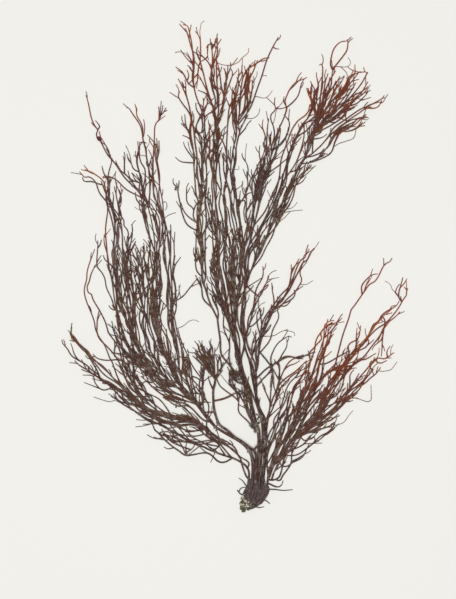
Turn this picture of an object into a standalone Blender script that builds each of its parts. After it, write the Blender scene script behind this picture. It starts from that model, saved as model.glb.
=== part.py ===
"""A dried, pressed tuft of Ahnfeltia plicata, a wiry red seaweed, lying flat with its holdfast at the origin.

+Y runs from the holdfast to the tips, +X to the right of the tuft, and +Z away from the surface it lies on.
Every frond is made of strands. A strand follows its spray's route, forks off another strand, slides over to a
place of its own and ends in a thin tip. Fronds are laid one after another, so a later one passes over an
earlier one, as in a tangled plant that was pressed.
"""

import math
import random

import bmesh
import bpy
import numpy as np
from mathutils import Vector

MM = 0.001

STEM_RADIUS = 0.30          # a strand at its root, in mm, as are all the lengths here
TIP_RADIUS = 0.20           # a strand at its tip
LEFT_STEM_RADIUS = 0.60     # the one thick stem, which leans left
TUFT_STALK_RADIUS = 0.36
SAMPLE = 1.0                # spacing of the points that a strand is worked out on
BEND_TOLERANCE = 0.22       # how far a strand's straight pieces may leave its curve, seen from above
RISE_TOLERANCE = 0.10       # the same for its rise
CLEARANCE = 0.45            # free height kept between two fronds that cross
SIDE_GAP = 0.36             # free width kept beside a strand before another frond may lie as low
LAYER = 0.50                # step between the layers of strands inside one spray
CLIMB = 0.35                # steepest rise of a strand over another frond, in mm per mm
CELL = 0.25                 # cell of the height map
MAP_LEFT, MAP_RIGHT, MAP_LOW, MAP_HIGH = -56.0, 48.0, -8.0, 134.0
GOLDEN = (math.sqrt(5) - 1) / 2

HOLDFAST_OUTLINE = [
    (-0.6, 4.0), (4.2, 4.0), (5.2, 3.4), (5.1, 2.4), (4.4, 0.9), (3.6, -0.4), (2.4, -1.4), (1.1, -2.0),
    (0.3, -1.6), (-0.1, -0.6), (-0.4, 0.5), (-1.2, 1.1), (-1.9, 1.3), (-1.6, 2.4), (-1.1, 3.3),
]
HOLDFAST_LEVELS = [(0.0, 0.90), (0.7, 1.0), (1.7, 0.97), (2.5, 0.78), (2.9, 0.45)]
HOLDFAST_RIBS = [
    [(-0.2, 3.9, 1.9), (-0.5, 2.6, 2.1), (-0.9, 1.5, 1.5)],
    [(0.6, 3.9, 2.2), (0.4, 2.2, 2.7), (0.1, 0.6, 2.2), (0.2, -0.8, 1.2)],
    [(1.4, 3.9, 2.4), (1.3, 2.0, 2.9), (1.1, 0.2, 2.6), (0.9, -1.5, 1.4)],
    [(2.2, 3.9, 2.4), (2.2, 2.0, 2.9), (2.1, 0.4, 2.6), (1.9, -1.2, 1.3)],
    [(3.0, 3.9, 2.3), (3.1, 2.2, 2.7), (3.0, 0.7, 2.3), (2.7, -0.7, 1.2)],
    [(3.8, 3.9, 2.0), (4.0, 2.6, 2.3), (3.8, 1.3, 1.9), (3.5, 0.2, 1.1)],
    [(4.6, 3.7, 1.4), (4.7, 2.6, 1.6), (4.3, 1.4, 1.2)],
]
RHIZOIDS = [
    [(4.4, 2.9, 1.0), (6.4, 2.9, 0.6), (9.0, 2.6, 0.3), (11.5, 2.8, 0.25)],
    [(3.4, 0.4, 0.9), (4.4, -0.2, 0.5), (5.4, -1.0, 0.25)],
    [(-1.2, 1.6, 0.9), (-2.1, 1.5, 0.7), (-3.0, 2.1, 0.6), (-2.2, 3.2, 0.5), (-1.6, 3.9, 0.4)],
    [(0.9, -1.4, 0.7), (2.3, -2.0, 0.4), (3.8, -1.8, 0.25)],
]
GRIT_HEART = [
    (-2.2, -0.2, 0.9), (-1.3, -0.3, 1.0), (-2.3, -1.3, 1.0), (-1.3, -1.4, 1.1), (-2.1, -2.4, 0.8), (-0.9, -2.4, 0.8),
    (0.0, -2.7, 0.6),
]
GRIT_GRAINS = 14


def spray(strands, spread, flare, route, radius=STEM_RADIUS, forks=(0.05, 0.45)):
    """A spray of strands on one route: half widths along it and at its tips, and where along it strands fork."""
    return {"strands": strands, "spread": spread, "flare": flare, "route": route, "radius": radius, "forks": forks}


def lone(*route, radius=STEM_RADIUS):
    """A single strand."""
    return spray(1, 0, 0, list(route), radius)


def right_frond():
    """The wide right frond: its core, the bands that fan out of it, and the strands beside them."""
    return [
        spray(3, 1.1, 1.5, [
            (4.5, 4.6), (5.0, 7.0), (6.3, 9.5), (8.0, 11.8), (9.8, 14.1), (11.8, 16.2), (13.8, 18.1), (15.8, 19.8),
            (17.8, 21.5), (19.5, 23.5), (21.0, 25.5)], forks=(0.1, 0.5)),
        spray(3, 0.9, 0.3, [
            (8.3, 12.3), (9.8, 15.8), (10.9, 18.6), (11.8, 21.3), (12.8, 24.0), (13.9, 26.7), (15.0, 29.3),
            (16.0, 31.7), (16.8, 34.0), (17.5, 36.2), (18.2, 38.4), (19.0, 40.4), (19.4, 42.3), (20.0, 44.0),
            (20.5, 45.7), (21.2, 46.7), (22.5, 46.9), (23.6, 47.0), (24.5, 47.7)], forks=(0.05, 0.35)),
        spray(3, 1.0, 0.25, [
            (10.6, 15.0), (12.8, 18.6), (14.2, 21.5), (15.3, 24.5), (16.5, 27.3), (17.5, 29.8), (18.7, 31.9),
            (20.2, 33.7), (22.0, 34.9), (24.0, 35.6), (25.7, 36.8), (27.2, 38.5), (28.6, 40.0), (30.0, 41.6),
            (31.3, 43.4), (32.3, 45.3), (33.2, 47.2), (34.5, 48.1), (35.6, 49.8), (37.0, 51.3), (38.3, 52.9),
            (38.9, 54.1)], forks=(0.05, 0.3)),
        spray(3, 1.3, 0.7, [
            (14.0, 18.3), (16.2, 21.0), (18.0, 23.8), (19.7, 26.6), (21.2, 29.3), (22.7, 31.8), (24.0, 34.0),
            (25.3, 36.0), (27.0, 37.6), (29.0, 39.2)]),
        spray(2, 0.6, 0.4, [
            (17.0, 20.9), (19.2, 22.2), (21.3, 23.7), (23.0, 25.5), (24.7, 27.3), (26.3, 29.2), (28.0, 31.2),
            (29.7, 33.4), (31.5, 35.6), (33.0, 37.3), (34.3, 38.2), (35.8, 38.2), (37.0, 39.0), (38.3, 40.1)]),
        spray(2, 0.35, 0.3, [
            (16.3, 20.0), (18.5, 20.6), (20.7, 21.7), (22.7, 23.3), (24.5, 25.0), (26.0, 26.8), (27.7, 29.0),
            (29.3, 30.7), (30.5, 32.5), (31.7, 34.6), (33.0, 36.6), (33.8, 38.3)]),
        spray(1, 0.25, 0.2, [
            (25.0, 36.0), (27.0, 36.2), (28.7, 37.0), (30.3, 38.5), (32.0, 40.2), (33.5, 42.0), (35.0, 44.2),
            (36.0, 46.4), (37.0, 48.0), (38.4, 50.0), (39.5, 51.5), (40.3, 53.0), (40.9, 54.2), (41.6, 55.3),
            (41.6, 56.2), (41.0, 57.0)]),
        lone((40.6, 53.8), (39.8, 55.0), (40.1, 57.0), (40.6, 58.5), (41.0, 59.9)),
        lone((38.8, 53.9), (39.0, 56.0), (39.6, 57.6), (40.1, 58.2)),
        spray(1, 0.2, 0.2, [
            (31.0, 43.0), (32.5, 44.7), (34.0, 46.0), (36.0, 47.7), (37.2, 49.0), (38.3, 50.3), (39.4, 51.5)]),
        spray(1, 0.15, 0.2, [
            (35.5, 49.7), (36.3, 49.1), (36.4, 47.7), (36.0, 46.3), (35.7, 45.0), (35.3, 43.0), (34.7, 41.0),
            (34.3, 39.0)]),
        spray(1, 0.3, 0.3, [(28.8, 39.3), (30.5, 40.6), (32.0, 41.6), (32.8, 42.8), (32.8, 44.2)]),
        lone((30.0, 38.0), (31.5, 38.1), (33.0, 39.0), (33.9, 39.4)),
        lone((34.2, 38.1), (34.2, 37.3), (35.2, 37.0), (36.7, 37.7)),
        lone((36.5, 38.6), (36.8, 40.0), (37.6, 41.5)),
        lone((29.8, 31.2), (31.0, 31.5), (32.0, 32.7), (34.0, 34.2), (35.2, 35.6)),
        lone((22.1, 35.0), (22.8, 36.7), (23.4, 38.6), (24.0, 40.5), (24.7, 43.0), (25.5, 46.0), (26.4, 48.7),
             (27.0, 51.0), (28.5, 53.0), (30.0, 55.2), (31.0, 56.8), (32.0, 58.1), (33.4, 58.8), (34.6, 60.2),
             (35.5, 62.0), (36.2, 63.2), (37.5, 64.0), (38.2, 65.0)),
        lone((29.9, 55.1), (30.0, 57.6), (31.0, 59.1), (32.5, 60.4), (34.3, 60.9)),
        lone((30.3, 55.8), (31.2, 57.5), (32.2, 59.7)),
        lone((26.3, 37.5), (26.4, 39.5), (26.3, 41.4), (27.2, 42.6), (28.5, 43.1), (29.3, 44.5), (29.7, 46.9)),
        lone((27.8, 40.2), (28.6, 42.3), (28.9, 44.2), (28.9, 46.3)),
        lone((18.5, 36.3), (20.8, 36.8), (23.0, 38.0), (25.0, 39.3), (26.5, 40.1)),
        spray(2, 0.5, 0.6, [
            (6.2, 9.6), (7.2, 13.0), (8.2, 16.0), (9.2, 19.0), (9.9, 22.0), (10.5, 25.0), (11.3, 28.0),
            (12.7, 31.0), (14.3, 33.7), (15.6, 36.0), (16.6, 38.0)]),
        lone((11.3, 28.0), (11.9, 30.5), (13.3, 32.5), (14.6, 34.4)),
        lone((15.0, 35.2), (16.2, 37.2), (15.9, 39.4), (17.0, 40.8), (18.5, 42.5), (19.2, 43.6), (18.8, 44.8),
             (19.5, 46.1), (20.3, 46.8), (20.9, 48.6)),
        spray(1, 0.2, 0.3, [(19.8, 43.2), (21.3, 45.0), (22.9, 46.9), (23.9, 48.2), (25.3, 49.7)]),
        spray(1, 0.3, 0.4, [(19.2, 40.5), (21.0, 42.2), (21.3, 43.4), (21.8, 44.3)]),
        lone((18.4, 38.0), (19.7, 38.1), (20.8, 38.8), (21.9, 40.0)),
        spray(2, 0.4, 0.5, [
            (5.0, 7.0), (4.7, 11.0), (4.5, 14.0), (4.4, 17.0), (4.5, 20.0), (4.9, 23.0), (5.7, 25.7), (6.6, 28.3),
            (7.5, 30.3), (8.7, 31.8), (10.4, 33.2), (12.2, 34.6), (14.0, 36.0), (15.4, 37.2)]),
        spray(2, 0.4, 0.5, [
            (4.8, 11.0), (5.2, 15.0), (6.0, 18.0), (7.0, 21.0), (8.0, 24.0), (9.0, 26.8), (9.6, 29.3), (10.7, 31.6),
            (12.3, 33.0), (13.7, 33.8), (15.2, 35.2)]),
        spray(1, 0.3, 0.4, [(4.5, 16.0), (5.8, 19.0), (7.5, 21.5), (9.0, 24.0), (10.2, 27.0)]),
        spray(1, 0.3, 0.4, [(4.6, 13.0), (5.6, 15.4), (7.2, 18.0), (9.0, 20.6), (10.2, 23.0), (11.3, 25.6)]),
        lone((8.0, 31.0), (8.6, 33.5), (9.5, 35.7), (11.0, 37.5), (12.8, 38.2), (14.5, 38.4)),
        lone((9.0, 35.0), (10.3, 36.2), (12.0, 36.7), (13.4, 37.5)),
        lone((4.8, 22.5), (5.2, 26.5), (5.5, 29.0), (5.9, 31.5), (6.1, 34.0), (5.9, 36.0)),
        lone((5.3, 26.4), (4.3, 28.7), (3.3, 31.0)),
        lone((7.2, 29.3), (7.6, 31.0), (7.9, 33.0), (7.8, 35.0), (7.2, 37.2)),
        spray(1, 0.15, 0.4, [
            (8.6, 12.4), (10.2, 11.9), (12.0, 11.9), (14.0, 12.8), (15.5, 14.1), (17.0, 15.4), (18.5, 16.3),
            (20.2, 17.6), (22.3, 19.2), (21.9, 20.2), (22.8, 20.7)]),
        lone((7.6, 11.2), (9.0, 9.3), (10.4, 9.4), (11.6, 10.2), (13.2, 10.8), (14.6, 12.0), (15.3, 13.2),
             (15.7, 14.3), (16.0, 15.2)),
        lone((13.2, 17.5), (14.2, 16.0), (15.2, 16.0), (16.2, 16.3), (17.3, 17.0)),
        spray(1, 0.2, 0.3, [(13.6, 17.9), (14.8, 18.3), (17.0, 18.6), (19.0, 19.3), (20.5, 19.9), (22.0, 20.0)]),
        lone((19.7, 20.9), (21.6, 21.4), (23.6, 23.3)),
        spray(1, 0.2, 0.4, [(23.5, 25.8), (25.0, 26.8), (26.5, 26.6), (28.8, 26.2)]),
        spray(1, 0.2, 0.2, [(5.0, 5.4), (6.3, 5.3), (7.7, 6.0), (8.4, 7.6), (8.9, 9.5), (9.6, 11.8), (10.2, 13.9)]),
        lone((6.6, 5.3), (8.0, 5.0), (8.9, 6.6), (10.1, 8.4), (10.8, 9.6), (11.1, 11.3), (11.3, 13.2), (11.4, 15.4)),
        lone((5.3, 5.6), (6.0, 7.0), (6.7, 8.6), (7.5, 10.3)),
        spray(1, 0.3, 0.3, [(21.9, 26.3), (23.6, 27.5), (24.3, 30.0), (25.2, 33.0), (25.8, 35.5)]),
        lone((26.5, 29.5), (26.9, 32.0), (27.0, 33.7), (27.9, 35.0)),
        spray(2, 0.35, 0.4, [(20.0, 24.5), (22.0, 25.6), (23.7, 27.4), (25.2, 28.4), (26.3, 29.6)]),
    ]


def left_low_frond():
    """The low left frond: its two thin stems, the dark core, the splayed end and the long outer strands."""
    return [
        spray(1, 0.3, 0.6, [
            (-0.6, 4.7), (-0.4, 6.5), (-0.5, 8.3), (-1.5, 9.8), (-3.0, 10.7), (-5.0, 11.4), (-7.0, 12.1),
            (-9.0, 12.7), (-11.0, 13.4), (-12.5, 14.2), (-14.5, 15.1), (-16.0, 15.7), (-18.0, 16.9),
            (-20.0, 18.1), (-22.0, 19.1), (-24.0, 20.0), (-26.0, 20.9), (-28.0, 22.0), (-30.0, 23.3),
            (-32.0, 24.7), (-34.0, 25.8), (-35.5, 26.7), (-37.0, 27.5), (-37.3, 28.4)], forks=(0.3, 0.6)),
        lone((-0.5, 5.4), (-1.1, 6.2), (-1.7, 8.0), (-2.3, 9.7), (-2.7, 11.2), (-3.3, 12.3), (-5.0, 13.9),
             (-6.5, 15.2), (-8.5, 16.9), (-10.0, 18.0), (-12.0, 19.2), (-14.0, 20.6), (-16.0, 21.4)),
        spray(2, 0.5, 0.6, [
            (-3.3, 12.3), (-5.0, 14.0), (-7.0, 14.9), (-8.4, 15.4), (-10.0, 16.0), (-12.0, 16.1), (-14.0, 15.7),
            (-16.0, 15.9), (-17.6, 16.7), (-19.6, 17.9), (-21.6, 19.3), (-23.5, 20.5)]),
        spray(4, 1.0, 0.5, [
            (-9.6, 17.7), (-12.0, 19.3), (-14.0, 20.6), (-16.0, 21.3), (-18.0, 21.6), (-20.0, 21.8), (-22.0, 22.0),
            (-24.0, 22.6), (-26.0, 23.4), (-28.0, 24.2), (-30.0, 25.6), (-32.0, 27.0), (-34.0, 28.5), (-36.0, 29.7),
            (-38.0, 31.0), (-40.0, 32.0), (-41.2, 33.0)], forks=(0.02, 0.25)),
        spray(2, 0.5, 0.8, [
            (-12.0, 19.6), (-14.0, 21.6), (-16.0, 22.4), (-18.0, 22.6), (-21.0, 22.6), (-24.0, 23.2), (-27.0, 24.4),
            (-30.0, 26.6), (-32.0, 28.5), (-34.3, 30.5), (-36.0, 32.0), (-38.0, 34.0), (-39.5, 35.5),
            (-41.0, 37.0), (-42.5, 38.5), (-43.5, 40.0), (-45.0, 41.5), (-46.0, 43.0), (-47.0, 44.2),
            (-47.5, 45.5)], forks=(0.05, 0.6)),
        spray(1, 0.3, 0.4, [
            (-40.6, 32.5), (-41.2, 34.3), (-41.8, 35.8), (-42.8, 37.5), (-44.0, 39.3), (-45.5, 40.8),
            (-46.3, 42.0), (-47.2, 43.3), (-47.9, 44.3), (-48.1, 45.8), (-48.0, 47.6)]),
        spray(1, 0.2, 0.3, [
            (-41.1, 33.0), (-43.0, 34.7), (-44.3, 36.3), (-46.0, 37.5), (-47.8, 38.7), (-48.7, 40.0),
            (-49.2, 41.0), (-49.9, 41.9), (-50.2, 43.2)]),
        lone((-37.0, 30.3), (-39.2, 29.7), (-40.7, 30.5), (-41.8, 32.0), (-42.3, 33.4), (-43.5, 33.7), (-45.0, 33.6)),
        spray(2, 0.6, 0.4, [
            (-11.5, 18.7), (-13.0, 18.6), (-15.0, 18.6), (-17.0, 18.9), (-19.0, 19.6), (-21.0, 20.4),
            (-23.0, 21.0), (-25.0, 21.8), (-27.0, 22.9), (-29.0, 24.3), (-31.0, 26.0)]),
        spray(1, 0.4, 0.5, [(-9.8, 17.9), (-12.0, 17.9), (-14.0, 17.3), (-16.0, 17.2), (-18.0, 17.9), (-20.0, 19.0)]),
        spray(1, 0.4, 0.5, [
            (-22.0, 20.7), (-25.0, 20.7), (-27.5, 21.7), (-30.0, 23.2), (-32.0, 24.6), (-34.0, 26.2), (-35.6, 27.6)]),
        lone((-4.4, 11.3), (-6.0, 10.3), (-7.3, 10.0), (-8.8, 10.4), (-10.0, 11.5), (-10.7, 12.3), (-12.5, 12.8),
             (-15.0, 12.5), (-17.0, 12.1), (-18.5, 12.9), (-20.5, 14.2), (-22.5, 15.8), (-24.0, 17.2),
             (-25.0, 18.2), (-26.0, 19.1), (-26.1, 20.2), (-27.0, 21.3)),
        lone((-5.2, 11.6), (-6.4, 12.1), (-7.2, 13.0), (-7.8, 14.0), (-8.6, 15.2)),
        lone((-8.0, 15.1), (-8.2, 14.3), (-9.0, 13.8), (-10.2, 13.8), (-11.2, 14.4), (-11.6, 15.7)),
        lone((-16.8, 12.1), (-18.0, 13.8), (-18.7, 15.0), (-19.5, 16.3), (-20.8, 17.9)),
        lone((-17.0, 12.4), (-17.3, 14.3), (-17.0, 15.9)),
        lone((-16.6, 12.2), (-16.6, 13.3), (-15.5, 14.0), (-14.9, 15.1)),
        lone((-24.0, 17.2), (-24.2, 17.8), (-23.5, 18.5), (-21.5, 18.3), (-20.5, 17.7)),
        lone((-24.0, 17.6), (-22.0, 17.2), (-20.0, 17.2)),
        lone((-23.8, 17.0), (-25.5, 16.6), (-27.7, 17.5)),
        lone((-20.6, 14.4), (-22.0, 13.8), (-23.0, 14.4)),
        lone((-25.0, 23.2), (-25.2, 25.0), (-25.7, 26.6), (-26.7, 28.1), (-28.3, 29.0), (-29.8, 29.8), (-30.6, 31.0)),
        lone((-20.8, 22.6), (-22.5, 24.8), (-24.0, 26.8), (-25.5, 27.8), (-27.0, 28.6)),
        lone((-29.8, 25.9), (-31.0, 28.0), (-33.0, 29.7), (-34.3, 31.0), (-35.6, 33.0), (-36.3, 35.0), (-37.0, 36.8),
             (-38.0, 38.5), (-38.6, 40.2), (-39.4, 41.9), (-40.5, 43.7), (-41.5, 46.0), (-42.0, 48.5),
             (-43.2, 51.5), (-44.2, 54.5), (-44.6, 57.0), (-44.1, 59.5), (-43.8, 62.0), (-43.2, 64.0),
             (-42.5, 66.0), (-41.9, 67.5)),
        lone((-27.6, 24.2), (-28.8, 26.8), (-30.0, 29.4), (-32.0, 31.5), (-33.5, 33.0), (-34.6, 35.5), (-36.0, 38.3),
             (-37.3, 40.0), (-39.0, 41.8), (-40.4, 43.6), (-41.0, 45.5), (-41.1, 47.5), (-40.8, 49.5),
             (-40.5, 51.3)),
        lone((-30.2, 29.6), (-31.6, 32.0), (-33.0, 34.5), (-34.3, 37.5), (-34.9, 40.0), (-36.2, 42.5), (-38.0, 45.0),
             (-39.1, 48.0), (-40.3, 50.3), (-42.0, 53.5), (-42.7, 55.6), (-43.5, 56.0), (-43.7, 57.5),
             (-43.1, 59.0), (-42.8, 60.5), (-42.1, 62.2), (-41.5, 63.3)),
        lone((-34.4, 37.4), (-36.0, 37.7), (-38.0, 37.6), (-40.0, 37.8), (-41.3, 38.3), (-42.3, 39.2)),
        spray(1, 0.3, 0.6, [
            (-28.2, 25.0), (-29.3, 27.2), (-30.3, 29.8), (-31.1, 31.8), (-32.5, 34.2), (-33.8, 37.0),
            (-34.4, 40.0), (-34.6, 43.0), (-35.2, 46.0), (-35.8, 49.0), (-36.2, 52.5), (-36.8, 55.5),
            (-37.3, 58.5), (-37.8, 61.5), (-38.2, 64.5), (-38.4, 67.5), (-38.6, 70.5), (-38.7, 73.0),
            (-38.6, 76.0), (-38.4, 79.0), (-38.6, 81.5), (-39.1, 84.0), (-39.9, 86.0), (-41.0, 87.0),
            (-42.3, 87.7), (-43.6, 88.2), (-45.0, 89.7)], forks=(0.1, 0.3)),
        spray(1, 0.4, 0.3, [
            (-30.5, 30.6), (-31.3, 33.0), (-31.6, 36.0), (-32.2, 39.0), (-33.2, 42.0), (-34.0, 45.0),
            (-34.9, 48.0), (-35.7, 51.0)]),
    ]


def crown_right_frond():
    """The right of the crown: two long stems, the dense middle spray and the fans at their ends."""
    return [
        spray(3, 0.8, 0.8, [
            (3.8, 4.7), (3.9, 8.0), (4.0, 12.0), (4.2, 16.0), (4.3, 19.0), (4.0, 22.0), (2.9, 24.3), (2.0, 26.8),
            (1.3, 29.3), (0.8, 32.0), (0.2, 35.0), (-0.5, 38.0), (-1.2, 41.0), (-1.8, 44.0), (-2.3, 47.0),
            (-2.4, 50.0), (-2.1, 53.0), (-1.6, 56.0), (-1.3, 59.0), (-1.5, 62.0), (-1.3, 65.0), (-0.2, 68.3),
            (1.5, 71.0), (3.3, 74.0), (5.0, 77.0), (6.3, 79.7), (7.3, 82.3), (8.3, 85.0), (9.2, 87.7),
            (10.0, 90.3), (10.7, 93.0), (11.5, 95.8), (12.5, 98.5), (13.8, 100.7), (15.3, 102.3), (16.5, 104.0),
            (17.2, 106.0)], forks=(0.25, 0.65)),
        spray(3, 0.9, 0.6, [
            (-1.5, 57.0), (-0.6, 59.7), (0.2, 61.7), (1.3, 64.0), (2.7, 67.0), (4.2, 70.3), (5.7, 73.3),
            (7.2, 76.0), (8.5, 78.5), (9.7, 81.0), (10.8, 83.5), (11.8, 86.0), (12.8, 88.3), (14.0, 90.3),
            (15.2, 92.0), (15.7, 94.0), (16.0, 96.0)], forks=(0.1, 0.5)),
        spray(1, 0.3, 0.4, [(4.4, 70.6), (6.1, 72.2), (7.7, 74.0), (8.7, 76.0), (9.8, 78.2)]),
        spray(2, 0.5, 0.4, [
            (0.6, 69.8), (2.3, 72.5), (3.9, 75.5), (5.1, 78.2), (6.1, 81.0), (7.2, 84.0), (8.3, 87.0)]),
        spray(4, 1.2, 1.2, [
            (-1.4, 64.0), (-0.6, 67.0), (0.1, 70.0), (0.4, 73.0), (0.7, 76.0), (1.2, 79.0), (1.7, 82.0),
            (2.3, 85.0), (3.0, 88.0), (3.7, 91.0), (4.3, 94.0), (4.8, 97.0)], forks=(0.15, 0.6)),
        spray(2, 0.5, 0.6, [(0.8, 77.0), (0.6, 80.5), (0.5, 84.0), (0.9, 87.0), (1.6, 89.3), (2.5, 91.5), (3.2, 94.2)]),
        spray(2, 0.5, 0.4, [(2.2, 83.0), (4.0, 86.0), (5.0, 89.0), (5.6, 92.0), (6.0, 95.0), (6.5, 98.0)]),
        lone((4.2, 94.0), (3.9, 98.0), (3.3, 100.5), (3.5, 102.4)),
        lone((6.0, 95.0), (6.6, 98.0), (6.2, 100.5), (5.5, 102.3), (5.7, 104.0), (6.9, 105.0), (6.7, 106.6), (6.9, 108.3)),
        spray(2, 0.3, 0.3, [
            (6.0, 95.2), (7.2, 97.8), (8.0, 100.0), (8.8, 102.0), (9.4, 104.0), (9.7, 106.0), (9.3, 107.3),
            (9.7, 108.8), (10.4, 110.2), (11.5, 111.5), (12.6, 113.0), (13.6, 113.9), (14.5, 114.6)]),
        lone((9.8, 105.8), (11.3, 107.2), (12.8, 108.8), (13.4, 110.4), (13.8, 112.2), (14.6, 113.6)),
        spray(1, 0.2, 0.2, [
            (5.8, 94.0), (6.8, 94.8), (8.2, 95.6), (9.2, 96.8), (10.0, 98.3), (10.5, 99.8), (10.9, 101.6),
            (10.3, 103.0), (9.6, 104.0)]),
        lone((5.5, 88.2), (6.7, 89.3), (8.0, 90.3), (9.2, 91.3), (10.5, 92.2)),
        spray(1, 0.2, 0.4, [(10.2, 90.8), (10.9, 92.0), (11.6, 93.3), (12.3, 94.4), (13.1, 95.1)]),
        spray(2, 0.4, 0.3, [
            (8.4, 84.8), (9.8, 87.0), (11.2, 89.0), (12.6, 91.5), (13.6, 94.0), (14.4, 97.0), (15.2, 99.5),
            (16.0, 101.5)]),
        spray(2, 0.3, 0.25, [
            (15.4, 92.4), (17.0, 93.0), (18.5, 94.6), (20.0, 96.5), (21.5, 98.1), (23.0, 99.5), (24.5, 100.8),
            (26.5, 102.1), (28.5, 103.5), (30.0, 104.5), (31.5, 105.2), (33.5, 105.3), (35.0, 105.9),
            (35.9, 107.2)]),
        lone((31.0, 104.9), (32.0, 106.2), (34.0, 107.3), (35.4, 108.0), (36.1, 108.8)),
        spray(2, 0.3, 0.35, [
            (15.6, 91.6), (17.4, 92.0), (19.3, 93.4), (21.0, 95.0), (22.2, 97.0), (23.2, 98.8), (24.5, 99.6),
            (26.5, 100.4), (28.0, 101.2), (29.0, 102.2), (29.9, 103.2), (31.1, 104.0)]),
        spray(1, 0.3, 0.4, [(23.8, 99.3), (26.0, 99.2), (28.0, 99.9), (29.4, 101.3), (29.6, 102.8)]),
        spray(1, 0.2, 0.2, [
            (14.0, 90.2), (15.7, 90.6), (17.6, 91.3), (20.0, 92.3), (21.6, 93.4), (22.3, 94.6), (22.8, 96.0),
            (23.8, 97.4), (25.1, 98.9), (26.2, 99.6)]),
        spray(3, 1.3, 1.5, [(15.8, 95.0), (16.4, 97.0), (17.2, 99.0), (18.2, 101.0), (19.3, 103.0), (20.4, 104.8)],
              forks=(0.02, 0.5)),
        spray(1, 0.2, 0.4, [(15.3, 102.3), (16.5, 105.0), (16.5, 107.2), (15.7, 109.0), (15.2, 110.8)]),
        spray(2, 0.4, 0.3, [(16.0, 103.2), (17.0, 105.5), (17.4, 108.0), (17.8, 110.4), (17.3, 112.0), (16.8, 112.9)]),
        spray(1, 0.35, 0.3, [(17.0, 104.5), (17.8, 107.0), (18.0, 109.5), (18.4, 111.8), (18.8, 113.3), (19.0, 114.8)]),
        spray(1, 0.2, 0.1, [
            (17.2, 99.0), (17.8, 103.0), (18.5, 107.0), (19.0, 109.7), (19.3, 112.3), (19.6, 114.5), (20.1, 116.5),
            (20.0, 118.0), (19.0, 118.3)]),
        spray(2, 0.4, 0.3, [(18.2, 101.5), (18.9, 104.5), (19.5, 107.5), (20.0, 110.0), (20.3, 112.7), (20.8, 114.8)]),
        spray(2, 0.3, 0.1, [
            (18.6, 102.0), (19.5, 105.0), (20.4, 107.8), (21.4, 110.0), (22.2, 112.0), (22.8, 113.8), (23.3, 115.2),
            (23.7, 116.2)]),
        lone((23.5, 115.8), (22.5, 117.3), (22.0, 119.0), (22.3, 120.8), (23.4, 122.3), (24.7, 123.2), (25.6, 123.3)),
        lone((23.7, 116.0), (24.2, 117.8), (24.8, 119.2), (25.7, 120.6), (26.2, 122.2), (26.1, 123.8)),
        lone((19.9, 109.5), (20.8, 111.8), (21.9, 113.8), (23.0, 115.4)),
        spray(2, 0.6, 0.5, [
            (18.8, 102.3), (20.8, 105.5), (22.8, 108.0), (24.5, 110.0), (26.0, 112.0), (27.3, 113.6),
            (28.6, 114.9), (29.0, 117.0)]),
        spray(2, 0.7, 0.5, [
            (19.6, 103.2), (22.3, 105.6), (24.0, 108.0), (25.3, 110.0), (26.5, 111.8), (28.0, 113.7), (29.1, 115.2)]),
        spray(2, 0.8, 0.25, [
            (19.3, 102.3), (21.0, 103.2), (23.0, 104.7), (25.3, 106.8), (27.0, 108.5), (28.3, 110.0), (29.7, 111.6),
            (30.7, 112.8), (31.6, 114.0), (32.4, 115.2), (31.5, 115.8), (31.4, 116.6)]),
        spray(2, 0.7, 0.4, [
            (18.3, 100.6), (20.4, 101.7), (22.5, 103.0), (25.0, 105.0), (27.0, 106.9), (28.7, 108.4), (30.2, 109.7),
            (31.0, 111.0), (32.0, 112.3)]),
        spray(1, 0.4, 0.4, [
            (17.6, 99.0), (19.2, 99.7), (21.0, 100.7), (22.6, 101.5), (24.0, 102.3), (25.4, 103.6), (26.5, 105.0),
            (27.7, 106.5), (29.1, 107.3)]),
        spray(1, 0.3, 0.3, [(16.6, 97.4), (18.0, 97.6), (19.3, 98.3), (20.4, 98.9), (21.3, 99.5)]),
    ]


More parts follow.
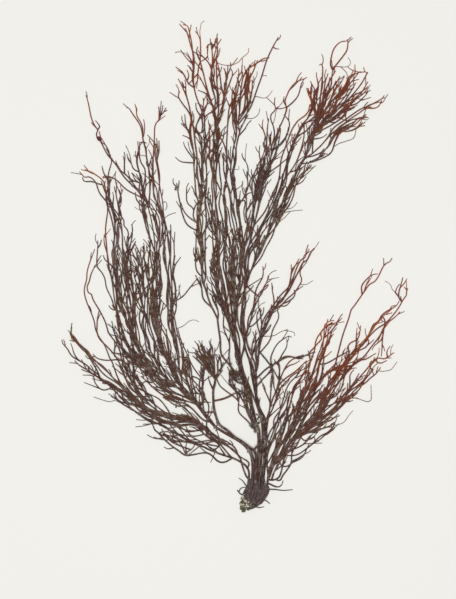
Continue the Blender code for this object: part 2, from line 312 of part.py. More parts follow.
def left_tall_frond():
    """The tall left frond on the thick stem: three columns of strands and their tips."""
    return [
        spray(3, 1.2, 1.0, [
            (0.75, 4.7), (0.85, 7.0), (0.9, 9.5), (0.7, 11.3), (0.0, 12.8), (-1.5, 14.5), (-3.0, 15.9), (-5.0, 17.2),
            (-7.0, 18.4), (-8.9, 19.5), (-10.4, 20.9), (-12.0, 22.7), (-14.0, 24.9), (-15.8, 26.9), (-17.7, 28.9),
            (-20.0, 30.5), (-23.0, 31.7), (-25.3, 33.0), (-26.8, 35.2), (-28.0, 37.3), (-29.5, 39.8),
            (-30.8, 42.3), (-31.4, 45.0), (-31.6, 48.0), (-31.4, 51.0), (-31.4, 54.0), (-31.6, 57.5),
            (-32.0, 61.0), (-32.0, 64.0), (-31.8, 67.0)], radius=LEFT_STEM_RADIUS, forks=(0.24, 0.5)),
        spray(3, 0.8, 0.7, [
            (-30.3, 41.3), (-32.2, 45.0), (-33.5, 49.0), (-34.6, 53.0), (-35.4, 57.0), (-36.3, 61.0), (-37.0, 64.5),
            (-37.3, 67.0)], forks=(0.02, 0.4)),
        spray(2, 0.4, 0.7, [
            (-36.2, 60.5), (-36.8, 63.5), (-36.8, 67.0), (-36.4, 70.5), (-36.3, 73.5), (-36.9, 76.5), (-37.6, 79.0),
            (-38.0, 81.5), (-38.0, 84.0), (-38.3, 86.5), (-38.5, 89.0), (-38.4, 92.0)]),
        spray(1, 0.3, 0.4, [
            (-34.6, 57.5), (-34.3, 61.0), (-34.3, 65.0), (-34.1, 68.0), (-34.2, 71.0), (-35.0, 74.0), (-36.3, 76.7),
            (-37.6, 79.5), (-38.5, 82.0), (-39.2, 84.0), (-40.0, 85.8)]),
        spray(2, 0.5, 0.4, [
            (-35.2, 56.0), (-35.6, 60.0), (-36.0, 64.0), (-35.7, 67.0), (-35.8, 70.0), (-35.7, 73.0), (-35.1, 76.0),
            (-35.3, 78.5), (-35.6, 80.3), (-36.1, 82.3), (-36.4, 84.0), (-36.5, 85.4)]),
        spray(1, 0.3, 0.3, [
            (-33.6, 54.0), (-33.2, 58.0), (-33.2, 62.0), (-33.0, 66.0), (-32.9, 69.0), (-32.8, 71.5), (-33.1, 72.9),
            (-33.8, 73.5), (-33.5, 75.0), (-33.7, 76.6), (-34.5, 77.6)]),
        spray(1, 0.4, 0.5, [(-31.4, 53.0), (-30.7, 56.5), (-29.9, 58.8), (-29.6, 60.6), (-30.2, 62.7), (-31.2, 64.7)]),
        lone((-31.9, 65.0), (-32.1, 68.5), (-31.6, 71.2), (-31.6, 73.3)),
        lone((-31.8, 66.5), (-31.5, 68.6), (-30.8, 69.6)),
        lone((-38.2, 80.0), (-39.6, 81.4), (-40.4, 82.6), (-41.0, 84.3), (-41.5, 85.6), (-42.3, 86.5), (-43.2, 87.0),
             (-44.4, 86.9), (-45.1, 87.5), (-45.8, 88.4)),
        lone((-38.3, 86.2), (-39.2, 88.0), (-39.7, 89.8)),
        lone((-35.4, 79.6), (-34.8, 81.3), (-35.4, 83.0), (-35.8, 84.4)),
        lone((-34.0, 50.8), (-36.1, 51.7), (-37.1, 54.0), (-38.6, 57.0), (-39.1, 59.5), (-40.0, 61.2), (-41.0, 62.4),
             (-41.3, 63.8), (-41.0, 66.0), (-40.8, 67.8), (-40.9, 69.8)),
        lone((-35.9, 51.2), (-37.2, 51.4), (-37.9, 52.4)),
        spray(3, 0.9, 0.4, [
            (-17.5, 28.7), (-18.8, 30.7), (-20.3, 32.6), (-21.5, 35.0), (-22.3, 37.5), (-23.5, 40.0), (-24.8, 43.0),
            (-25.7, 46.0), (-26.4, 49.0), (-26.7, 52.0), (-26.6, 55.0), (-26.3, 58.0), (-26.0, 61.0),
            (-25.7, 64.0), (-25.6, 67.0), (-25.7, 70.0), (-26.0, 73.0), (-26.6, 76.0), (-27.3, 78.5),
            (-28.1, 80.5)], forks=(0.02, 0.3)),
        lone((-25.8, 66.5), (-26.5, 69.5), (-27.4, 72.0), (-28.1, 75.0), (-28.5, 78.0), (-28.8, 80.0)),
        spray(2, 0.4, 0.5, [
            (-21.9, 37.0), (-23.0, 40.0), (-23.6, 43.0), (-24.2, 46.0), (-24.8, 48.5), (-24.6, 51.0), (-24.3, 54.0),
            (-24.3, 57.0), (-24.0, 60.0), (-24.1, 63.0), (-24.4, 66.0), (-24.4, 69.0), (-24.2, 72.0),
            (-24.4, 75.0), (-25.1, 77.5), (-26.0, 80.0)]),
        spray(2, 0.5, 0.4, [
            (-19.2, 30.3), (-21.5, 33.0), (-23.5, 35.5), (-25.5, 38.2), (-27.0, 41.0), (-28.0, 44.0), (-28.7, 47.0),
            (-28.8, 50.0), (-28.3, 53.0), (-27.4, 56.0)]),
        lone((-28.2, 44.6), (-29.4, 47.0), (-29.7, 50.0), (-29.1, 53.0), (-29.8, 56.0), (-30.3, 58.3)),
        spray(2, 0.4, 0.8, [(-26.7, 56.0), (-27.3, 59.0), (-28.1, 62.0), (-28.5, 64.5), (-28.4, 66.5), (-28.6, 68.3)]),
        spray(1, 0.2, 0.4, [(-26.1, 60.5), (-26.7, 64.0), (-27.2, 67.5), (-27.8, 69.7)]),
        lone((-22.4, 37.6), (-21.8, 40.0), (-22.4, 43.5), (-23.8, 46.5), (-24.9, 49.3)),
        spray(3, 0.6, 0.35, [
            (-17.4, 28.5), (-18.1, 31.5), (-18.8, 34.5), (-19.3, 37.5), (-19.9, 40.5), (-20.5, 43.5), (-20.8, 46.5),
            (-20.9, 50.0), (-20.9, 54.0), (-21.1, 58.0), (-21.4, 61.5), (-21.6, 65.0), (-21.9, 68.5),
            (-22.2, 72.0), (-22.8, 75.0), (-23.4, 78.0), (-23.8, 81.0), (-24.1, 84.0), (-24.5, 87.0),
            (-24.9, 90.0), (-25.1, 93.0), (-25.2, 96.5)], forks=(0.05, 0.3)),
        lone((-18.4, 32.5), (-18.1, 36.0), (-18.3, 39.0), (-18.9, 42.0), (-19.5, 45.0), (-20.1, 48.0), (-20.5, 51.0)),
        spray(1, 0.3, 0.2, [
            (-20.9, 46.0), (-21.6, 49.0), (-22.2, 52.0), (-22.3, 55.5), (-22.1, 59.0), (-22.4, 62.0), (-22.8, 65.0),
            (-23.3, 68.5), (-23.5, 72.0), (-23.6, 75.0), (-24.3, 78.0), (-25.2, 80.5), (-26.0, 83.0),
            (-26.3, 86.5), (-26.2, 90.0), (-25.9, 93.0), (-25.7, 96.0), (-25.6, 98.5), (-25.3, 101.0),
            (-24.5, 102.2), (-24.0, 103.2)]),
        lone((-24.4, 102.3), (-24.5, 104.3), (-24.6, 105.8)),
        lone((-24.1, 102.9), (-23.8, 104.8), (-23.6, 106.2)),
        lone((-24.1, 102.8), (-23.2, 104.2), (-22.6, 105.5)),
        lone((-21.3, 59.0), (-20.6, 61.3), (-20.2, 62.9), (-19.7, 64.0), (-18.6, 65.3)),
        lone((-20.9, 52.6), (-18.0, 55.0), (-16.0, 57.5), (-14.3, 59.6)),
        spray(1, 0.25, 0.2, [
            (-28.1, 80.3), (-29.0, 81.8), (-30.3, 83.3), (-32.0, 85.1), (-33.5, 86.8), (-35.0, 88.8), (-36.6, 90.8),
            (-38.3, 92.8), (-39.3, 94.7), (-40.3, 96.4), (-41.2, 97.5), (-41.3, 98.5), (-40.9, 99.7),
            (-41.5, 100.6), (-42.1, 101.7), (-43.0, 103.5), (-43.7, 105.3), (-44.5, 107.2), (-45.0, 108.6)]),
        lone((-40.2, 96.2), (-40.2, 97.8), (-40.5, 99.2)),
        lone((-41.3, 100.1), (-42.0, 100.6), (-42.8, 101.4)),
        spray(1, 0.2, 0.3, [(-28.8, 81.6), (-31.0, 84.7), (-33.0, 87.2), (-34.3, 88.6), (-34.8, 89.8), (-35.3, 91.5)]),
        spray(1, 0.15, 0.3, [(-34.0, 88.2), (-33.8, 90.5), (-33.5, 92.0), (-33.6, 93.6)]),
        lone((-28.6, 80.9), (-30.0, 81.9), (-31.5, 82.7), (-33.2, 83.7), (-34.8, 84.9), (-36.0, 86.0), (-37.3, 86.6),
             (-38.4, 87.1), (-39.6, 86.9)),
        spray(1, 0.2, 0.4, [
            (-28.5, 81.3), (-29.4, 82.8), (-29.7, 85.0), (-29.6, 87.5), (-30.0, 90.0), (-30.4, 92.0), (-30.4, 94.0),
            (-30.7, 96.0)]),
        spray(1, 0.25, 0.4, [(-28.7, 82.2), (-29.3, 85.2), (-30.8, 85.9), (-32.0, 87.0), (-33.1, 88.3)]),
        lone((-28.4, 82.4), (-29.0, 86.3), (-29.9, 88.3), (-31.2, 89.0), (-31.7, 90.5), (-32.8, 92.3)),
        spray(1, 0.2, 0.1, [
            (-27.3, 78.6), (-27.1, 81.5), (-27.0, 84.5), (-27.0, 87.5), (-27.4, 90.2), (-27.8, 92.3), (-28.1, 94.5),
            (-28.7, 96.6), (-29.1, 98.5), (-29.5, 100.2), (-30.3, 101.8), (-31.1, 103.3), (-31.6, 105.0),
            (-32.0, 106.0), (-32.7, 106.3)]),
        lone((-27.2, 89.6), (-26.7, 91.2), (-26.4, 92.5)),
        lone((-28.1, 82.4), (-28.0, 86.0), (-28.2, 89.0), (-29.2, 90.6), (-29.7, 92.3), (-29.8, 95.6)),
        lone((-14.3, 25.2), (-13.0, 26.5), (-12.2, 28.2), (-13.0, 30.0), (-15.0, 32.0), (-16.7, 34.0), (-17.6, 36.5),
             (-18.2, 39.3)),
        lone((-13.2, 29.9), (-12.6, 31.2), (-12.9, 32.3), (-14.0, 34.0), (-15.4, 35.8), (-16.5, 38.0), (-17.6, 41.0),
             (-18.6, 43.5), (-19.3, 46.0)),
        spray(2, 0.4, 0.4, [
            (-10.5, 21.1), (-12.5, 21.8), (-14.6, 23.5), (-16.5, 25.3), (-18.0, 26.1), (-20.0, 26.4), (-22.0, 27.2),
            (-24.0, 28.7), (-25.6, 30.0), (-27.5, 31.4), (-29.5, 33.0)]),
        lone((-13.6, 24.6), (-12.8, 25.6), (-12.4, 27.2), (-13.8, 28.6), (-15.5, 28.7), (-17.2, 28.5)),
        lone((-25.2, 32.8), (-26.3, 31.6), (-27.6, 31.9), (-28.7, 31.7), (-29.3, 30.7), (-28.8, 29.6)),
    ]


def crown_middle_frond():
    """The middle of the crown: three stem groups, the tallest tips and the red fans."""
    return [
        spray(3, 0.9, 0.6, [
            (3.1, 4.7), (3.15, 8.0), (3.25, 12.0), (3.3, 15.0), (3.3, 18.0), (3.0, 20.5), (2.5, 23.0), (1.8, 25.5),
            (0.9, 28.0), (0.0, 30.5), (-1.1, 33.0), (-2.1, 35.5), (-2.8, 38.0), (-3.3, 41.0), (-4.0, 44.0),
            (-4.9, 47.0), (-5.6, 50.0), (-6.2, 53.0), (-6.8, 56.0), (-7.5, 59.0), (-8.1, 62.0), (-8.4, 65.0),
            (-8.3, 68.0), (-8.1, 71.0), (-8.4, 74.0), (-8.9, 77.0), (-9.3, 80.0), (-9.5, 83.0), (-9.6, 86.0),
            (-9.7, 89.0), (-10.0, 92.0), (-10.0, 95.0), (-9.7, 98.0), (-9.2, 101.0), (-9.4, 103.5),
            (-10.0, 106.0), (-10.4, 108.0)], forks=(0.3, 0.6)),
        spray(2, 0.5, 0.4, [
            (-6.0, 52.0), (-8.0, 54.5), (-9.2, 57.5), (-9.7, 60.5), (-9.7, 63.5), (-9.4, 66.5), (-9.1, 69.5),
            (-9.3, 72.5), (-9.8, 75.5), (-10.2, 78.0), (-10.3, 81.0)]),
        spray(2, 0.35, 0.35, [
            (-4.5, 45.7), (-5.0, 50.0), (-5.3, 53.5), (-5.6, 57.0), (-6.2, 60.5), (-6.6, 64.0), (-6.6, 67.5),
            (-6.7, 71.0), (-6.7, 74.5), (-6.9, 78.0), (-7.0, 81.0), (-6.8, 84.0), (-6.3, 87.0), (-6.1, 90.0),
            (-6.3, 92.5), (-6.9, 95.0), (-7.7, 97.5), (-8.5, 100.0)]),
        lone((-9.6, 87.0), (-8.9, 85.3), (-8.0, 83.5), (-7.2, 81.7)),
        lone((-6.9, 79.5), (-6.0, 78.2), (-5.5, 76.2), (-5.1, 74.0), (-4.5, 71.8), (-3.9, 70.0)),
        lone((-5.6, 55.5), (-5.0, 59.0), (-4.6, 62.0), (-4.9, 64.5), (-4.3, 67.0), (-3.8, 69.5), (-4.1, 72.5),
             (-4.6, 75.5), (-5.1, 78.5), (-5.3, 81.5), (-5.8, 84.0), (-6.7, 86.5), (-7.2, 88.8)),
        spray(3, 0.5, 0.6, [
            (-4.0, 44.2), (-3.6, 49.0), (-3.2, 53.0), (-2.9, 57.0), (-2.8, 60.0), (-2.7, 63.0), (-2.5, 66.0),
            (-2.4, 69.0), (-2.6, 72.0), (-3.0, 75.0), (-3.3, 78.0), (-3.8, 80.5), (-4.4, 83.0), (-4.9, 86.0),
            (-5.0, 89.0), (-4.8, 92.0), (-4.4, 95.0), (-3.9, 98.0), (-3.4, 100.5), (-2.9, 103.0),
            (-2.4, 106.0)], forks=(0.1, 0.6)),
        lone((-5.0, 89.8), (-5.6, 92.0), (-5.7, 94.2)),
        spray(1, 0.2, 0.5, [(-3.7, 98.9), (-4.4, 101.0), (-4.7, 103.0), (-4.5, 106.0), (-4.7, 108.0), (-5.3, 109.7)]),
        spray(1, 0.4, 0.6, [
            (-3.5, 100.0), (-4.0, 103.0), (-4.1, 106.0), (-4.0, 109.0), (-3.6, 112.0), (-3.3, 114.5), (-3.5, 116.0)]),
        spray(2, 0.6, 0.7, [
            (-3.3, 101.0), (-3.0, 104.0), (-2.6, 107.0), (-2.3, 110.0), (-2.1, 112.5), (-1.8, 114.7), (-1.5, 116.6)],
              forks=(0.02, 0.4)),
        spray(2, 0.7, 0.6, [
            (-3.0, 102.5), (-1.8, 104.5), (-1.1, 107.0), (-0.7, 110.0), (-0.2, 112.5), (0.8, 114.7), (1.7, 116.6),
            (2.4, 118.0)], forks=(0.02, 0.4)),
        spray(2, 0.4, 0.6, [(-3.1, 101.8), (-2.0, 103.4), (-0.8, 105.7), (0.2, 108.0), (1.0, 110.5), (1.3, 113.0)]),
        lone((-2.0, 113.4), (-0.8, 115.6), (0.6, 116.8), (2.1, 117.9), (3.6, 118.9), (5.1, 119.0)),
        lone((-3.3, 100.8), (-2.2, 102.3), (-0.9, 104.0), (0.1, 106.0), (1.0, 108.2), (1.8, 110.5), (2.7, 113.0),
             (3.5, 115.3), (4.3, 117.5), (5.1, 119.3), (5.7, 121.0), (6.3, 122.3), (7.0, 123.5), (7.5, 124.5)),
        lone((6.2, 122.0), (7.0, 121.6), (7.8, 121.5)),
        spray(1, 0.2, 0.3, [
            (-10.1, 106.5), (-11.0, 109.0), (-11.8, 111.3), (-12.3, 113.5), (-12.9, 116.0), (-13.3, 118.0),
            (-13.1, 120.0), (-13.5, 121.8), (-14.0, 123.4), (-14.8, 124.6), (-15.5, 125.4)]),
        lone((-10.6, 108.0), (-11.9, 111.0), (-13.0, 113.3), (-14.0, 114.6)),
        lone((-10.4, 107.6), (-11.7, 109.3), (-13.0, 110.0), (-14.0, 110.3)),
        spray(1, 0.2, 0.3, [
            (-9.3, 100.5), (-8.8, 103.0), (-8.5, 105.5), (-8.6, 107.8), (-9.0, 110.0), (-9.6, 112.5), (-10.3, 115.0),
            (-10.9, 117.5), (-11.8, 119.7), (-12.6, 121.5)]),
        spray(2, 0.45, 0.5, [
            (-9.3, 102.6), (-9.7, 105.0), (-9.4, 108.0), (-9.9, 110.5), (-10.3, 113.0), (-10.3, 115.5),
            (-10.0, 118.0), (-9.8, 120.5), (-9.8, 122.8), (-10.0, 124.2)]),
        spray(1, 0.3, 0.3, [(-8.7, 106.5), (-8.7, 109.0), (-8.9, 112.0), (-9.1, 115.0), (-9.0, 118.0), (-8.8, 120.8)]),
        lone((-9.8, 121.7), (-9.1, 123.6), (-8.8, 125.4)),
        lone((-10.0, 122.2), (-11.0, 122.6), (-11.6, 121.6)),
        spray(2, 0.6, 0.7, [(-8.5, 99.8), (-7.8, 102.3), (-7.3, 104.7), (-7.1, 107.0), (-7.2, 109.5), (-7.3, 112.2)],
              forks=(0.1, 0.5)),
        spray(1, 0.2, 0.3, [(-7.2, 109.5), (-7.8, 112.5), (-8.2, 115.5), (-8.6, 118.0)]),
        spray(1, 0.35, 0.4, [(-7.1, 107.5), (-6.5, 111.0), (-6.2, 114.5), (-6.6, 117.4)]),
        lone((-6.5, 111.0), (-5.9, 114.0), (-5.9, 116.8)),
        lone((-6.9, 107.5), (-6.0, 110.5), (-5.4, 112.8), (-4.8, 114.7), (-5.2, 116.0)),
        spray(1, 0.15, 0.4, [
            (-6.4, 92.8), (-6.3, 95.0), (-6.1, 98.0), (-5.9, 101.0), (-5.8, 103.5), (-5.6, 105.7), (-5.2, 107.5),
            (-4.8, 109.2), (-4.4, 110.7)]),
        lone((-9.9, 105.2), (-8.5, 106.2), (-7.1, 107.2)),
        spray(1, 0.3, 0.4, [
            (-3.4, 78.6), (-2.6, 80.4), (-1.7, 81.6), (-0.9, 83.2), (-0.3, 84.9), (0.0, 86.5), (0.1, 88.3)]),
        lone((-0.1, 86.0), (-0.3, 88.0), (-0.8, 90.0), (-1.3, 91.0), (-2.0, 91.9)),
    ]


def crown_left_frond():
    """The left of the crown: its long stem, the bladed tips on its left and the pair of highest strands."""
    return [
        spray(2, 0.5, 0.5, [
            (1.95, 4.7), (2.0, 8.0), (2.1, 12.0), (2.2, 15.0), (2.2, 17.5), (1.9, 19.8), (1.4, 22.0), (0.8, 24.5),
            (0.0, 27.0), (-0.8, 29.5), (-1.6, 31.8), (-2.7, 33.7), (-4.0, 34.7), (-5.5, 36.4), (-7.0, 38.2),
            (-7.9, 40.0), (-8.2, 43.0), (-8.5, 46.0), (-8.7, 48.5), (-9.6, 50.7), (-10.5, 53.0), (-11.6, 55.3),
            (-12.4, 57.7), (-12.9, 60.5), (-13.1, 63.5), (-13.0, 66.5), (-13.2, 69.5), (-13.7, 72.3),
            (-13.9, 75.0), (-13.5, 77.7), (-13.2, 80.5), (-13.5, 83.0), (-13.9, 86.0), (-14.1, 89.0),
            (-14.5, 92.0), (-14.7, 95.0), (-15.0, 98.0), (-15.5, 101.0), (-16.0, 104.0)], forks=(0.5, 0.75)),
        spray(1, 0.3, 0.3, [
            (-12.4, 57.8), (-12.0, 60.5), (-12.2, 63.5), (-12.2, 66.5), (-12.0, 69.5), (-11.8, 72.5), (-11.7, 75.5),
            (-11.9, 78.5), (-12.1, 81.5), (-12.0, 84.5), (-11.6, 87.5), (-11.2, 90.0), (-11.0, 92.5)]),
        lone((-13.0, 60.6), (-14.2, 62.0), (-14.5, 64.5), (-14.6, 68.0), (-14.6, 71.0), (-14.4, 73.0)),
        lone((-13.8, 72.4), (-15.5, 73.3), (-17.0, 74.2), (-17.9, 75.7), (-18.4, 77.5), (-18.7, 80.0), (-19.1, 82.0),
             (-19.5, 84.0), (-19.7, 85.2)),
        lone((-13.9, 73.9), (-15.6, 75.5), (-17.3, 77.1), (-18.0, 78.4), (-18.5, 80.0)),
        lone((-19.5, 83.4), (-19.1, 84.7), (-19.0, 85.9)),
        lone((-13.8, 74.4), (-14.8, 75.5), (-15.3, 76.7), (-15.3, 78.3), (-16.3, 79.3), (-17.1, 80.2), (-17.3, 82.0),
             (-17.0, 84.0), (-16.4, 85.2)),
        lone((-13.4, 81.5), (-14.6, 82.0), (-15.1, 83.4), (-15.8, 84.4)),
        spray(1, 0.3, 0.3, [
            (-13.3, 79.0), (-14.3, 82.0), (-14.8, 85.0), (-15.1, 88.0), (-15.2, 91.0), (-15.3, 94.0), (-15.6, 96.7),
            (-16.1, 99.0), (-16.4, 102.0), (-16.7, 104.5)]),
        lone((-15.5, 96.2), (-16.6, 97.5), (-18.1, 98.1)),
        lone((-15.2, 90.9), (-17.0, 90.9), (-18.5, 91.1), (-20.0, 92.3)),
        lone((-16.1, 99.2), (-17.3, 100.0), (-18.0, 101.2)),
        lone((-16.4, 102.6), (-17.2, 105.0), (-18.5, 107.0), (-19.4, 108.6), (-19.0, 109.9)),
        spray(1, 0.2, 0.5, [(-16.0, 102.6), (-16.6, 105.5), (-16.9, 108.0), (-17.4, 110.0), (-17.8, 112.0), (-18.6, 113.7)]),
        spray(1, 0.2, 0.3, [
            (-15.0, 97.6), (-14.3, 100.5), (-13.5, 103.0), (-12.7, 104.8), (-12.0, 106.0), (-11.4, 107.0)]),
        spray(2, 0.25, 0.3, [
            (-13.0, 104.2), (-13.5, 106.3), (-14.3, 108.5), (-15.0, 111.0), (-15.2, 113.5), (-15.3, 116.0),
            (-15.3, 118.5), (-15.6, 121.5), (-15.9, 124.0), (-16.4, 126.8), (-17.0, 127.7), (-18.0, 127.8)]),
        lone((-14.8, 98.9), (-13.8, 98.6), (-12.4, 99.2), (-12.3, 102.0), (-12.6, 104.5)),
        lone((-15.0, 110.6), (-16.5, 112.0), (-17.3, 113.7), (-18.1, 115.0), (-19.0, 115.7), (-19.9, 116.5)),
        lone((-17.0, 112.9), (-16.6, 114.2), (-17.0, 115.6)),
        lone((-15.3, 114.6), (-16.4, 116.8)),
    ]


def centre_low_frond():
    """The low centre frond: its column of dark strands, the curled knot and the reddish tips."""
    return [
        spray(2, 0.6, 0.6, [
            (2.5, 4.7), (2.5, 8.0), (2.6, 12.0), (2.7, 15.0), (2.6, 17.5), (2.2, 19.2), (1.5, 20.9), (0.9, 23.0), (0.2, 25.5),
            (-0.7, 28.0), (-1.5, 30.5), (-2.3, 33.0), (-2.9, 35.5), (-3.2, 38.0), (-3.5, 41.0), (-3.9, 44.0),
            (-4.4, 47.0), (-4.8, 50.0), (-5.0, 53.0), (-5.0, 56.0), (-4.7, 58.5)], forks=(0.25, 0.5)),
        lone((1.6, 20.6), (0.3, 20.2), (-0.5, 21.3), (-1.5, 22.3), (-2.9, 23.6), (-3.1, 25.5), (-3.1, 27.5), (-2.8, 29.5)),
        spray(1, 0.2, 0.4, [
            (1.1, 22.4), (-0.3, 24.2), (-1.5, 26.5), (-2.7, 28.3), (-4.0, 29.5), (-5.2, 30.8), (-5.8, 32.0), (-5.4, 33.3)]),
        lone((-2.4, 33.3), (-4.0, 32.6), (-5.2, 33.2), (-5.8, 34.3), (-5.2, 35.2)),
        spray(2, 0.5, 0.6, [(-2.7, 34.7), (-4.0, 34.3), (-4.9, 33.3), (-5.7, 32.0)]),
        spray(1, 0.25, 0.4, [
            (-4.6, 33.9), (-5.4, 36.4), (-5.7, 39.0), (-5.6, 42.0), (-6.3, 44.5), (-7.0, 47.0), (-7.0, 50.0), (-6.7, 52.5)]),
        spray(2, 0.7, 0.5, [
            (-2.9, 36.0), (-1.8, 40.0), (-1.2, 43.0), (-0.6, 46.0), (0.2, 49.0), (1.2, 52.0), (2.4, 54.5),
            (3.6, 56.8), (4.7, 58.3), (5.5, 60.0)]),
        lone((0.2, 49.0), (0.7, 52.5), (1.5, 56.0), (2.6, 58.3), (3.4, 60.0), (3.6, 62.8)),
        lone((0.0, 46.9), (1.2, 47.5), (2.2, 48.5), (3.4, 50.1), (3.6, 51.8)),
        lone((3.3, 56.2), (2.6, 54.6), (1.5, 55.5), (0.0, 57.0), (-1.7, 58.3), (-3.3, 59.0)),
        spray(1, 0.3, 0.4, [
            (-3.0, 36.4), (-3.9, 38.5), (-4.2, 42.0), (-5.0, 45.0), (-6.0, 48.0), (-6.3, 51.0), (-6.0, 54.0), (-5.7, 57.0)]),
    ]


def centre_right_frond():
    """The spray that leans right of the centre: its purple core, two bundles of tips and the curls below it."""
    return [
        spray(3, 0.7, 0.6, [
            (3.3, 4.8), (3.4, 8.2), (3.6, 12.0), (3.7, 16.0), (3.8, 19.0), (3.5, 22.3), (2.7, 24.6), (1.9, 27.0), (1.2, 30.0),
            (1.2, 33.0), (1.6, 36.0), (2.2, 39.0), (2.8, 42.0), (3.4, 44.2), (4.2, 46.5), (5.3, 49.0), (6.5, 51.3),
            (7.7, 53.0), (9.0, 54.7), (10.4, 56.5), (11.4, 58.5), (12.2, 60.2), (13.2, 62.0), (14.2, 63.6),
            (15.7, 64.4), (16.6, 65.5), (17.7, 67.3)], forks=(0.3, 0.6)),
        spray(2, 0.6, 0.5, [(3.2, 44.0), (4.8, 48.0), (6.0, 50.2), (7.3, 52.4), (8.6, 54.3)]),
        spray(1, 0.25, 0.2, [
            (6.7, 50.9), (8.5, 52.3), (10.0, 54.2), (12.0, 56.0), (13.2, 57.7), (14.1, 59.0), (13.8, 60.5),
            (13.9, 62.0), (14.5, 63.6)]),
        spray(2, 0.5, 0.5, [(8.6, 54.0), (10.0, 56.0), (10.8, 58.3), (11.5, 60.5), (12.3, 62.2), (13.6, 63.5)]),
        lone((9.0, 53.0), (10.3, 53.4), (11.7, 54.3), (12.3, 55.6), (11.9, 56.6)),
        lone((2.3, 39.0), (3.8, 40.8), (5.2, 43.0), (6.1, 45.5), (7.3, 47.7), (7.8, 49.3), (7.5, 50.8)),
        spray(2, 0.5, 0.4, [(1.4, 34.0), (0.4, 36.6), (0.6, 39.0), (1.4, 41.5), (2.5, 43.5), (3.5, 45.3)]),
        spray(1, 0.15, 0.3, [
            (1.2, 32.4), (2.2, 33.5), (3.8, 34.8), (5.5, 36.2), (7.5, 37.5), (9.5, 38.3), (12.0, 38.6), (14.2, 38.4)]),
        lone((1.3, 30.3), (3.2, 32.6), (4.8, 34.2), (5.9, 35.7), (6.9, 37.4)),
        lone((5.7, 36.3), (5.5, 38.6), (6.1, 40.2), (7.5, 42.0), (9.0, 43.2), (10.4, 44.0), (11.2, 43.8)),
        lone((7.0, 37.4), (8.5, 39.3), (9.7, 41.0), (9.9, 43.3)),
        lone((6.6, 51.3), (6.4, 54.0), (5.9, 56.7), (5.8, 58.4)),
    ]


def side_tuft_frond():
    """The small bushy tuft on its own stalk, and the strand that crosses to the centre."""
    return [
        lone((1.35, 4.7), (1.4, 8.0), (1.5, 11.0), (1.2, 13.2), (0.0, 14.3), (-2.0, 15.8), (-4.0, 17.0), (-5.2, 18.0),
             (-6.0, 18.9), (-7.3, 19.6), (-8.4, 20.5), (-9.0, 21.7), (-9.6, 23.7), (-9.9, 26.0), (-10.0, 28.0),
             (-9.9, 30.0), (-9.4, 31.4), (-9.2, 33.0), (-9.6, 34.6), radius=TUFT_STALK_RADIUS),
        spray(2, 0.7, 0.9, [(-9.3, 32.6), (-11.0, 34.6), (-13.0, 36.2), (-14.5, 37.2), (-15.9, 38.1)]),
        spray(3, 0.8, 1.0, [(-9.4, 33.0), (-10.8, 36.0), (-12.5, 38.0), (-13.4, 40.0), (-13.6, 41.8), (-14.3, 43.1)]),
        spray(2, 0.5, 0.5, [(-9.5, 33.4), (-10.6, 36.5), (-12.4, 38.8), (-14.0, 40.3), (-15.5, 40.8)]),
        spray(2, 0.7, 0.9, [(-9.6, 34.4), (-10.3, 36.5), (-11.3, 39.0), (-11.5, 40.5), (-11.5, 41.9)]),
        spray(2, 0.6, 0.8, [(-9.5, 34.0), (-9.7, 36.0), (-10.3, 38.5), (-10.4, 40.9)]),
        spray(2, 0.5, 0.7, [(-9.2, 32.8), (-8.7, 34.5), (-9.1, 36.5), (-8.9, 39.2)]),
        spray(1, 0.25, 0.3, [(-9.2, 32.3), (-8.1, 34.0), (-7.6, 36.0), (-7.5, 38.0), (-7.8, 39.4)]),
        lone((-9.9, 26.5), (-8.0, 27.0), (-6.0, 28.0), (-4.0, 28.8), (-2.8, 29.3)),
        lone((-9.7, 23.8), (-11.5, 23.7), (-12.8, 24.0)),
    ]


# The fronds in the order in which they are laid, each with its function and its colour.
FRONDS = [
    ("frond_right", right_frond, (0.095, 0.030, 0.020)),
    ("frond_left_low", left_low_frond, (0.070, 0.030, 0.028)),
    ("frond_left_tall", left_tall_frond, (0.065, 0.028, 0.024)),
    ("frond_crown_left", crown_left_frond, (0.080, 0.030, 0.020)),
    ("frond_crown_middle", crown_middle_frond, (0.075, 0.027, 0.020)),
    ("frond_crown_right", crown_right_frond, (0.080, 0.028, 0.020)),
    ("frond_centre_low", centre_low_frond, (0.060, 0.026, 0.024)),
    ("frond_centre_right", centre_right_frond, (0.085, 0.030, 0.020)),
    ("frond_side_tuft", side_tuft_frond, (0.045, 0.026, 0.028)),
]


def smooth(value):
    """0 to 1 with level ends."""
    value = min(1.0, max(0.0, value))
    return value * value * (3 - 2 * value)


def mix(a, b, share):
    return a + (b - a) * share


def spine_of(route):
    """Points every SAMPLE along a Catmull-Rom curve through the route."""
    knots = [Vector(p) for p in route]
    knots = [2 * knots[0] - knots[1]] + knots + [2 * knots[-1] - knots[-2]]
    fine = []
    for a, b, c, d in zip(knots, knots[1:], knots[2:], knots[3:]):
        for step in range(12):
            t = step / 12
            fine.append(0.5 * (2 * b + (c - a) * t + (2 * a - 5 * b + 4 * c - d) * t * t
                               + (3 * b - a - 3 * c + d) * t ** 3))
    fine.append(knots[-2])
    run = [0.0]
    for a, b in zip(fine, fine[1:]):
        run.append(run[-1] + (b - a).length)
    count = max(3, round(run[-1] / SAMPLE))
    points, at = [], 0
    for i in range(count + 1):
        goal = run[-1] * i / count
        while at < len(run) - 2 and run[at + 1] < goal:
            at += 1
        points.append(fine[at].lerp(fine[at + 1], min(1.0, (goal - run[at]) / (run[at + 1] - run[at]))))
    return points


def sideways(points, i):
    """The unit vector to the left of the spine at point i."""
    along = (points[min(i + 1, len(points) - 1)] - points[max(i - 1, 0)]).normalized()
    return Vector((-along.y, along.x))


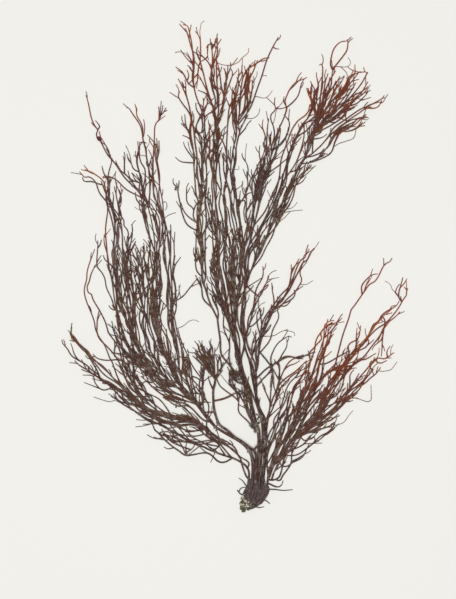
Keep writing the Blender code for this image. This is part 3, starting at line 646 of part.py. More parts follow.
def nearest(strands, point):
    """The strand and the index of its point that lie nearest to a place."""
    best = min(((s, i) for s in strands for i in range(len(s["path"]) - 1)),
               key=lambda pair: (pair[0]["path"][pair[1]] - point).length)
    return best


def strands_of(name, number, plan, earlier):
    """The strands of one spray, each with its path, radii, layer heights and the point it grows from."""
    spine = spine_of(plan["route"])
    last = len(spine) - 1
    length = last * SAMPLE
    made = []
    for k in range(plan["strands"]):
        draw = random.Random(f"{name} {number} {k}")
        slot = 2 * ((0.5 + k * GOLDEN) % 1) - 1
        wave = 0.10 if k == 0 else 0.22
        long_wave, short_wave = draw.uniform(16, 26), draw.uniform(6, 11)
        turn, twist = draw.uniform(0, math.tau), draw.uniform(0, math.tau)
        place = int((slot + 1) / 2 * plan["strands"])
        layer = LAYER * (place % 3 if plan["strands"] > 1 else draw.choice((0, 1, 2))) + draw.uniform(0, 0.05)
        root_share = draw.uniform(0.82, 0.93)
        end = last if k == 0 else round(last * draw.uniform(0.76, 1.0))
        fork = 0
        if k:
            share = (k * GOLDEN + 0.3) % 1
            fork = min(round(last * mix(*plan["forks"], share)), end - 2)
            fork = max(fork, 1)
        blend = max(4.0, 5 * plan["spread"]) if k else min(5.0, 0.5 * length)

        def own(i):
            share = i / last
            width = mix(plan["spread"], plan["flare"], smooth((share - 0.6) / 0.4)) * smooth(share / 0.12)
            drift = wave * (math.sin(math.tau * i * SAMPLE / long_wave + turn)
                            + 0.45 * math.sin(math.tau * i * SAMPLE / short_wave + twist))
            return spine[i] + sideways(spine, i) * (slot * width + drift)

        if k:
            mothers = [s for s in made if s["start"] <= max(0, fork - 1) and s["start"] + len(s["path"]) > fork + 3]
            mother = min(mothers or made[:1], key=lambda s: abs(s["slot"] - slot))
            fork = min(max(fork, mother["start"]), mother["start"] + len(mother["path"]) - 2)
            root = (mother, fork - mother["start"])
            path, heights = [], []
            for i in range(fork, end + 1):
                j = min(i - mother["start"], len(mother["path"]) - 1)
                share = smooth((i - fork) * SAMPLE / blend)
                path.append(mother["path"][j].lerp(own(i), share))
                heights.append(mix(mother["layers"][j], layer, share))
        else:
            root = nearest(earlier, spine[0]) if earlier else None
            shift = root[0]["path"][root[1]] - own(0) if root else Vector((0, 0))
            path, heights = [], []
            base = root[0]["layers"][root[1]] if root else layer
            for i in range(end + 1):
                share = smooth(i * SAMPLE / blend)
                path.append(own(i) + shift * (1 - share))
                heights.append(mix(base, layer, share))
        root_radius = plan["radius"]
        if root:
            root_radius = root_share * min(STEM_RADIUS, root[0]["radii"][root[1]])
        radii = []
        for i in range(len(path)):
            along = i / (len(path) - 1)
            if plan["radius"] > STEM_RADIUS and k == 0:
                along = min(1.0, i / (0.45 * len(path))) if length > 40 else along
                radii.append(mix(plan["radius"], TIP_RADIUS + 0.05, smooth(along)))
            else:
                radii.append(mix(root_radius, TIP_RADIUS, along))
        made.append({"start": fork, "slot": slot, "path": path, "layers": heights, "radii": radii, "root": root})
    return made


def straighten(strands):
    """Turns each strand, seen from above, into a few straight pieces, still rooted on its mother strand."""
    for s in strands:
        path = s["path"]
        if s["root"]:
            mother, at = s["root"]
            path[0] = mother["path"][at].copy()
        keep = thin_out(path, BEND_TOLERANCE)
        for first, last in zip(keep, keep[1:]):
            start, end = path[first].copy(), path[last].copy()
            for i in range(first, last + 1):
                path[i] = start.lerp(end, (i - first) / (last - first))


def raise_over(strands, height_map):
    """Sets each point's height so that it clears the fronds below, rises gently and meets its mother strand."""
    for s in strands:
        s["lift"] = []
        for point, radius in zip(s["path"], s["radii"]):
            column = int((point.x - MAP_LEFT) / CELL)
            row = int((point.y - MAP_LOW) / CELL)
            below = height_map[row, column]
            s["lift"].append(below + CLEARANCE + radius / 2 if below > 0 else radius / 2)
    moved = True
    while moved:
        moved = False
        for s in strands:
            lift = s["lift"]
            if s["root"]:
                mother, at = s["root"]
                top = max(lift[0], mother["lift"][at])
                if top - lift[0] > 1e-6 or top - mother["lift"][at] > 1e-6:
                    moved = True
                lift[0] = mother["lift"][at] = top
            for order in (range(1, len(lift)), range(len(lift) - 2, -1, -1)):
                for i in order:
                    before = lift[i - 1] if order.step > 0 else lift[i + 1]
                    if before - CLIMB * SAMPLE > lift[i] + 1e-6:
                        lift[i] = before - CLIMB * SAMPLE
                        moved = True
    for s in strands:
        s["height"] = [lift + layer for lift, layer in zip(s["lift"], s["layers"])]


def mark(strands, height_map):
    """Writes the tops of a laid frond into the height map, with room for a strand beside it."""
    for s in strands:
        halfway = [(a.lerp(b, 0.5), r, max(g, h)) for a, b, r, g, h in
                   zip(s["path"], s["path"][1:], s["radii"], s["height"], s["height"][1:])]
        for point, radius, height in list(zip(s["path"], s["radii"], s["height"])) + halfway:
            reach = 0.87 * (radius + STEM_RADIUS) + SIDE_GAP
            columns = range(int((point.x - reach - MAP_LEFT) / CELL), int((point.x + reach - MAP_LEFT) / CELL) + 1)
            rows = range(int((point.y - reach - MAP_LOW) / CELL), int((point.y + reach - MAP_LOW) / CELL) + 1)
            for row in rows:
                for column in columns:
                    away = math.hypot(MAP_LEFT + (column + 0.5) * CELL - point.x, MAP_LOW + (row + 0.5) * CELL - point.y)
                    if away < reach and height_map[row, column] < height + radius:
                        height_map[row, column] = height + radius


def lay_fronds():
    """Every frond's strands, with heights, in the order in which the fronds are laid."""
    height_map = np.zeros((int((MAP_HIGH - MAP_LOW) / CELL) + 2, int((MAP_RIGHT - MAP_LEFT) / CELL) + 2))
    laid = {}
    for name, sprays, _ in FRONDS:
        strands = []
        for number, plan in enumerate(sprays()):
            strands += strands_of(name, number, plan, strands)
        straighten(strands)
        raise_over(strands, height_map)
        mark(strands, height_map)
        laid[name] = strands
    return laid


def thin_out(points, tolerance):
    """The indices of the points that keep a line within the tolerance of all of them."""
    keep, spans = {0, len(points) - 1}, [(0, len(points) - 1)]
    while spans:
        first, last = spans.pop()
        if last - first < 2:
            continue
        chord = points[last] - points[first]
        worst, farthest = first, 0.0
        for i in range(first + 1, last):
            offset = points[i] - points[first]
            share = max(0.0, min(1.0, offset.dot(chord) / max(chord.length_squared, 1e-9)))
            away = (offset - chord * share).length
            if away > farthest:
                worst, farthest = i, away
        if farthest > tolerance:
            keep.add(worst)
            spans += [(first, worst), (worst, last)]
    return sorted(keep)


def material(name, colour, roughness):
    made = bpy.data.materials.new(name)
    made.use_nodes = True
    shader = made.node_tree.nodes["Principled BSDF"]
    shader.inputs["Base Color"].default_value = (*colour, 1)
    shader.inputs["Roughness"].default_value = roughness
    shader.inputs["Metallic"].default_value = 0
    return made


def triangle_profile():
    """The three-sided section of every strand: flat below, so that a strand lies on its side."""
    curve = bpy.data.curves.new("strand_section", "CURVE")
    curve.dimensions = "2D"
    line = curve.splines.new("POLY")
    line.points.add(2)
    for corner, point in enumerate(line.points):
        angle = math.radians(90 + 120 * corner)
        point.co = (MM * math.cos(angle), MM * math.sin(angle), 0, 1)
    line.use_cyclic_u = True
    profile = bpy.data.objects.new("strand_section", curve)
    profile.hide_render = True
    profile.display_type = "WIRE"
    bpy.context.scene.collection.objects.link(profile)
    return profile


def tube(name, points, radii, profile):
    """A closed tube through points in mm, as a mesh object that isn't linked yet."""
    curve = bpy.data.curves.new(name, "CURVE")
    curve.dimensions = "3D"
    curve.twist_mode = "Z_UP"
    curve.bevel_mode = "OBJECT"
    curve.bevel_object = profile
    curve.use_fill_caps = True
    line = curve.splines.new("POLY")
    line.points.add(len(points) - 1)
    for target, point, radius in zip(line.points, points, radii):
        target.co = (*(MM * v for v in point), 1)
        target.radius = radius
    holder = bpy.data.objects.new(name, curve)
    bpy.context.scene.collection.objects.link(holder)
    bpy.context.view_layer.update()
    mesh = bpy.data.meshes.new_from_object(holder.evaluated_get(bpy.context.evaluated_depsgraph_get()))
    bpy.data.objects.remove(holder)
    shape = bmesh.new()
    shape.from_mesh(mesh)
    bmesh.ops.remove_doubles(shape, verts=shape.verts, dist=1e-7)
    bmesh.ops.recalc_face_normals(shape, faces=shape.faces)
    bmesh.ops.triangulate(shape, faces=shape.faces)
    shape.to_mesh(mesh)
    shape.free()
    return bpy.data.objects.new(name, mesh)


def keep_largest(mesh):
    """Drops the loose scraps and sealed bubbles that a union can leave, and joins its flat facets."""
    shape = bmesh.new()
    shape.from_mesh(mesh)
    unseen, islands = set(shape.verts), []
    while unseen:
        stack, island = [unseen.pop()], []
        while stack:
            vertex = stack.pop()
            island.append(vertex)
            for edge in vertex.link_edges:
                other = edge.other_vert(vertex)
                if other in unseen:
                    unseen.remove(other)
                    stack.append(other)
        islands.append(island)
    islands.sort(key=len)
    for island in islands[:-1]:
        bmesh.ops.delete(shape, geom=island, context="VERTS")
    for angle in (1.5, 1.0, 0.6, 0.3, 0.1):
        joined = shape.copy()
        bmesh.ops.dissolve_limit(joined, angle_limit=math.radians(angle), verts=joined.verts, edges=joined.edges)
        bmesh.ops.triangulate(joined, faces=joined.faces)
        if all(len(edge.link_faces) == 2 for edge in joined.edges):
            joined.to_mesh(mesh)
            joined.free()
            break
        joined.free()
    else:
        shape.to_mesh(mesh)
    shape.free()


def fuse(name, pieces):
    """One solid from overlapping pieces, by one Boolean union on a collection."""
    base, others = pieces[0], pieces[1:]
    group = bpy.data.collections.new(name + "_pieces")
    bpy.context.scene.collection.children.link(group)
    for piece in others:
        group.objects.link(piece)
    base.name = name
    bpy.context.scene.collection.objects.link(base)
    union = base.modifiers.new("fused", "BOOLEAN")
    union.operation = "UNION"
    union.operand_type = "COLLECTION"
    union.collection = group
    union.solver = "MANIFOLD"
    bpy.context.view_layer.update()
    mesh = bpy.data.meshes.new_from_object(base.evaluated_get(bpy.context.evaluated_depsgraph_get()))
    base.modifiers.clear()
    base.data = mesh
    for piece in others:
        bpy.data.objects.remove(piece)
    bpy.data.collections.remove(group)
    keep_largest(mesh)
    mesh.name = name
    return base


def make_frond(name, strands, colour, profile):
    """A frond: each strand a tapering three-sided tube, sunk into its mother strand, all fused."""
    pieces = []
    for number, s in enumerate(strands):
        points = [Vector((p.x, p.y, z)) for p, z in zip(s["path"], s["height"])]
        keep = thin_out(points, RISE_TOLERANCE)
        pieces.append(tube(f"{name}_{number}", [points[i] for i in keep], [s["radii"][i] for i in keep], profile))
    frond = fuse(name, pieces)
    frond.data.materials.clear()
    frond.data.materials.append(material(name, colour, 0.55))
    return frond


def make_holdfast(profile):
    """The fist-like foot: a rounded block on its outline, with ribs and rhizoids fused on."""
    block = bmesh.new()
    middle = Vector((sum(x for x, _ in HOLDFAST_OUTLINE), sum(y for _, y in HOLDFAST_OUTLINE))) / len(HOLDFAST_OUTLINE)
    rings = []
    for height, scale in HOLDFAST_LEVELS:
        ring = []
        for corner in HOLDFAST_OUTLINE:
            place = middle.lerp(Vector(corner), scale)
            ring.append(block.verts.new((place.x * MM, place.y * MM, height * MM)))
        rings.append(ring)
    for low, high in zip(rings, rings[1:]):
        for i in range(len(low)):
            j = (i + 1) % len(low)
            block.faces.new((low[i], low[j], high[j], high[i]))
    block.faces.new(list(reversed(rings[0])))
    block.faces.new(rings[-1])
    bmesh.ops.recalc_face_normals(block, faces=block.faces)
    bmesh.ops.triangulate(block, faces=block.faces)
    mesh = bpy.data.meshes.new("holdfast")
    block.to_mesh(mesh)
    block.free()
    pieces = [bpy.data.objects.new("holdfast", mesh)]
    for number, route in enumerate(HOLDFAST_RIBS):
        points = [Vector(p) for p in route]
        pieces.append(tube(f"rib_{number}", points, [0.42] * len(points), profile))
    for number, route in enumerate(RHIZOIDS):
        points = [Vector(p) for p in route]
        radii = [mix(0.28, 0.18, i / (len(points) - 1)) for i in range(len(points))]
        pieces.append(tube(f"rhizoid_{number}", points, radii, profile))
    holdfast = fuse("holdfast", pieces)
    holdfast.data.materials.clear()
    holdfast.data.materials.append(material("holdfast", (0.050, 0.040, 0.036), 0.7))
    return holdfast


def make_grit():
    """The pale crust on the holdfast's lower left: a heart of lumps with smaller grains set into it."""
    draw = random.Random("grit")
    lumps = [(Vector(place), draw.uniform(0.62, 0.78)) for place in GRIT_HEART]
    for _ in range(GRIT_GRAINS):
        centre, size = draw.choice(lumps[:len(GRIT_HEART)])
        turn, rise = draw.uniform(0, math.tau), draw.uniform(0.1, 0.8)
        out = Vector((math.cos(turn) * math.cos(rise), math.sin(turn) * math.cos(rise), math.sin(rise)))
        lumps.append((centre + out * size * 0.85, draw.uniform(0.24, 0.38)))
    pieces = []
    for number, (centre, size) in enumerate(lumps):
        lump = bmesh.new()
        bmesh.ops.create_icosphere(lump, subdivisions=1, radius=size * MM)
        for vertex in lump.verts:
            vertex.co *= draw.uniform(0.88, 1.1)
            vertex.co += centre * MM
        mesh = bpy.data.meshes.new(f"lump_{number}")
        lump.to_mesh(mesh)
        lump.free()
        pieces.append(bpy.data.objects.new(f"lump_{number}", mesh))
    grit = fuse("encrusting_grit", pieces)
    grit.data.materials.clear()
    grit.data.materials.append(material("encrusting_grit", (0.42, 0.40, 0.30), 0.9))
    return grit


def main():
    for obj in list(bpy.data.objects):
        bpy.data.objects.remove(obj)
    profile = triangle_profile()
    laid = lay_fronds()
    make_holdfast(profile)
    make_grit()
    for name, _, colour in FRONDS:
        make_frond(name, laid[name], colour, profile)


if __name__ == "__main__":
    main()
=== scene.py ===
# %% [markdown]
# # A pressed tuft of wiry red seaweed
# The real thing is a plant about 131 mm long that grew from a holdfast the size of a pea. It was floated out,
# pressed flat and dried, so its stems lie over each other in bundles, no more than a few millimetres deep.
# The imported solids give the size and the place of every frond. This script grows a finer frond over each.

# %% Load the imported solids
import math
import random

import bmesh
import bpy
import numpy as np
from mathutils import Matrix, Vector
from mathutils.bvhtree import BVHTree


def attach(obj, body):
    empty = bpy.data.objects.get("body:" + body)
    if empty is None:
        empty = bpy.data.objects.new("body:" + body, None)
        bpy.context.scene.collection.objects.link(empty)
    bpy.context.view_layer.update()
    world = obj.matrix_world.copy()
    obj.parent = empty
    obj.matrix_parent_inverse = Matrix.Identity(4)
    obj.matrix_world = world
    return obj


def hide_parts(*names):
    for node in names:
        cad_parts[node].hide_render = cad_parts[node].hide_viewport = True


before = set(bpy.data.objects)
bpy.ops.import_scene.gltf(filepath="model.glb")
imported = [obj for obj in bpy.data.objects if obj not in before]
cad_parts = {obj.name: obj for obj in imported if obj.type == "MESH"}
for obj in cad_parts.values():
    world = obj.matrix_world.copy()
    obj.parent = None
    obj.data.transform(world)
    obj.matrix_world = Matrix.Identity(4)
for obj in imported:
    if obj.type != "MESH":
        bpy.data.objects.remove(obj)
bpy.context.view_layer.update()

MM = 0.001

# %% [markdown]
# ## The sizes of a strand
# A strand is a round, wiry branch about half a millimetre thick. It thins little by little to a blunt tip,
# and its side twigs are thinner again. The stem of the tall left frond is twice as thick as the rest.

# %% Sizes, in millimetres
STEM_RADIUS = 0.28
THIN_RADIUS = 0.19
LONE_RADIUS = 0.23
TIP_RADIUS = 0.11
TIP_LENGTH = 3.0
LEFT_STEM_RADIUS = 0.55
TUFT_STALK_RADIUS = 0.40
HAIR_RADIUS = 0.09
print("strands are", 2 * STEM_RADIUS, "mm thick at the root and", 2 * THIN_RADIUS, "mm near the tip")

# %% [markdown]
# ## Routes
# Each frond is a list of sprays. A spray is a route that was picked, the number of strands that follow
# it, how far they spread to each side, how far they flare at the tips, and where along it they fork. Many
# strands need room side by side, so a full spray is also given a least width. A lone strand is a spray of
# one, and a hair is a lone strand that is much thinner and grows no twigs.

# %% Sprays, lone strands and hairs
FULLNESS = 1.1
ROOMINESS = 1.3
WIDTH_EACH = 0.21
FORKS = (0.05, 0.45)
SHORTEST = 0.6
THICK_SHARE = 0.45
TWIGS_A_MM = 0.03
LONE_TWIGS_A_MM = 0.025


def spray(strands, spread, flare, route, radius=STEM_RADIUS, forks=FORKS, shortest=SHORTEST,
          thick=THICK_SHARE):
    """A spray of strands on one route, with its half widths, the stretch where they fork, the share that its
    shortest strand reaches and the share over which a thick stem thins."""
    strands = round(strands * FULLNESS) if strands > 1 else 1
    spread, flare = ROOMINESS * spread, ROOMINESS * flare
    if strands > 2:
        spread, flare = max(spread, WIDTH_EACH * strands), max(flare, WIDTH_EACH * strands)
    return {"strands": strands, "spread": spread, "flare": flare, "route": route, "radius": radius,
            "forks": forks, "shortest": shortest, "thick": thick,
            "thin": THIN_RADIUS if strands > 1 else LONE_RADIUS,
            "twigs": TWIGS_A_MM if strands > 1 else LONE_TWIGS_A_MM}


def lone(*route, radius=STEM_RADIUS, thick=THICK_SHARE):
    """A single strand."""
    return spray(1, 0, 0, list(route), radius, thick=thick)


def hair(*route):
    """A thread-thin strand with no twigs."""
    return {**lone(*route, radius=HAIR_RADIUS), "twigs": 0}


print("a spray drawn with 5 strands grows", spray(5, 1, 1, [])["strands"])


# %% [markdown]
# ## The right frond
# The widest frond leaves the holdfast low on the right and splits into four bands that fan out like a hand.
# Long single strands run out of it to the right edge. It is drawn band by band, the densest first, so that
# each later band forks off one that is there already.

# %% The right frond
RIGHT_FROND = [
    spray(6, 1.1, 1.5, [(4.5, 4.6), (5, 7), (6.3, 9.5), (9.8, 14.1), (13.8, 18.1), (17.8, 21.5),
        (21, 25.5)], forks=(0.1, 0.5)),
    spray(6, 0.9, 0.3, [(8.3, 12.3), (10.9, 18.6), (12.8, 24), (16, 31.7), (18.2, 38.4), (19, 40.4),
        (19.4, 42.3), (20.5, 45.7), (21.2, 46.7), (23.6, 47),
        (24.5, 47.7)], forks=(0.05, 0.35), shortest=0.4),
    spray(5, 1, 0.25, [(10.6, 15), (14.2, 21.5), (17.5, 29.8), (20.2, 33.7), (22, 34.9), (24, 35.6),
        (25.7, 36.8), (30, 41.6), (32.3, 45.3), (33.2, 47.2), (34.5, 48.1), (35.6, 49.8), (38.3, 52.9),
        (38.9, 54.1)], forks=(0.05, 0.3), shortest=0.25),
    spray(6, 1.3, 0.7, [(14, 18.3), (16.2, 21), (19.7, 26.6), (24, 34), (25.3, 36),
        (29, 39.2)], shortest=0.45),
    spray(4, 0.6, 0.4, [(17, 20.9), (21.3, 23.7), (24.7, 27.3), (31.5, 35.6), (34.3, 38.2), (35.8, 38.2),
        (38.3, 40.1)], shortest=0.4),
    spray(3, 0.35, 0.3, [(16.3, 20), (18.5, 20.6), (20.7, 21.7), (24.5, 25), (27.7, 29), (29.3, 30.7),
        (33, 36.6), (33.8, 38.3)]),
    spray(2, 0.25, 0.2, [(25, 36), (27, 36.2), (28.7, 37), (32, 40.2), (35, 44.2), (36, 46.4), (39.5, 51.5),
        (40.9, 54.2), (41.6, 55.3), (41.6, 56.2), (41, 57)]),
    lone((40.6, 53.8), (39.8, 55), (40.1, 57), (41, 59.9)),
    lone((38.8, 53.9), (39, 56), (39.6, 57.6), (40.1, 58.2)),
    spray(2, 0.2, 0.2, [(31, 43), (32.5, 44.7), (36, 47.7), (39.4, 51.5)]),
    spray(2, 0.15, 0.2, [(35.5, 49.7), (36.3, 49.1), (36.4, 47.7), (36, 46.3), (34.3, 39)]),
    spray(2, 0.3, 0.3, [(28.8, 39.3), (32, 41.6), (32.8, 42.8), (32.8, 44.2)]),
    lone((30, 38), (31.5, 38.1), (33.9, 39.4)),
    lone((34.2, 38.1), (34.2, 37.3), (35.2, 37), (36.7, 37.7)),
    lone((36.5, 38.6), (36.8, 40), (37.6, 41.5)),
    lone((29.8, 31.2), (31, 31.5), (32, 32.7), (34, 34.2), (35.2, 35.6)),
    lone((22.1, 35), (22.8, 36.7), (26.4, 48.7), (27, 51), (28.5, 53), (31, 56.8), (32, 58.1), (33.4, 58.8),
         (34.6, 60.2), (36.2, 63.2), (37.5, 64), (38.2, 65)),
    lone((29.9, 55.1), (30, 57.6), (32.5, 60.4), (34.3, 60.9)),
    lone((30.3, 55.8), (31.2, 57.5), (32.2, 59.7)),
    lone((26.3, 37.5), (26.4, 39.5), (26.3, 41.4), (27.2, 42.6), (28.5, 43.1), (29.3, 44.5), (29.7, 46.9)),
    lone((27.8, 40.2), (28.6, 42.3), (28.9, 46.3)),
    lone((18.5, 36.3), (20.8, 36.8), (26.5, 40.1)),
    spray(3, 0.5, 0.6, [(6.2, 9.6), (9.2, 19), (11.3, 28), (16.6, 38)]),
    lone((11.3, 28), (11.9, 30.5), (14.6, 34.4)),
    lone((15, 35.2), (16.2, 37.2), (15.9, 39.4), (17, 40.8), (18.5, 42.5), (19.2, 43.6), (18.8, 44.8),
         (19.5, 46.1), (20.3, 46.8), (20.9, 48.6)),
    spray(2, 0.2, 0.3, [(19.8, 43.2), (23.9, 48.2), (25.3, 49.7)]),
    lone((19.2, 40.5), (21, 42.2), (21.3, 43.4), (21.8, 44.3)),
    lone((18.4, 38), (19.7, 38.1), (20.8, 38.8), (21.9, 40)),
    spray(3, 0.4, 0.5, [(5, 7), (4.4, 17), (4.9, 23), (6.6, 28.3), (8.7, 31.8), (15.4, 37.2)]),
    spray(3, 0.4, 0.5, [(4.8, 11), (5.2, 15), (6, 18), (9, 26.8), (9.6, 29.3), (10.7, 31.6), (12.3, 33),
        (13.7, 33.8), (15.2, 35.2)]),
    spray(2, 0.3, 0.4, [(4.5, 16), (5.8, 19), (9, 24), (10.2, 27)]),
    spray(2, 0.3, 0.4, [(4.6, 13), (5.6, 15.4), (9, 20.6), (11.3, 25.6)]),
    lone((8, 31), (8.6, 33.5), (9.5, 35.7), (11, 37.5), (12.8, 38.2), (14.5, 38.4)),
    lone((9, 35), (10.3, 36.2), (12, 36.7), (13.4, 37.5)),
    lone((4.8, 22.5), (5.5, 29), (6.1, 34), (5.9, 36)),
    lone((5.3, 26.4), (4.3, 28.7), (3.3, 31)),
    lone((7.2, 29.3), (7.9, 33), (7.8, 35), (7.2, 37.2)),
    spray(2, 0.15, 0.4, [(8.6, 12.4), (10.2, 11.9), (12, 11.9), (14, 12.8), (17, 15.4), (18.5, 16.3),
        (20.2, 17.6), (22.3, 19.2), (21.9, 20.2), (22.8, 20.7)]),
    lone((7.6, 11.2), (9, 9.3), (10.4, 9.4), (11.6, 10.2), (13.2, 10.8), (14.6, 12), (16, 15.2)),
    lone((13.2, 17.5), (14.2, 16), (16.2, 16.3), (17.3, 17)),
    spray(2, 0.2, 0.3, [(13.6, 17.9), (14.8, 18.3), (17, 18.6), (20.5, 19.9), (22, 20)]),
    lone((19.7, 20.9), (21.6, 21.4), (23.6, 23.3)),
    spray(2, 0.2, 0.4, [(23.5, 25.8), (25, 26.8), (28.8, 26.2)]),
    spray(2, 0.2, 0.2, [(5, 5.4), (6.3, 5.3), (7.7, 6), (8.4, 7.6), (10.2, 13.9)]),
    lone((6.6, 5.3), (8, 5), (8.9, 6.6), (10.8, 9.6), (11.1, 11.3), (11.4, 15.4)),
    lone((5.3, 5.6), (6, 7), (7.5, 10.3)),
    spray(2, 0.3, 0.3, [(21.9, 26.3), (23.6, 27.5), (24.3, 30), (25.8, 35.5)]),
    lone((26.5, 29.5), (26.9, 32), (27, 33.7), (27.9, 35)),
    spray(3, 0.35, 0.4, [(20, 24.5), (22, 25.6), (23.7, 27.4), (25.2, 28.4), (26.3, 29.6)]),
    spray(3, 0.6, 0.6, [(24.6, 33), (26.6, 35), (28.4, 37)]),
    spray(3, 0.7, 0.7, [(9.4, 16.6), (10.8, 19.4), (13, 25.4)]),
    spray(3, 0.6, 0.6, [(25, 36.8), (29, 41.4), (31, 43.6)]),
    spray(2, 0.5, 0.5, [(6.2, 24), (7, 27), (7.8, 30)]),
    spray(3, 0.8, 0.9, [(13.4, 22), (17.6, 28), (19.4, 31)]),
    spray(2, 0.5, 0.5, [(5.6, 15.6), (6.6, 18), (8, 23.4)]),
    spray(6, 1.4, 1.6, [(15.5, 27.5), (19, 32.5), (22.2, 37.4)]),
    spray(5, 1.2, 1.4, [(19, 28), (21.4, 31), (25.6, 37), (27.4, 40)]),
    spray(4, 1, 1.2, [(22.5, 30), (24.6, 33), (28, 38.8)]),
    spray(4, 0.9, 0.9, [(18.5, 21), (23.6, 25), (28.2, 29.6)]),
    spray(4, 0.8, 0.9, [(9.5, 15.5), (12.8, 21.8), (14, 25)]),
    spray(3, 0.7, 0.7, [(14, 17.6), (19, 20), (21.4, 21.6)]),
    spray(3, 0.6, 0.6, [(4.4, 6), (5.2, 8.4), (6.4, 10.6), (9.4, 14.6)]),
    lone((4.6, 5), (5.4, 7.6), (8, 11.4)),
    lone((3.9, 8.5), (4.2, 11), (6, 16), (7.2, 18)),
    spray(3, 0.6, 0.6, [(7.5, 12), (12.6, 22.8), (14, 26)]),
    spray(2, 0.4, 0.4, [(11, 13), (15.4, 15.6), (17.6, 17.4)]),
    lone((4.8, 4.2), (7.6, 3.6), (8.6, 4.2), (9, 5.2)),
    spray(5, 0.9, 0.8, [(11, 15.6), (19.6, 21.6), (22, 24)]),
    spray(4, 0.7, 0.6, [(5, 9), (7.4, 16), (9.2, 22.5)]),
    spray(4, 0.7, 0.6, [(12.4, 23), (14.8, 31), (15.8, 34.5)]),
    spray(5, 1, 0.9, [(13, 18), (18.4, 23), (20.6, 26), (22.4, 29.4)]),
    spray(8, 1.1, 1, [(8.2, 12.8), (10.5, 15.8), (18, 24), (22.3, 29.8)]),
    spray(4, 0.8, 0.7, [(7.4, 13), (11, 20), (12.6, 23.4)]),
    lone((40.4, 53.6), (40.5, 54.8)),
    lone((32.5, 35.8), (33, 34.3), (33.1, 33.4)),
    lone((35.8, 49.6), (35.3, 48.6), (35.7, 48)),
    lone((19.6, 36.9), (19.9, 38.5), (19.6, 40)),
    lone((10.9, 10.5), (12.4, 11), (14, 11.9), (15, 13)),
    lone((17.5, 16.2), (17.3, 16.9)),
    lone((26.1, 28.5), (26.5, 31.3)),
    lone((5.1, 4.8), (5.5, 7), (6.3, 9)),
    spray(2, 0.3, 0.3, [(4.2, 6.2), (10.2, 14.8), (12, 16.8)]),
    spray(2, 0.3, 0.3, [(4, 7.6), (7.6, 11.4), (13, 18.5)]),
    lone((4.4, 9.6), (6.8, 13.6), (9.4, 16.8)),
    lone((4.3, 8.2), (5.4, 8.6), (7.6, 10.8)),
    lone((5.6, 4.8), (6.3, 7), (8.6, 11.5), (9.6, 14)),
    hair((38.8, 54.1), (38, 57.8), (36.3, 58.9)),
    hair((37.4, 39.4), (38, 40.5), (38.6, 41.8)),
    hair((35, 35.3), (36, 35), (38, 35.1), (39.6, 37.1)),
    hair((22.6, 20.4), (25, 21), (26.5, 23), (27.6, 24.1)),
    hair((28.6, 26.3), (31, 26.4), (32.4, 27), (32.5, 31)),
    hair((17.3, 15.7), (18.5, 15.7)),
    hair((8.5, 31.8), (8.9, 29.7), (9.9, 26.9)),
]
print("the right frond has", len(RIGHT_FROND), "sprays")

# %% [markdown]
# ## The low left frond
# Two thin stems arch over to the left and meet in a dense, dark core, whose end is splayed. Its longest
# strands turn upwards and run alone along the outer left edge of the tuft.

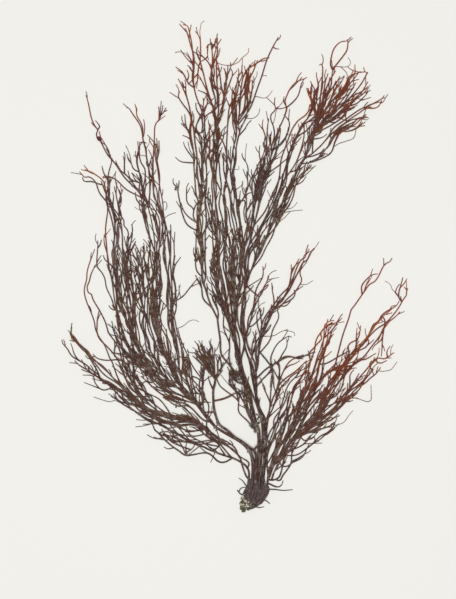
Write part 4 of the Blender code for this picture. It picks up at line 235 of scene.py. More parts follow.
# %% The low left frond
LEFT_LOW_FROND = [
    spray(2, 0.3, 0.6, [(-0.6, 4.7), (-0.5, 8.3), (-3, 10.7), (-11, 13.4), (-12.5, 14.2), (-16, 15.7),
        (-20, 18.1), (-28, 22), (-32, 24.7), (-35.5, 26.7), (-37, 27.5), (-37.3, 28.4)], forks=(0.3, 0.6)),
    lone((-0.5, 5.4), (-1.1, 6.2), (-2.3, 9.7), (-3.3, 12.3), (-8.5, 16.9), (-14, 20.6), (-16, 21.4)),
    spray(3, 0.5, 0.6, [(-3.3, 12.3), (-5, 14), (-10, 16), (-14, 15.7), (-16, 15.9), (-17.6, 16.7),
        (-23.5, 20.5)]),
    spray(8, 1, 0.5, [(-9.6, 17.7), (-14, 20.6), (-18, 21.6), (-22, 22), (-28, 24.2), (-34, 28.5), (-38, 31),
        (-40, 32), (-41.2, 33)], forks=(0.02, 0.25), shortest=0.45),
    spray(4, 0.5, 0.8, [(-12, 19.6), (-14, 21.6), (-16, 22.4), (-21, 22.6), (-24, 23.2), (-27, 24.4),
        (-30, 26.6), (-36, 32), (-42.5, 38.5), (-43.5, 40), (-45, 41.5), (-46, 43), (-47, 44.2),
        (-47.5, 45.5)], forks=(0.05, 0.6), shortest=0.55),
    spray(2, 0.3, 0.4, [(-40.6, 32.5), (-41.8, 35.8), (-44, 39.3), (-45.5, 40.8), (-47.9, 44.3),
        (-48.1, 45.8), (-48, 47.6)]),
    spray(2, 0.2, 0.3, [(-41.1, 33), (-43, 34.7), (-44.3, 36.3), (-47.8, 38.7), (-49.2, 41), (-49.9, 41.9),
        (-50.2, 43.2)]),
    lone((-37, 30.3), (-39.2, 29.7), (-40.7, 30.5), (-41.8, 32), (-42.3, 33.4), (-45, 33.6)),
    spray(4, 0.6, 0.4, [(-11.5, 18.7), (-15, 18.6), (-17, 18.9), (-21, 20.4), (-25, 21.8), (-29, 24.3),
        (-31, 26)]),
    spray(2, 0.4, 0.5, [(-9.8, 17.9), (-12, 17.9), (-16, 17.2), (-20, 19)]),
    spray(2, 0.4, 0.5, [(-22, 20.7), (-25, 20.7), (-27.5, 21.7), (-32, 24.6), (-35.6, 27.6)]),
    lone((-4.4, 11.3), (-6, 10.3), (-7.3, 10), (-8.8, 10.4), (-10.7, 12.3), (-12.5, 12.8), (-17, 12.1),
         (-18.5, 12.9), (-22.5, 15.8), (-25, 18.2), (-26, 19.1), (-26.1, 20.2), (-27, 21.3)),
    lone((-5.2, 11.6), (-6.4, 12.1), (-8.6, 15.2)),
    lone((-8, 15.1), (-8.2, 14.3), (-9, 13.8), (-10.2, 13.8), (-11.2, 14.4), (-11.6, 15.7)),
    lone((-16.8, 12.1), (-19.5, 16.3), (-20.8, 17.9)),
    lone((-17, 12.4), (-17.3, 14.3), (-17, 15.9)),
    lone((-16.6, 12.2), (-16.6, 13.3), (-15.5, 14), (-14.9, 15.1)),
    lone((-24, 17.2), (-24.2, 17.8), (-23.5, 18.5), (-21.5, 18.3), (-20.5, 17.7)),
    lone((-24, 17.6), (-22, 17.2), (-20, 17.2)),
    lone((-23.8, 17), (-25.5, 16.6), (-27.7, 17.5)),
    lone((-20.6, 14.4), (-22, 13.8), (-23, 14.4)),
    lone((-25, 23.2), (-25.2, 25), (-26.7, 28.1), (-29.8, 29.8), (-30.6, 31)),
    lone((-20.8, 22.6), (-24, 26.8), (-27, 28.6)),
    lone((-29.8, 25.9), (-31, 28), (-34.3, 31), (-35.6, 33), (-37, 36.8), (-38, 38.5), (-39.4, 41.9),
         (-40.5, 43.7), (-41.5, 46), (-42, 48.5), (-44.2, 54.5), (-44.6, 57), (-44.1, 59.5), (-43.8, 62),
         (-41.9, 67.5)),
    lone((-27.6, 24.2), (-30, 29.4), (-33.5, 33), (-36, 38.3), (-40.4, 43.6), (-41.1, 47.5), (-40.5, 51.3)),
    lone((-30.2, 29.6), (-33, 34.5), (-34.3, 37.5), (-34.9, 40), (-36.2, 42.5), (-38, 45), (-39.1, 48),
         (-42, 53.5), (-42.7, 55.6), (-43.5, 56), (-43.7, 57.5), (-43.1, 59), (-42.8, 60.5), (-41.5, 63.3)),
    lone((-34.4, 37.4), (-36, 37.7), (-38, 37.6), (-40, 37.8), (-41.3, 38.3), (-42.3, 39.2)),
    spray(2, 0.3, 0.6, [(-28.2, 25), (-29.3, 27.2), (-31.1, 31.8), (-33.8, 37), (-34.6, 43), (-35.8, 49),
        (-36.2, 52.5), (-38.2, 64.5), (-38.7, 73), (-38.4, 79), (-39.1, 84), (-39.9, 86), (-42.3, 87.7),
        (-43.6, 88.2), (-45, 89.7)], forks=(0.1, 0.3)),
    spray(2, 0.4, 0.3, [(-30.5, 30.6), (-31.3, 33), (-31.6, 36), (-32.2, 39), (-33.2, 42), (-35.7, 51)]),
    spray(3, 0.7, 0.6, [(-5, 13.6), (-7, 15.4), (-11, 19.2)]),
    spray(2, 0.5, 0.5, [(-14, 22.6), (-17, 23.8), (-20, 24.8)]),
    spray(3, 0.6, 0.7, [(-16, 13.6), (-21.2, 15.8), (-23.6, 17.4)]),
    spray(2, 0.5, 0.5, [(-8, 22.5), (-12.9, 27.6), (-15.6, 30)]),
    spray(3, 0.6, 0.6, [(-1.5, 12), (-5.4, 15.6), (-7.4, 17)]),
    spray(4, 0.9, 0.9, [(-25.5, 26.5), (-28, 29), (-30, 31.6), (-31.6, 34.4)]),
    spray(3, 0.6, 0.6, [(-24, 23.5), (-26.6, 25.4), (-29, 27.6), (-31, 30.2)]),
    lone((-8.5, 14.8), (-13, 15.6), (-17, 17.6)),
    spray(4, 0.7, 0.7, [(-12, 19), (-15, 20.2), (-21, 20.4), (-24, 21.4)]),
    spray(4, 0.7, 0.6, [(-27, 23.6), (-34, 27.2), (-39.5, 31.6)]),
    spray(3, 0.5, 0.5, [(-14, 15), (-17, 15.4), (-20, 16.8), (-23, 18.8)]),
    spray(4, 0.8, 0.8, [(-39.5, 31.5), (-44.5, 35.6), (-46.5, 38)]),
    spray(5, 0.8, 0.8, [(-23, 24), (-28.6, 27.8), (-31, 30.5), (-32.8, 34), (-33.8, 38)]),
    spray(5, 0.9, 0.8, [(-4.5, 12.2), (-9, 15.8), (-13.6, 19.6), (-16, 20.8)]),
    spray(4, 0.8, 0.6, [(-8.8, 16.9), (-10.8, 18.6), (-15.2, 20.9), (-18, 21)]),
    lone((0, 8.8), (0.2, 10), (-1.5, 11.2), (-3.2, 12.2)),
    hair((-33, 25.3), (-35, 26.5), (-36.5, 26.9), (-38, 26.4), (-42, 27.7)),
]
print("the low left frond has", len(LEFT_LOW_FROND), "sprays")

# %% [markdown]
# ## The right of the crown
# Two long stem groups climb to the upper right and end in wide, bushy fans. A dense, upright spray stands
# between them and the middle, and one fan carries a big open loop.

# %% The right of the crown
CROWN_RIGHT_FROND = [
    spray(6, 0.8, 0.8, [(3.8, 4.7), (4.3, 19), (4, 22), (2.9, 24.3), (1.3, 29.3), (0.2, 35), (-2.3, 47),
        (-1.3, 59), (-1.5, 62), (-1.3, 65), (-0.2, 68.3), (5, 77), (8.3, 85), (11.5, 95.8), (13.8, 100.7),
        (15.3, 102.3), (16.5, 104), (17.2, 106)], forks=(0.2, 0.5), shortest=0.35),
    spray(6, 0.9, 0.6, [(-1.5, 57), (0.2, 61.7), (5.7, 73.3), (9.7, 81), (12.8, 88.3), (15.2, 92),
        (16, 96)], forks=(0.1, 0.5)),
    spray(2, 0.3, 0.4, [(4.4, 70.6), (7.7, 74), (9.8, 78.2)]),
    spray(1, 0, 0, [(0.6, 69.8), (2.3, 72.5), (5.1, 78.2), (8.3, 87)]),
    spray(7, 1.2, 1.2, [(-1.4, 64), (0.1, 70), (0.7, 76), (2.3, 85), (3.7, 91),
        (4.8, 97)], forks=(0.15, 0.6)),
    spray(3, 0.5, 0.6, [(0.8, 77), (0.5, 84), (0.9, 87), (2.5, 91.5), (3.2, 94.2)]),
    spray(4, 0.5, 0.4, [(2.2, 83), (4, 86), (5, 89), (6.5, 98)]),
    lone((4.2, 94), (3.9, 98), (3.3, 100.5), (3.5, 102.4)),
    lone((6, 95), (6.6, 98), (6.2, 100.5), (5.5, 102.3), (5.7, 104), (6.9, 105), (6.7, 106.6), (6.9, 108.3)),
    spray(2, 0.25, 0.3, [(6, 95.2), (7.2, 97.8), (9.4, 104), (9.7, 106), (9.3, 107.3), (10.4, 110.2),
        (11.5, 111.5), (12.6, 113), (14.5, 114.6)]),
    lone((9.8, 105.8), (12.8, 108.8), (13.8, 112.2), (14.6, 113.6)),
    spray(2, 0.2, 0.2, [(5.8, 94), (6.8, 94.8), (8.2, 95.6), (10, 98.3), (10.9, 101.6), (9.6, 104)]),
    lone((5.5, 88.2), (9.2, 91.3), (10.5, 92.2)),
    spray(2, 0.2, 0.4, [(10.2, 90.8), (12.3, 94.4), (13.1, 95.1)]),
    spray(2, 0.4, 0.3, [(8.4, 84.8), (11.2, 89), (13.6, 94), (14.4, 97), (16, 101.5)]),
    spray(3, 0.3, 0.25, [(15.4, 92.4), (17, 93), (18.5, 94.6), (21.5, 98.1), (24.5, 100.8), (30, 104.5),
        (31.5, 105.2), (33.5, 105.3), (35, 105.9), (35.9, 107.2)]),
    lone((31, 104.9), (32, 106.2), (35.4, 108), (36.1, 108.8)),
    spray(3, 0.3, 0.35, [(15.6, 91.6), (17.4, 92), (21, 95), (23.2, 98.8), (24.5, 99.6), (28, 101.2),
        (29.9, 103.2), (31.1, 104)]),
    spray(2, 0.3, 0.4, [(23.8, 99.3), (26, 99.2), (28, 99.9), (29.4, 101.3), (29.6, 102.8)]),
    spray(2, 0.2, 0.2, [(14, 90.2), (15.7, 90.6), (20, 92.3), (21.6, 93.4), (22.3, 94.6), (22.8, 96),
        (25.1, 98.9), (26.2, 99.6)]),
    spray(6, 1.3, 1.5, [(15.8, 95), (17.2, 99), (20.4, 104.8)], forks=(0.02, 0.5)),
    spray(2, 0.2, 0.4, [(15.3, 102.3), (16.5, 105), (16.5, 107.2), (15.7, 109), (15.2, 110.8)]),
    spray(3, 0.4, 0.3, [(16, 103.2), (17, 105.5), (17.4, 108), (17.8, 110.4), (16.8, 112.9)]),
    spray(2, 0.35, 0.3, [(17, 104.5), (17.8, 107), (18, 109.5), (19, 114.8)]),
    spray(2, 0.2, 0.1, [(17.2, 99), (19, 109.7), (19.6, 114.5), (20.1, 116.5), (20, 118), (19, 118.3)]),
    spray(3, 0.4, 0.3, [(18.2, 101.5), (20, 110), (20.3, 112.7), (20.8, 114.8)]),
    spray(3, 0.3, 0.1, [(18.6, 102), (20.4, 107.8), (21.4, 110), (23.7, 116.2)]),
    lone((23.5, 115.8), (22.5, 117.3), (22, 119), (22.3, 120.8), (23.4, 122.3), (24.7, 123.2), (25.6, 123.3)),
    lone((23.7, 116), (24.8, 119.2), (25.7, 120.6), (26.2, 122.2), (26.1, 123.8)),
    lone((19.9, 109.5), (20.8, 111.8), (23, 115.4)),
    spray(3, 0.6, 0.5, [(18.8, 102.3), (20.8, 105.5), (27.3, 113.6), (28.6, 114.9), (29, 117)]),
    spray(3, 0.7, 0.5, [(19.6, 103.2), (22.3, 105.6), (26.5, 111.8), (29.1, 115.2)]),
    spray(3, 0.8, 0.25, [(19.3, 102.3), (23, 104.7), (27, 108.5), (31.6, 114), (32.4, 115.2), (31.5, 115.8),
        (31.4, 116.6)]),
    spray(4, 0.7, 0.4, [(18.3, 100.6), (22.5, 103), (28.7, 108.4), (30.2, 109.7),
        (32, 112.3)], shortest=0.45),
    spray(2, 0.4, 0.4, [(17.6, 99), (24, 102.3), (27.7, 106.5), (29.1, 107.3)]),
    spray(2, 0.3, 0.3, [(16.6, 97.4), (18, 97.6), (21.3, 99.5)]),
    spray(3, 0.6, 0.7, [(17, 96.6), (18.6, 99), (21.6, 104.2)]),
    spray(2, 0.5, 0.5, [(5.6, 73), (7, 76), (8.2, 79)]),
    spray(2, 0.3, 0.3, [(17, 90.8), (19, 92), (20.8, 93.6)]),
    spray(2, 0.4, 0.5, [(6, 92.6), (7.4, 98.2), (7.8, 101)]),
    spray(2, 0.4, 0.5, [(13.8, 85.6), (15, 88), (16.4, 90.6)]),
    spray(2, 0.4, 0.4, [(9.8, 81.6), (11, 84), (12, 86.6)]),
    spray(2, 0.4, 0.5, [(24, 98.6), (26.4, 100), (28.6, 101.8)]),
    spray(3, 0.6, 0.6, [(7.6, 78), (13, 87.2), (15, 89.6)]),
    spray(2, 0.5, 0.5, [(4.4, 71), (6, 74), (9, 80)]),
    spray(2, 0.5, 0.6, [(2.4, 79), (3.6, 86), (4.6, 89.5), (7.6, 96.6)]),
    spray(2, 0.4, 0.5, [(13.4, 97.4), (15.6, 101.2), (16.4, 103)]),
    spray(4, 0.7, 0.7, [(0.8, 66), (3.2, 72), (4.2, 75)]),
    spray(2, 0.4, 0.5, [(16.4, 90.6), (19.6, 92.4), (21, 94)]),
    spray(7, 1.2, 1.6, [(16.2, 94.5), (16.8, 97.5), (17.8, 100.5), (19, 103), (21, 108)]),
    spray(5, 1, 1.4, [(17, 99.5), (17.6, 102.5), (17.6, 105.5), (16.8, 111)]),
    spray(6, 1.1, 2.4, [(18, 100), (26.4, 109.4), (28.2, 111.2)]),
    spray(5, 0.9, 1.3, [(18.6, 99.8), (21.2, 101.8), (28.4, 107)]),
    spray(4, 0.8, 1.3, [(20, 104), (22.2, 110), (23, 113)]),
    spray(3, 0.6, 0.8, [(21.5, 97.6), (23.4, 99.2), (27.4, 101.4), (29, 102.6)]),
    spray(3, 0.5, 0.5, [(-1.6, 72), (-0.8, 80), (-0.3, 84)]),
    spray(3, 0.5, 0.5, [(4.6, 71.4), (7.4, 76.6), (8.6, 79)]),
    spray(3, 0.5, 0.5, [(6, 90), (6.8, 93), (7.8, 100)]),
    spray(4, 0.6, 0.6, [(0.4, 62), (2.4, 70), (3.4, 73.5)]),
    spray(3, 0.7, 0.6, [(6, 76), (9.8, 82), (12.8, 88)]),
    spray(4, 0.6, 0.6, [(17.6, 101.5), (18.6, 104.5), (19.9, 110.5)]),
    spray(4, 0.6, 0.6, [(1, 74), (3.9, 86), (4.6, 90)]),
    spray(7, 1.1, 1.3, [(13.4, 89.6), (14.9, 93), (16.9, 99.2), (18, 102)]),
    spray(4, 0.6, 0.5, [(1.5, 76), (2.9, 83), (3.7, 90)]),
    lone((6.9, 105), (7.6, 105.6)),
    lone((-1.8, 72), (-0.2, 76), (0.4, 78)),
    lone((11.4, 88.3), (12.8, 88.9), (14, 89.5)),
    lone((28.3, 100.5), (30.9, 100.9)),
    lone((29.9, 103.4), (31, 103.3), (32, 102.8)),
    lone((16.9, 112.6), (16.4, 110.5), (16.5, 108)),
    lone((26, 104.4), (25.8, 103.3), (26.1, 102.2)),
    lone((17.7, 97), (19.5, 97.8), (20.5, 98.6)),
    lone((19, 101), (20.5, 102), (22, 101.5), (23.5, 101.7)),
    lone((4.6, 96), (4.6, 99.5), (4.9, 102.6)),
    lone((5.6, 96), (5.4, 98.5)),
    spray(3, 0.5, 0.5, [(21, 106.5), (24.5, 109.2), (25.5, 111), (25.9, 112.9)]),
    hair((9.6, 77.3), (11, 77.6), (14.1, 78.1)),
    hair((9.9, 78.2), (11.4, 78.9), (12.7, 80.2)),
    hair((8.2, 74.3), (9.3, 76), (10.8, 77.4)),
    hair((6.3, 101.5), (6.9, 103.5), (7.2, 105), (9.5, 108.3)),
    hair((10.1, 98.2), (11.5, 98.2), (13, 98.3)),
    hair((6.2, 90.5), (8, 93), (12.2, 98)),
    hair((6.6, 81.5), (5.7, 82.3), (7.1, 84.3)),
    hair((6.1, 80.3), (5.2, 82), (4.5, 83.3)),
    hair((22.4, 94.8), (24, 95.8), (27.5, 97.1), (28.2, 98.5), (28.3, 100)),
    hair((24, 116.2), (25.7, 116.5), (26.8, 117.3), (26.8, 118.3), (26.3, 119.1)),
    hair((25, 115.7), (26.2, 114.8), (26, 113.3)),
]
print("the right of the crown has", len(CROWN_RIGHT_FROND), "sprays")

# %% [markdown]
# ## The tall left frond
# One thick stem leans left, then divides into three upright columns of nearly parallel strands, with a
# spray of long single tips at the top.

# %% The tall left frond
LEFT_TALL_FROND = [
    spray(6, 1.2, 1, [(0.75, 4.7), (0.9, 9.5), (0, 12.8), (-3, 15.9), (-8.9, 19.5), (-10.4, 20.9),
        (-17.7, 28.9), (-23, 31.7), (-25.3, 33), (-26.8, 35.2), (-30.8, 42.3), (-31.6, 48), (-31.4, 51),
        (-31.6, 57.5), (-32, 61), (-31.8, 67)], radius=LEFT_STEM_RADIUS, forks=(0.24, 0.5)),
    spray(5, 0.8, 0.7, [(-30.3, 41.3), (-32.2, 45), (-34.6, 53), (-37, 64.5),
        (-37.3, 67)], forks=(0.02, 0.4)),
    spray(3, 0.4, 0.7, [(-36.2, 60.5), (-36.8, 63.5), (-36.8, 67), (-36.3, 73.5), (-37.6, 79), (-38, 81.5),
        (-38, 84), (-38.5, 89), (-38.4, 92)]),
    spray(2, 0.3, 0.4, [(-34.6, 57.5), (-34.3, 61), (-34.3, 65), (-34.2, 71), (-35, 74), (-37.6, 79.5),
        (-40, 85.8)]),
    spray(3, 0.5, 0.4, [(-35.2, 56), (-36, 64), (-35.7, 67), (-35.7, 73), (-35.1, 76), (-35.6, 80.3),
        (-36.1, 82.3), (-36.5, 85.4)]),
    spray(2, 0.3, 0.3, [(-33.6, 54), (-33.2, 58), (-32.9, 69), (-32.8, 71.5), (-33.1, 72.9), (-33.8, 73.5),
        (-33.5, 75), (-33.7, 76.6), (-34.5, 77.6)]),
    spray(2, 0.4, 0.5, [(-31.4, 53), (-30.7, 56.5), (-29.6, 60.6), (-31.2, 64.7)]),
    lone((-31.9, 65), (-32.1, 68.5), (-31.6, 71.2), (-31.6, 73.3)),
    lone((-31.8, 66.5), (-31.5, 68.6), (-30.8, 69.6)),
    lone((-38.2, 80), (-40.4, 82.6), (-41.5, 85.6), (-43.2, 87), (-44.4, 86.9), (-45.8, 88.4)),
    lone((-38.3, 86.2), (-39.2, 88), (-39.7, 89.8)),
    lone((-35.4, 79.6), (-34.8, 81.3), (-35.8, 84.4)),
    lone((-34, 50.8), (-36.1, 51.7), (-37.1, 54), (-38.6, 57), (-39.1, 59.5), (-40, 61.2), (-41, 62.4),
         (-41.3, 63.8), (-40.8, 67.8), (-40.9, 69.8)),
    lone((-35.9, 51.2), (-37.2, 51.4), (-37.9, 52.4)),
    spray(6, 0.9, 0.4, [(-17.5, 28.7), (-18.8, 30.7), (-20.3, 32.6), (-21.5, 35), (-22.3, 37.5), (-24.8, 43),
        (-26.4, 49), (-26.6, 55), (-25.7, 64), (-26, 73), (-27.3, 78.5), (-28.1, 80.5)], forks=(0.02, 0.3)),
    lone((-25.8, 66.5), (-26.5, 69.5), (-27.4, 72), (-28.1, 75), (-28.8, 80)),
    spray(3, 0.4, 0.5, [(-21.9, 37), (-23, 40), (-24.2, 46), (-24.8, 48.5), (-24.3, 54), (-24.3, 57),
        (-24, 60), (-24.4, 66), (-24.4, 75), (-26, 80)]),
    spray(3, 0.5, 0.4, [(-19.2, 30.3), (-21.5, 33), (-25.5, 38.2), (-27, 41), (-28.7, 47), (-28.3, 53),
        (-27.4, 56)]),
    lone((-28.2, 44.6), (-29.4, 47), (-29.7, 50), (-29.1, 53), (-30.3, 58.3)),
    spray(3, 0.4, 0.8, [(-26.7, 56), (-28.1, 62), (-28.5, 64.5), (-28.4, 66.5), (-28.6, 68.3)]),
    spray(2, 0.2, 0.4, [(-26.1, 60.5), (-27.2, 67.5), (-27.8, 69.7)]),
    lone((-22.4, 37.6), (-21.8, 40), (-22.4, 43.5), (-23.8, 46.5), (-24.9, 49.3)),
    spray(5, 0.6, 0.35, [(-17.4, 28.5), (-18.8, 34.5), (-20.8, 46.5), (-20.9, 54), (-21.6, 65), (-22.2, 72),
        (-23.4, 78), (-24.9, 90), (-25.2, 96.5)], forks=(0.05, 0.3)),
    lone((-18.4, 32.5), (-18.3, 39), (-20.1, 48), (-20.5, 51)),
    spray(2, 0.3, 0.2, [(-20.9, 46), (-22.2, 52), (-22.1, 59), (-22.4, 62), (-23.3, 68.5), (-23.6, 75),
        (-24.3, 78), (-26, 83), (-26.2, 90), (-25.9, 93), (-25.6, 98.5), (-25.3, 101), (-24.5, 102.2),
        (-24, 103.2)]),
    lone((-24.4, 102.3), (-24.5, 104.3), (-24.6, 105.8)),
    lone((-24.1, 102.9), (-23.8, 104.8), (-23.6, 106.2)),
    lone((-24.1, 102.8), (-23.2, 104.2), (-22.6, 105.5)),
    lone((-21.3, 59), (-20.2, 62.9), (-18.6, 65.3)),
    lone((-20.9, 52.6), (-18, 55), (-14.3, 59.6)),
    spray(2, 0.25, 0.2, [(-28.1, 80.3), (-29, 81.8), (-33.5, 86.8), (-36.6, 90.8), (-38.3, 92.8),
        (-40.3, 96.4), (-41.2, 97.5), (-41.3, 98.5), (-40.9, 99.7), (-41.5, 100.6), (-43, 103.5),
        (-45, 108.6)]),
    lone((-40.2, 96.2), (-40.2, 97.8), (-40.5, 99.2)),
    lone((-41.3, 100.1), (-42, 100.6), (-42.8, 101.4)),
    spray(2, 0.2, 0.3, [(-28.8, 81.6), (-33, 87.2), (-34.3, 88.6), (-35.3, 91.5)]),
    spray(2, 0.15, 0.3, [(-34, 88.2), (-33.5, 92), (-33.6, 93.6)]),
    lone((-28.6, 80.9), (-30, 81.9), (-33.2, 83.7), (-36, 86), (-38.4, 87.1), (-39.6, 86.9)),
    spray(2, 0.2, 0.4, [(-28.5, 81.3), (-29.4, 82.8), (-29.7, 85), (-29.6, 87.5), (-30.4, 92), (-30.4, 94),
        (-30.7, 96)]),
    spray(2, 0.25, 0.4, [(-28.7, 82.2), (-29.3, 85.2), (-30.8, 85.9), (-33.1, 88.3)]),
    lone((-28.4, 82.4), (-29, 86.3), (-29.9, 88.3), (-31.2, 89), (-31.7, 90.5), (-32.8, 92.3)),
    spray(2, 0.2, 0.1, [(-27.3, 78.6), (-27, 87.5), (-27.8, 92.3), (-28.1, 94.5), (-28.7, 96.6),
        (-29.5, 100.2), (-31.1, 103.3), (-32, 106), (-32.7, 106.3)]),
    lone((-27.2, 89.6), (-26.7, 91.2), (-26.4, 92.5)),
    lone((-28.1, 82.4), (-28, 86), (-28.2, 89), (-29.2, 90.6), (-29.7, 92.3), (-29.8, 95.6)),
    lone((-14.3, 25.2), (-13, 26.5), (-12.2, 28.2), (-13, 30), (-16.7, 34), (-18.2, 39.3)),
    lone((-13.2, 29.9), (-12.6, 31.2), (-12.9, 32.3), (-15.4, 35.8), (-16.5, 38), (-18.6, 43.5), (-19.3, 46)),
    spray(3, 0.4, 0.4, [(-10.5, 21.1), (-12.5, 21.8), (-16.5, 25.3), (-18, 26.1), (-20, 26.4), (-22, 27.2),
        (-25.6, 30), (-29.5, 33)]),
    lone((-13.6, 24.6), (-12.8, 25.6), (-12.4, 27.2), (-13.8, 28.6), (-17.2, 28.5)),
    lone((-25.2, 32.8), (-26.3, 31.6), (-27.6, 31.9), (-28.7, 31.7), (-29.3, 30.7), (-28.8, 29.6)),
    spray(2, 0.5, 0.5, [(-24.2, 44), (-25, 47.6), (-25.6, 51)]),
    spray(3, 0.7, 0.7, [(-27.6, 33.4), (-28.8, 36.4), (-29.6, 40), (-30, 44)]),
    spray(2, 0.4, 0.4, [(-36.4, 56), (-37.2, 60), (-37.8, 63.6)]),
    spray(2, 0.5, 0.5, [(-19.4, 33.4), (-21, 35.8), (-22.4, 38.4)]),
    spray(4, 0.8, 0.8, [(-31, 42), (-33, 49), (-33.6, 52.5)]),
    spray(3, 0.6, 0.6, [(-28.6, 55), (-29, 59), (-29.6, 63)]),
    spray(3, 0.7, 0.7, [(-31, 32.4), (-32.6, 35), (-33.8, 38)]),
    spray(2, 0.5, 0.5, [(-35.6, 36), (-36.8, 39), (-37.6, 42.4)]),
    spray(2, 0.5, 0.5, [(-32.8, 61), (-33.4, 64.4), (-33.8, 68)]),
    spray(3, 0.6, 0.6, [(-31.6, 54), (-33.4, 62), (-34.4, 66)]),
    spray(2, 0.5, 0.5, [(-35.4, 59), (-36.4, 62.5), (-37.4, 66)]),
    spray(2, 0.4, 0.4, [(-35.8, 75), (-36.8, 79), (-37.8, 82.6)]),
    spray(3, 0.6, 0.6, [(-27.4, 47), (-28.6, 51), (-29.6, 55)]),
    spray(2, 0.5, 0.5, [(-24.6, 55), (-25.2, 65), (-25.2, 70)]),
    spray(3, 0.6, 0.6, [(-27.8, 79.5), (-28.8, 83), (-29.6, 86.4)]),
    spray(2, 0.5, 0.5, [(-22, 29.5), (-26, 32.8), (-28, 35)]),
    spray(2, 0.4, 0.4, [(-14.6, 33), (-16.2, 35), (-17.8, 37.4)]),
    spray(4, 0.8, 0.8, [(-15.5, 31.5), (-19.6, 35.6), (-24, 39)]),
    spray(5, 1, 1, [(-25.5, 32.5), (-29.6, 36.4), (-31, 38.8)]),
    spray(3, 0.6, 0.6, [(-27.4, 80), (-29.6, 85), (-31, 87.4)]),
    spray(3, 0.6, 0.6, [(-32.4, 58), (-33.2, 62), (-33.6, 66)]),
    spray(4, 0.7, 0.7, [(-17.5, 29.5), (-20.8, 35.5), (-22, 38.5)]),
    spray(3, 0.4, 0.4, [(-24.3, 70), (-25.3, 77), (-26, 80)]),
    spray(3, 0.5, 0.5, [(-35.8, 58), (-37.1, 65), (-37.2, 68)]),
    spray(7, 1.1, 1, [(-24.5, 33), (-29.4, 36.4), (-31.4, 39), (-32.8, 42)]),
    spray(6, 1.1, 0.9, [(-15, 25.2), (-17.6, 26.6), (-22.8, 28.6), (-25.4, 30.2)]),
    spray(4, 0.8, 0.6, [(-28, 54), (-28.8, 58), (-29.2, 66)]),
    spray(4, 0.7, 0.7, [(-11.6, 22.4), (-12.6, 26), (-13, 34), (-13.4, 38)]),
    spray(3, 0.4, 0.5, [(-20.8, 44), (-21, 48), (-21.2, 56)]),
    spray(3, 0.5, 0.4, [(-28.3, 74), (-28.9, 78), (-29.3, 82)]),
    spray(5, 0.9, 0.8, [(-17.3, 29), (-20.6, 35), (-22.4, 42), (-23, 46)]),
    spray(6, 0.8, 0.6, [(-23.4, 40), (-24.5, 44), (-25.3, 52), (-25, 60)]),
    spray(5, 0.9, 0.8, [(-19.5, 30.2), (-22.5, 33), (-24.6, 36), (-26, 39.5), (-27, 43.5)]),
    spray(4, 0.7, 0.6, [(-32, 57), (-33, 61), (-33.8, 69)]),
    spray(3, 0.6, 0.6, [(-28.6, 58), (-29.2, 66), (-29.6, 69)]),
    spray(9, 1.2, 1.1, [(-20.3, 30.6), (-23.2, 33.1), (-29.4, 37.6), (-33.6, 43.6), (-35.2, 50.5)]),
    spray(5, 0.9, 0.7, [(-15.6, 26.6), (-18, 28), (-20.7, 28.9), (-23.3, 30.3), (-28.8, 34.8)]),
    spray(6, 0.9, 0.7, [(-12.4, 22.8), (-14.8, 26.4), (-17.6, 34.4), (-18.7, 42.4)]),
    spray(3, 0.8, 0.6, [(-27.2, 47), (-29.3, 55), (-30.3, 63)]),
    spray(5, 0.8, 0.6, [(-31.4, 49), (-33.1, 58.5), (-33.8, 67)]),
    spray(3, 0.4, 0.4, [(-27.4, 74), (-28.9, 81), (-29.4, 84)]),
    spray(3, 0.5, 0.5, [(-31.8, 45), (-32.5, 51), (-34.8, 61), (-35.3, 64)]),
    lone((-40.8, 67.8), (-40, 70)),
    lone((-41.2, 64), (-40, 65.8)),
    lone((-28.4, 66.3), (-29.4, 67.2)),
    lone((-40.3, 86), (-43.5, 85.5), (-44.8, 85.9), (-45, 86.8)),
    spray(2, 0.3, 0.3, [(-32, 62), (-32, 65), (-32.2, 67.5), (-31.9, 68.8), (-31.2, 69.4)]),
    spray(2, 0.3, 0.3, [(-31.3, 60), (-30.5, 62), (-30.2, 64), (-31.2, 65.7), (-31.8, 67.3)]),
    lone((-24.9, 92), (-24.6, 94), (-24.5, 96.6)),
    lone((-24.9, 93), (-25, 95.5), (-25.2, 97.3)),
    lone((-16, 33.5), (-14.5, 33), (-12.8, 32), (-11.5, 32.8), (-10.4, 33.3)),
    lone((-9.3, 19.9), (-12.7, 24), (-14.6, 25.8)),
    lone((-15.4, 26), (-11.8, 26.5), (-10.6, 26.4)),
    lone((-13.3, 25.5), (-13.6, 27.2), (-13.4, 28.8)),
    lone((-19.9, 22.9), (-19.8, 25), (-20, 26.8)),
    lone((-26.5, 83.5), (-26.4, 87), (-26, 92)),
    lone((-23.2, 104.5), (-22.3, 104.9)),
    lone((-41, 99.7), (-40.6, 100.5), (-41.6, 102)),
    lone((-29, 96.3), (-29.7, 96.3)),
    lone((-28.4, 96.2), (-27.9, 96.2)),
    hair((-19.8, 46), (-18, 46.8), (-16.5, 47.9), (-15, 48.3), (-13.8, 47.8)),
    hair((-22.9, 75.7), (-21.8, 76.8), (-20, 77.4)),
    hair((-23.6, 79.5), (-22.8, 80.4), (-22.3, 79.2), (-22.7, 78)),
    hair((-18.5, 54.8), (-19, 56.3), (-18.8, 58)),
    hair((-31.8, 90.5), (-32.5, 93), (-33.6, 95.3)),
    hair((-27.6, 93), (-30.2, 93), (-31.5, 92.7)),
    hair((-27.9, 77.9), (-30.2, 78.3), (-31, 78.9)),
    hair((-27.2, 95), (-27, 96.5), (-27.1, 97.6)),
]
print("the tall left frond has", len(LEFT_TALL_FROND), "sprays")

# %% [markdown]
# ## The middle of the crown
# Three stem groups go straight up to the highest tips. The dense red fans near the top hold the finest
# forks of the tuft.

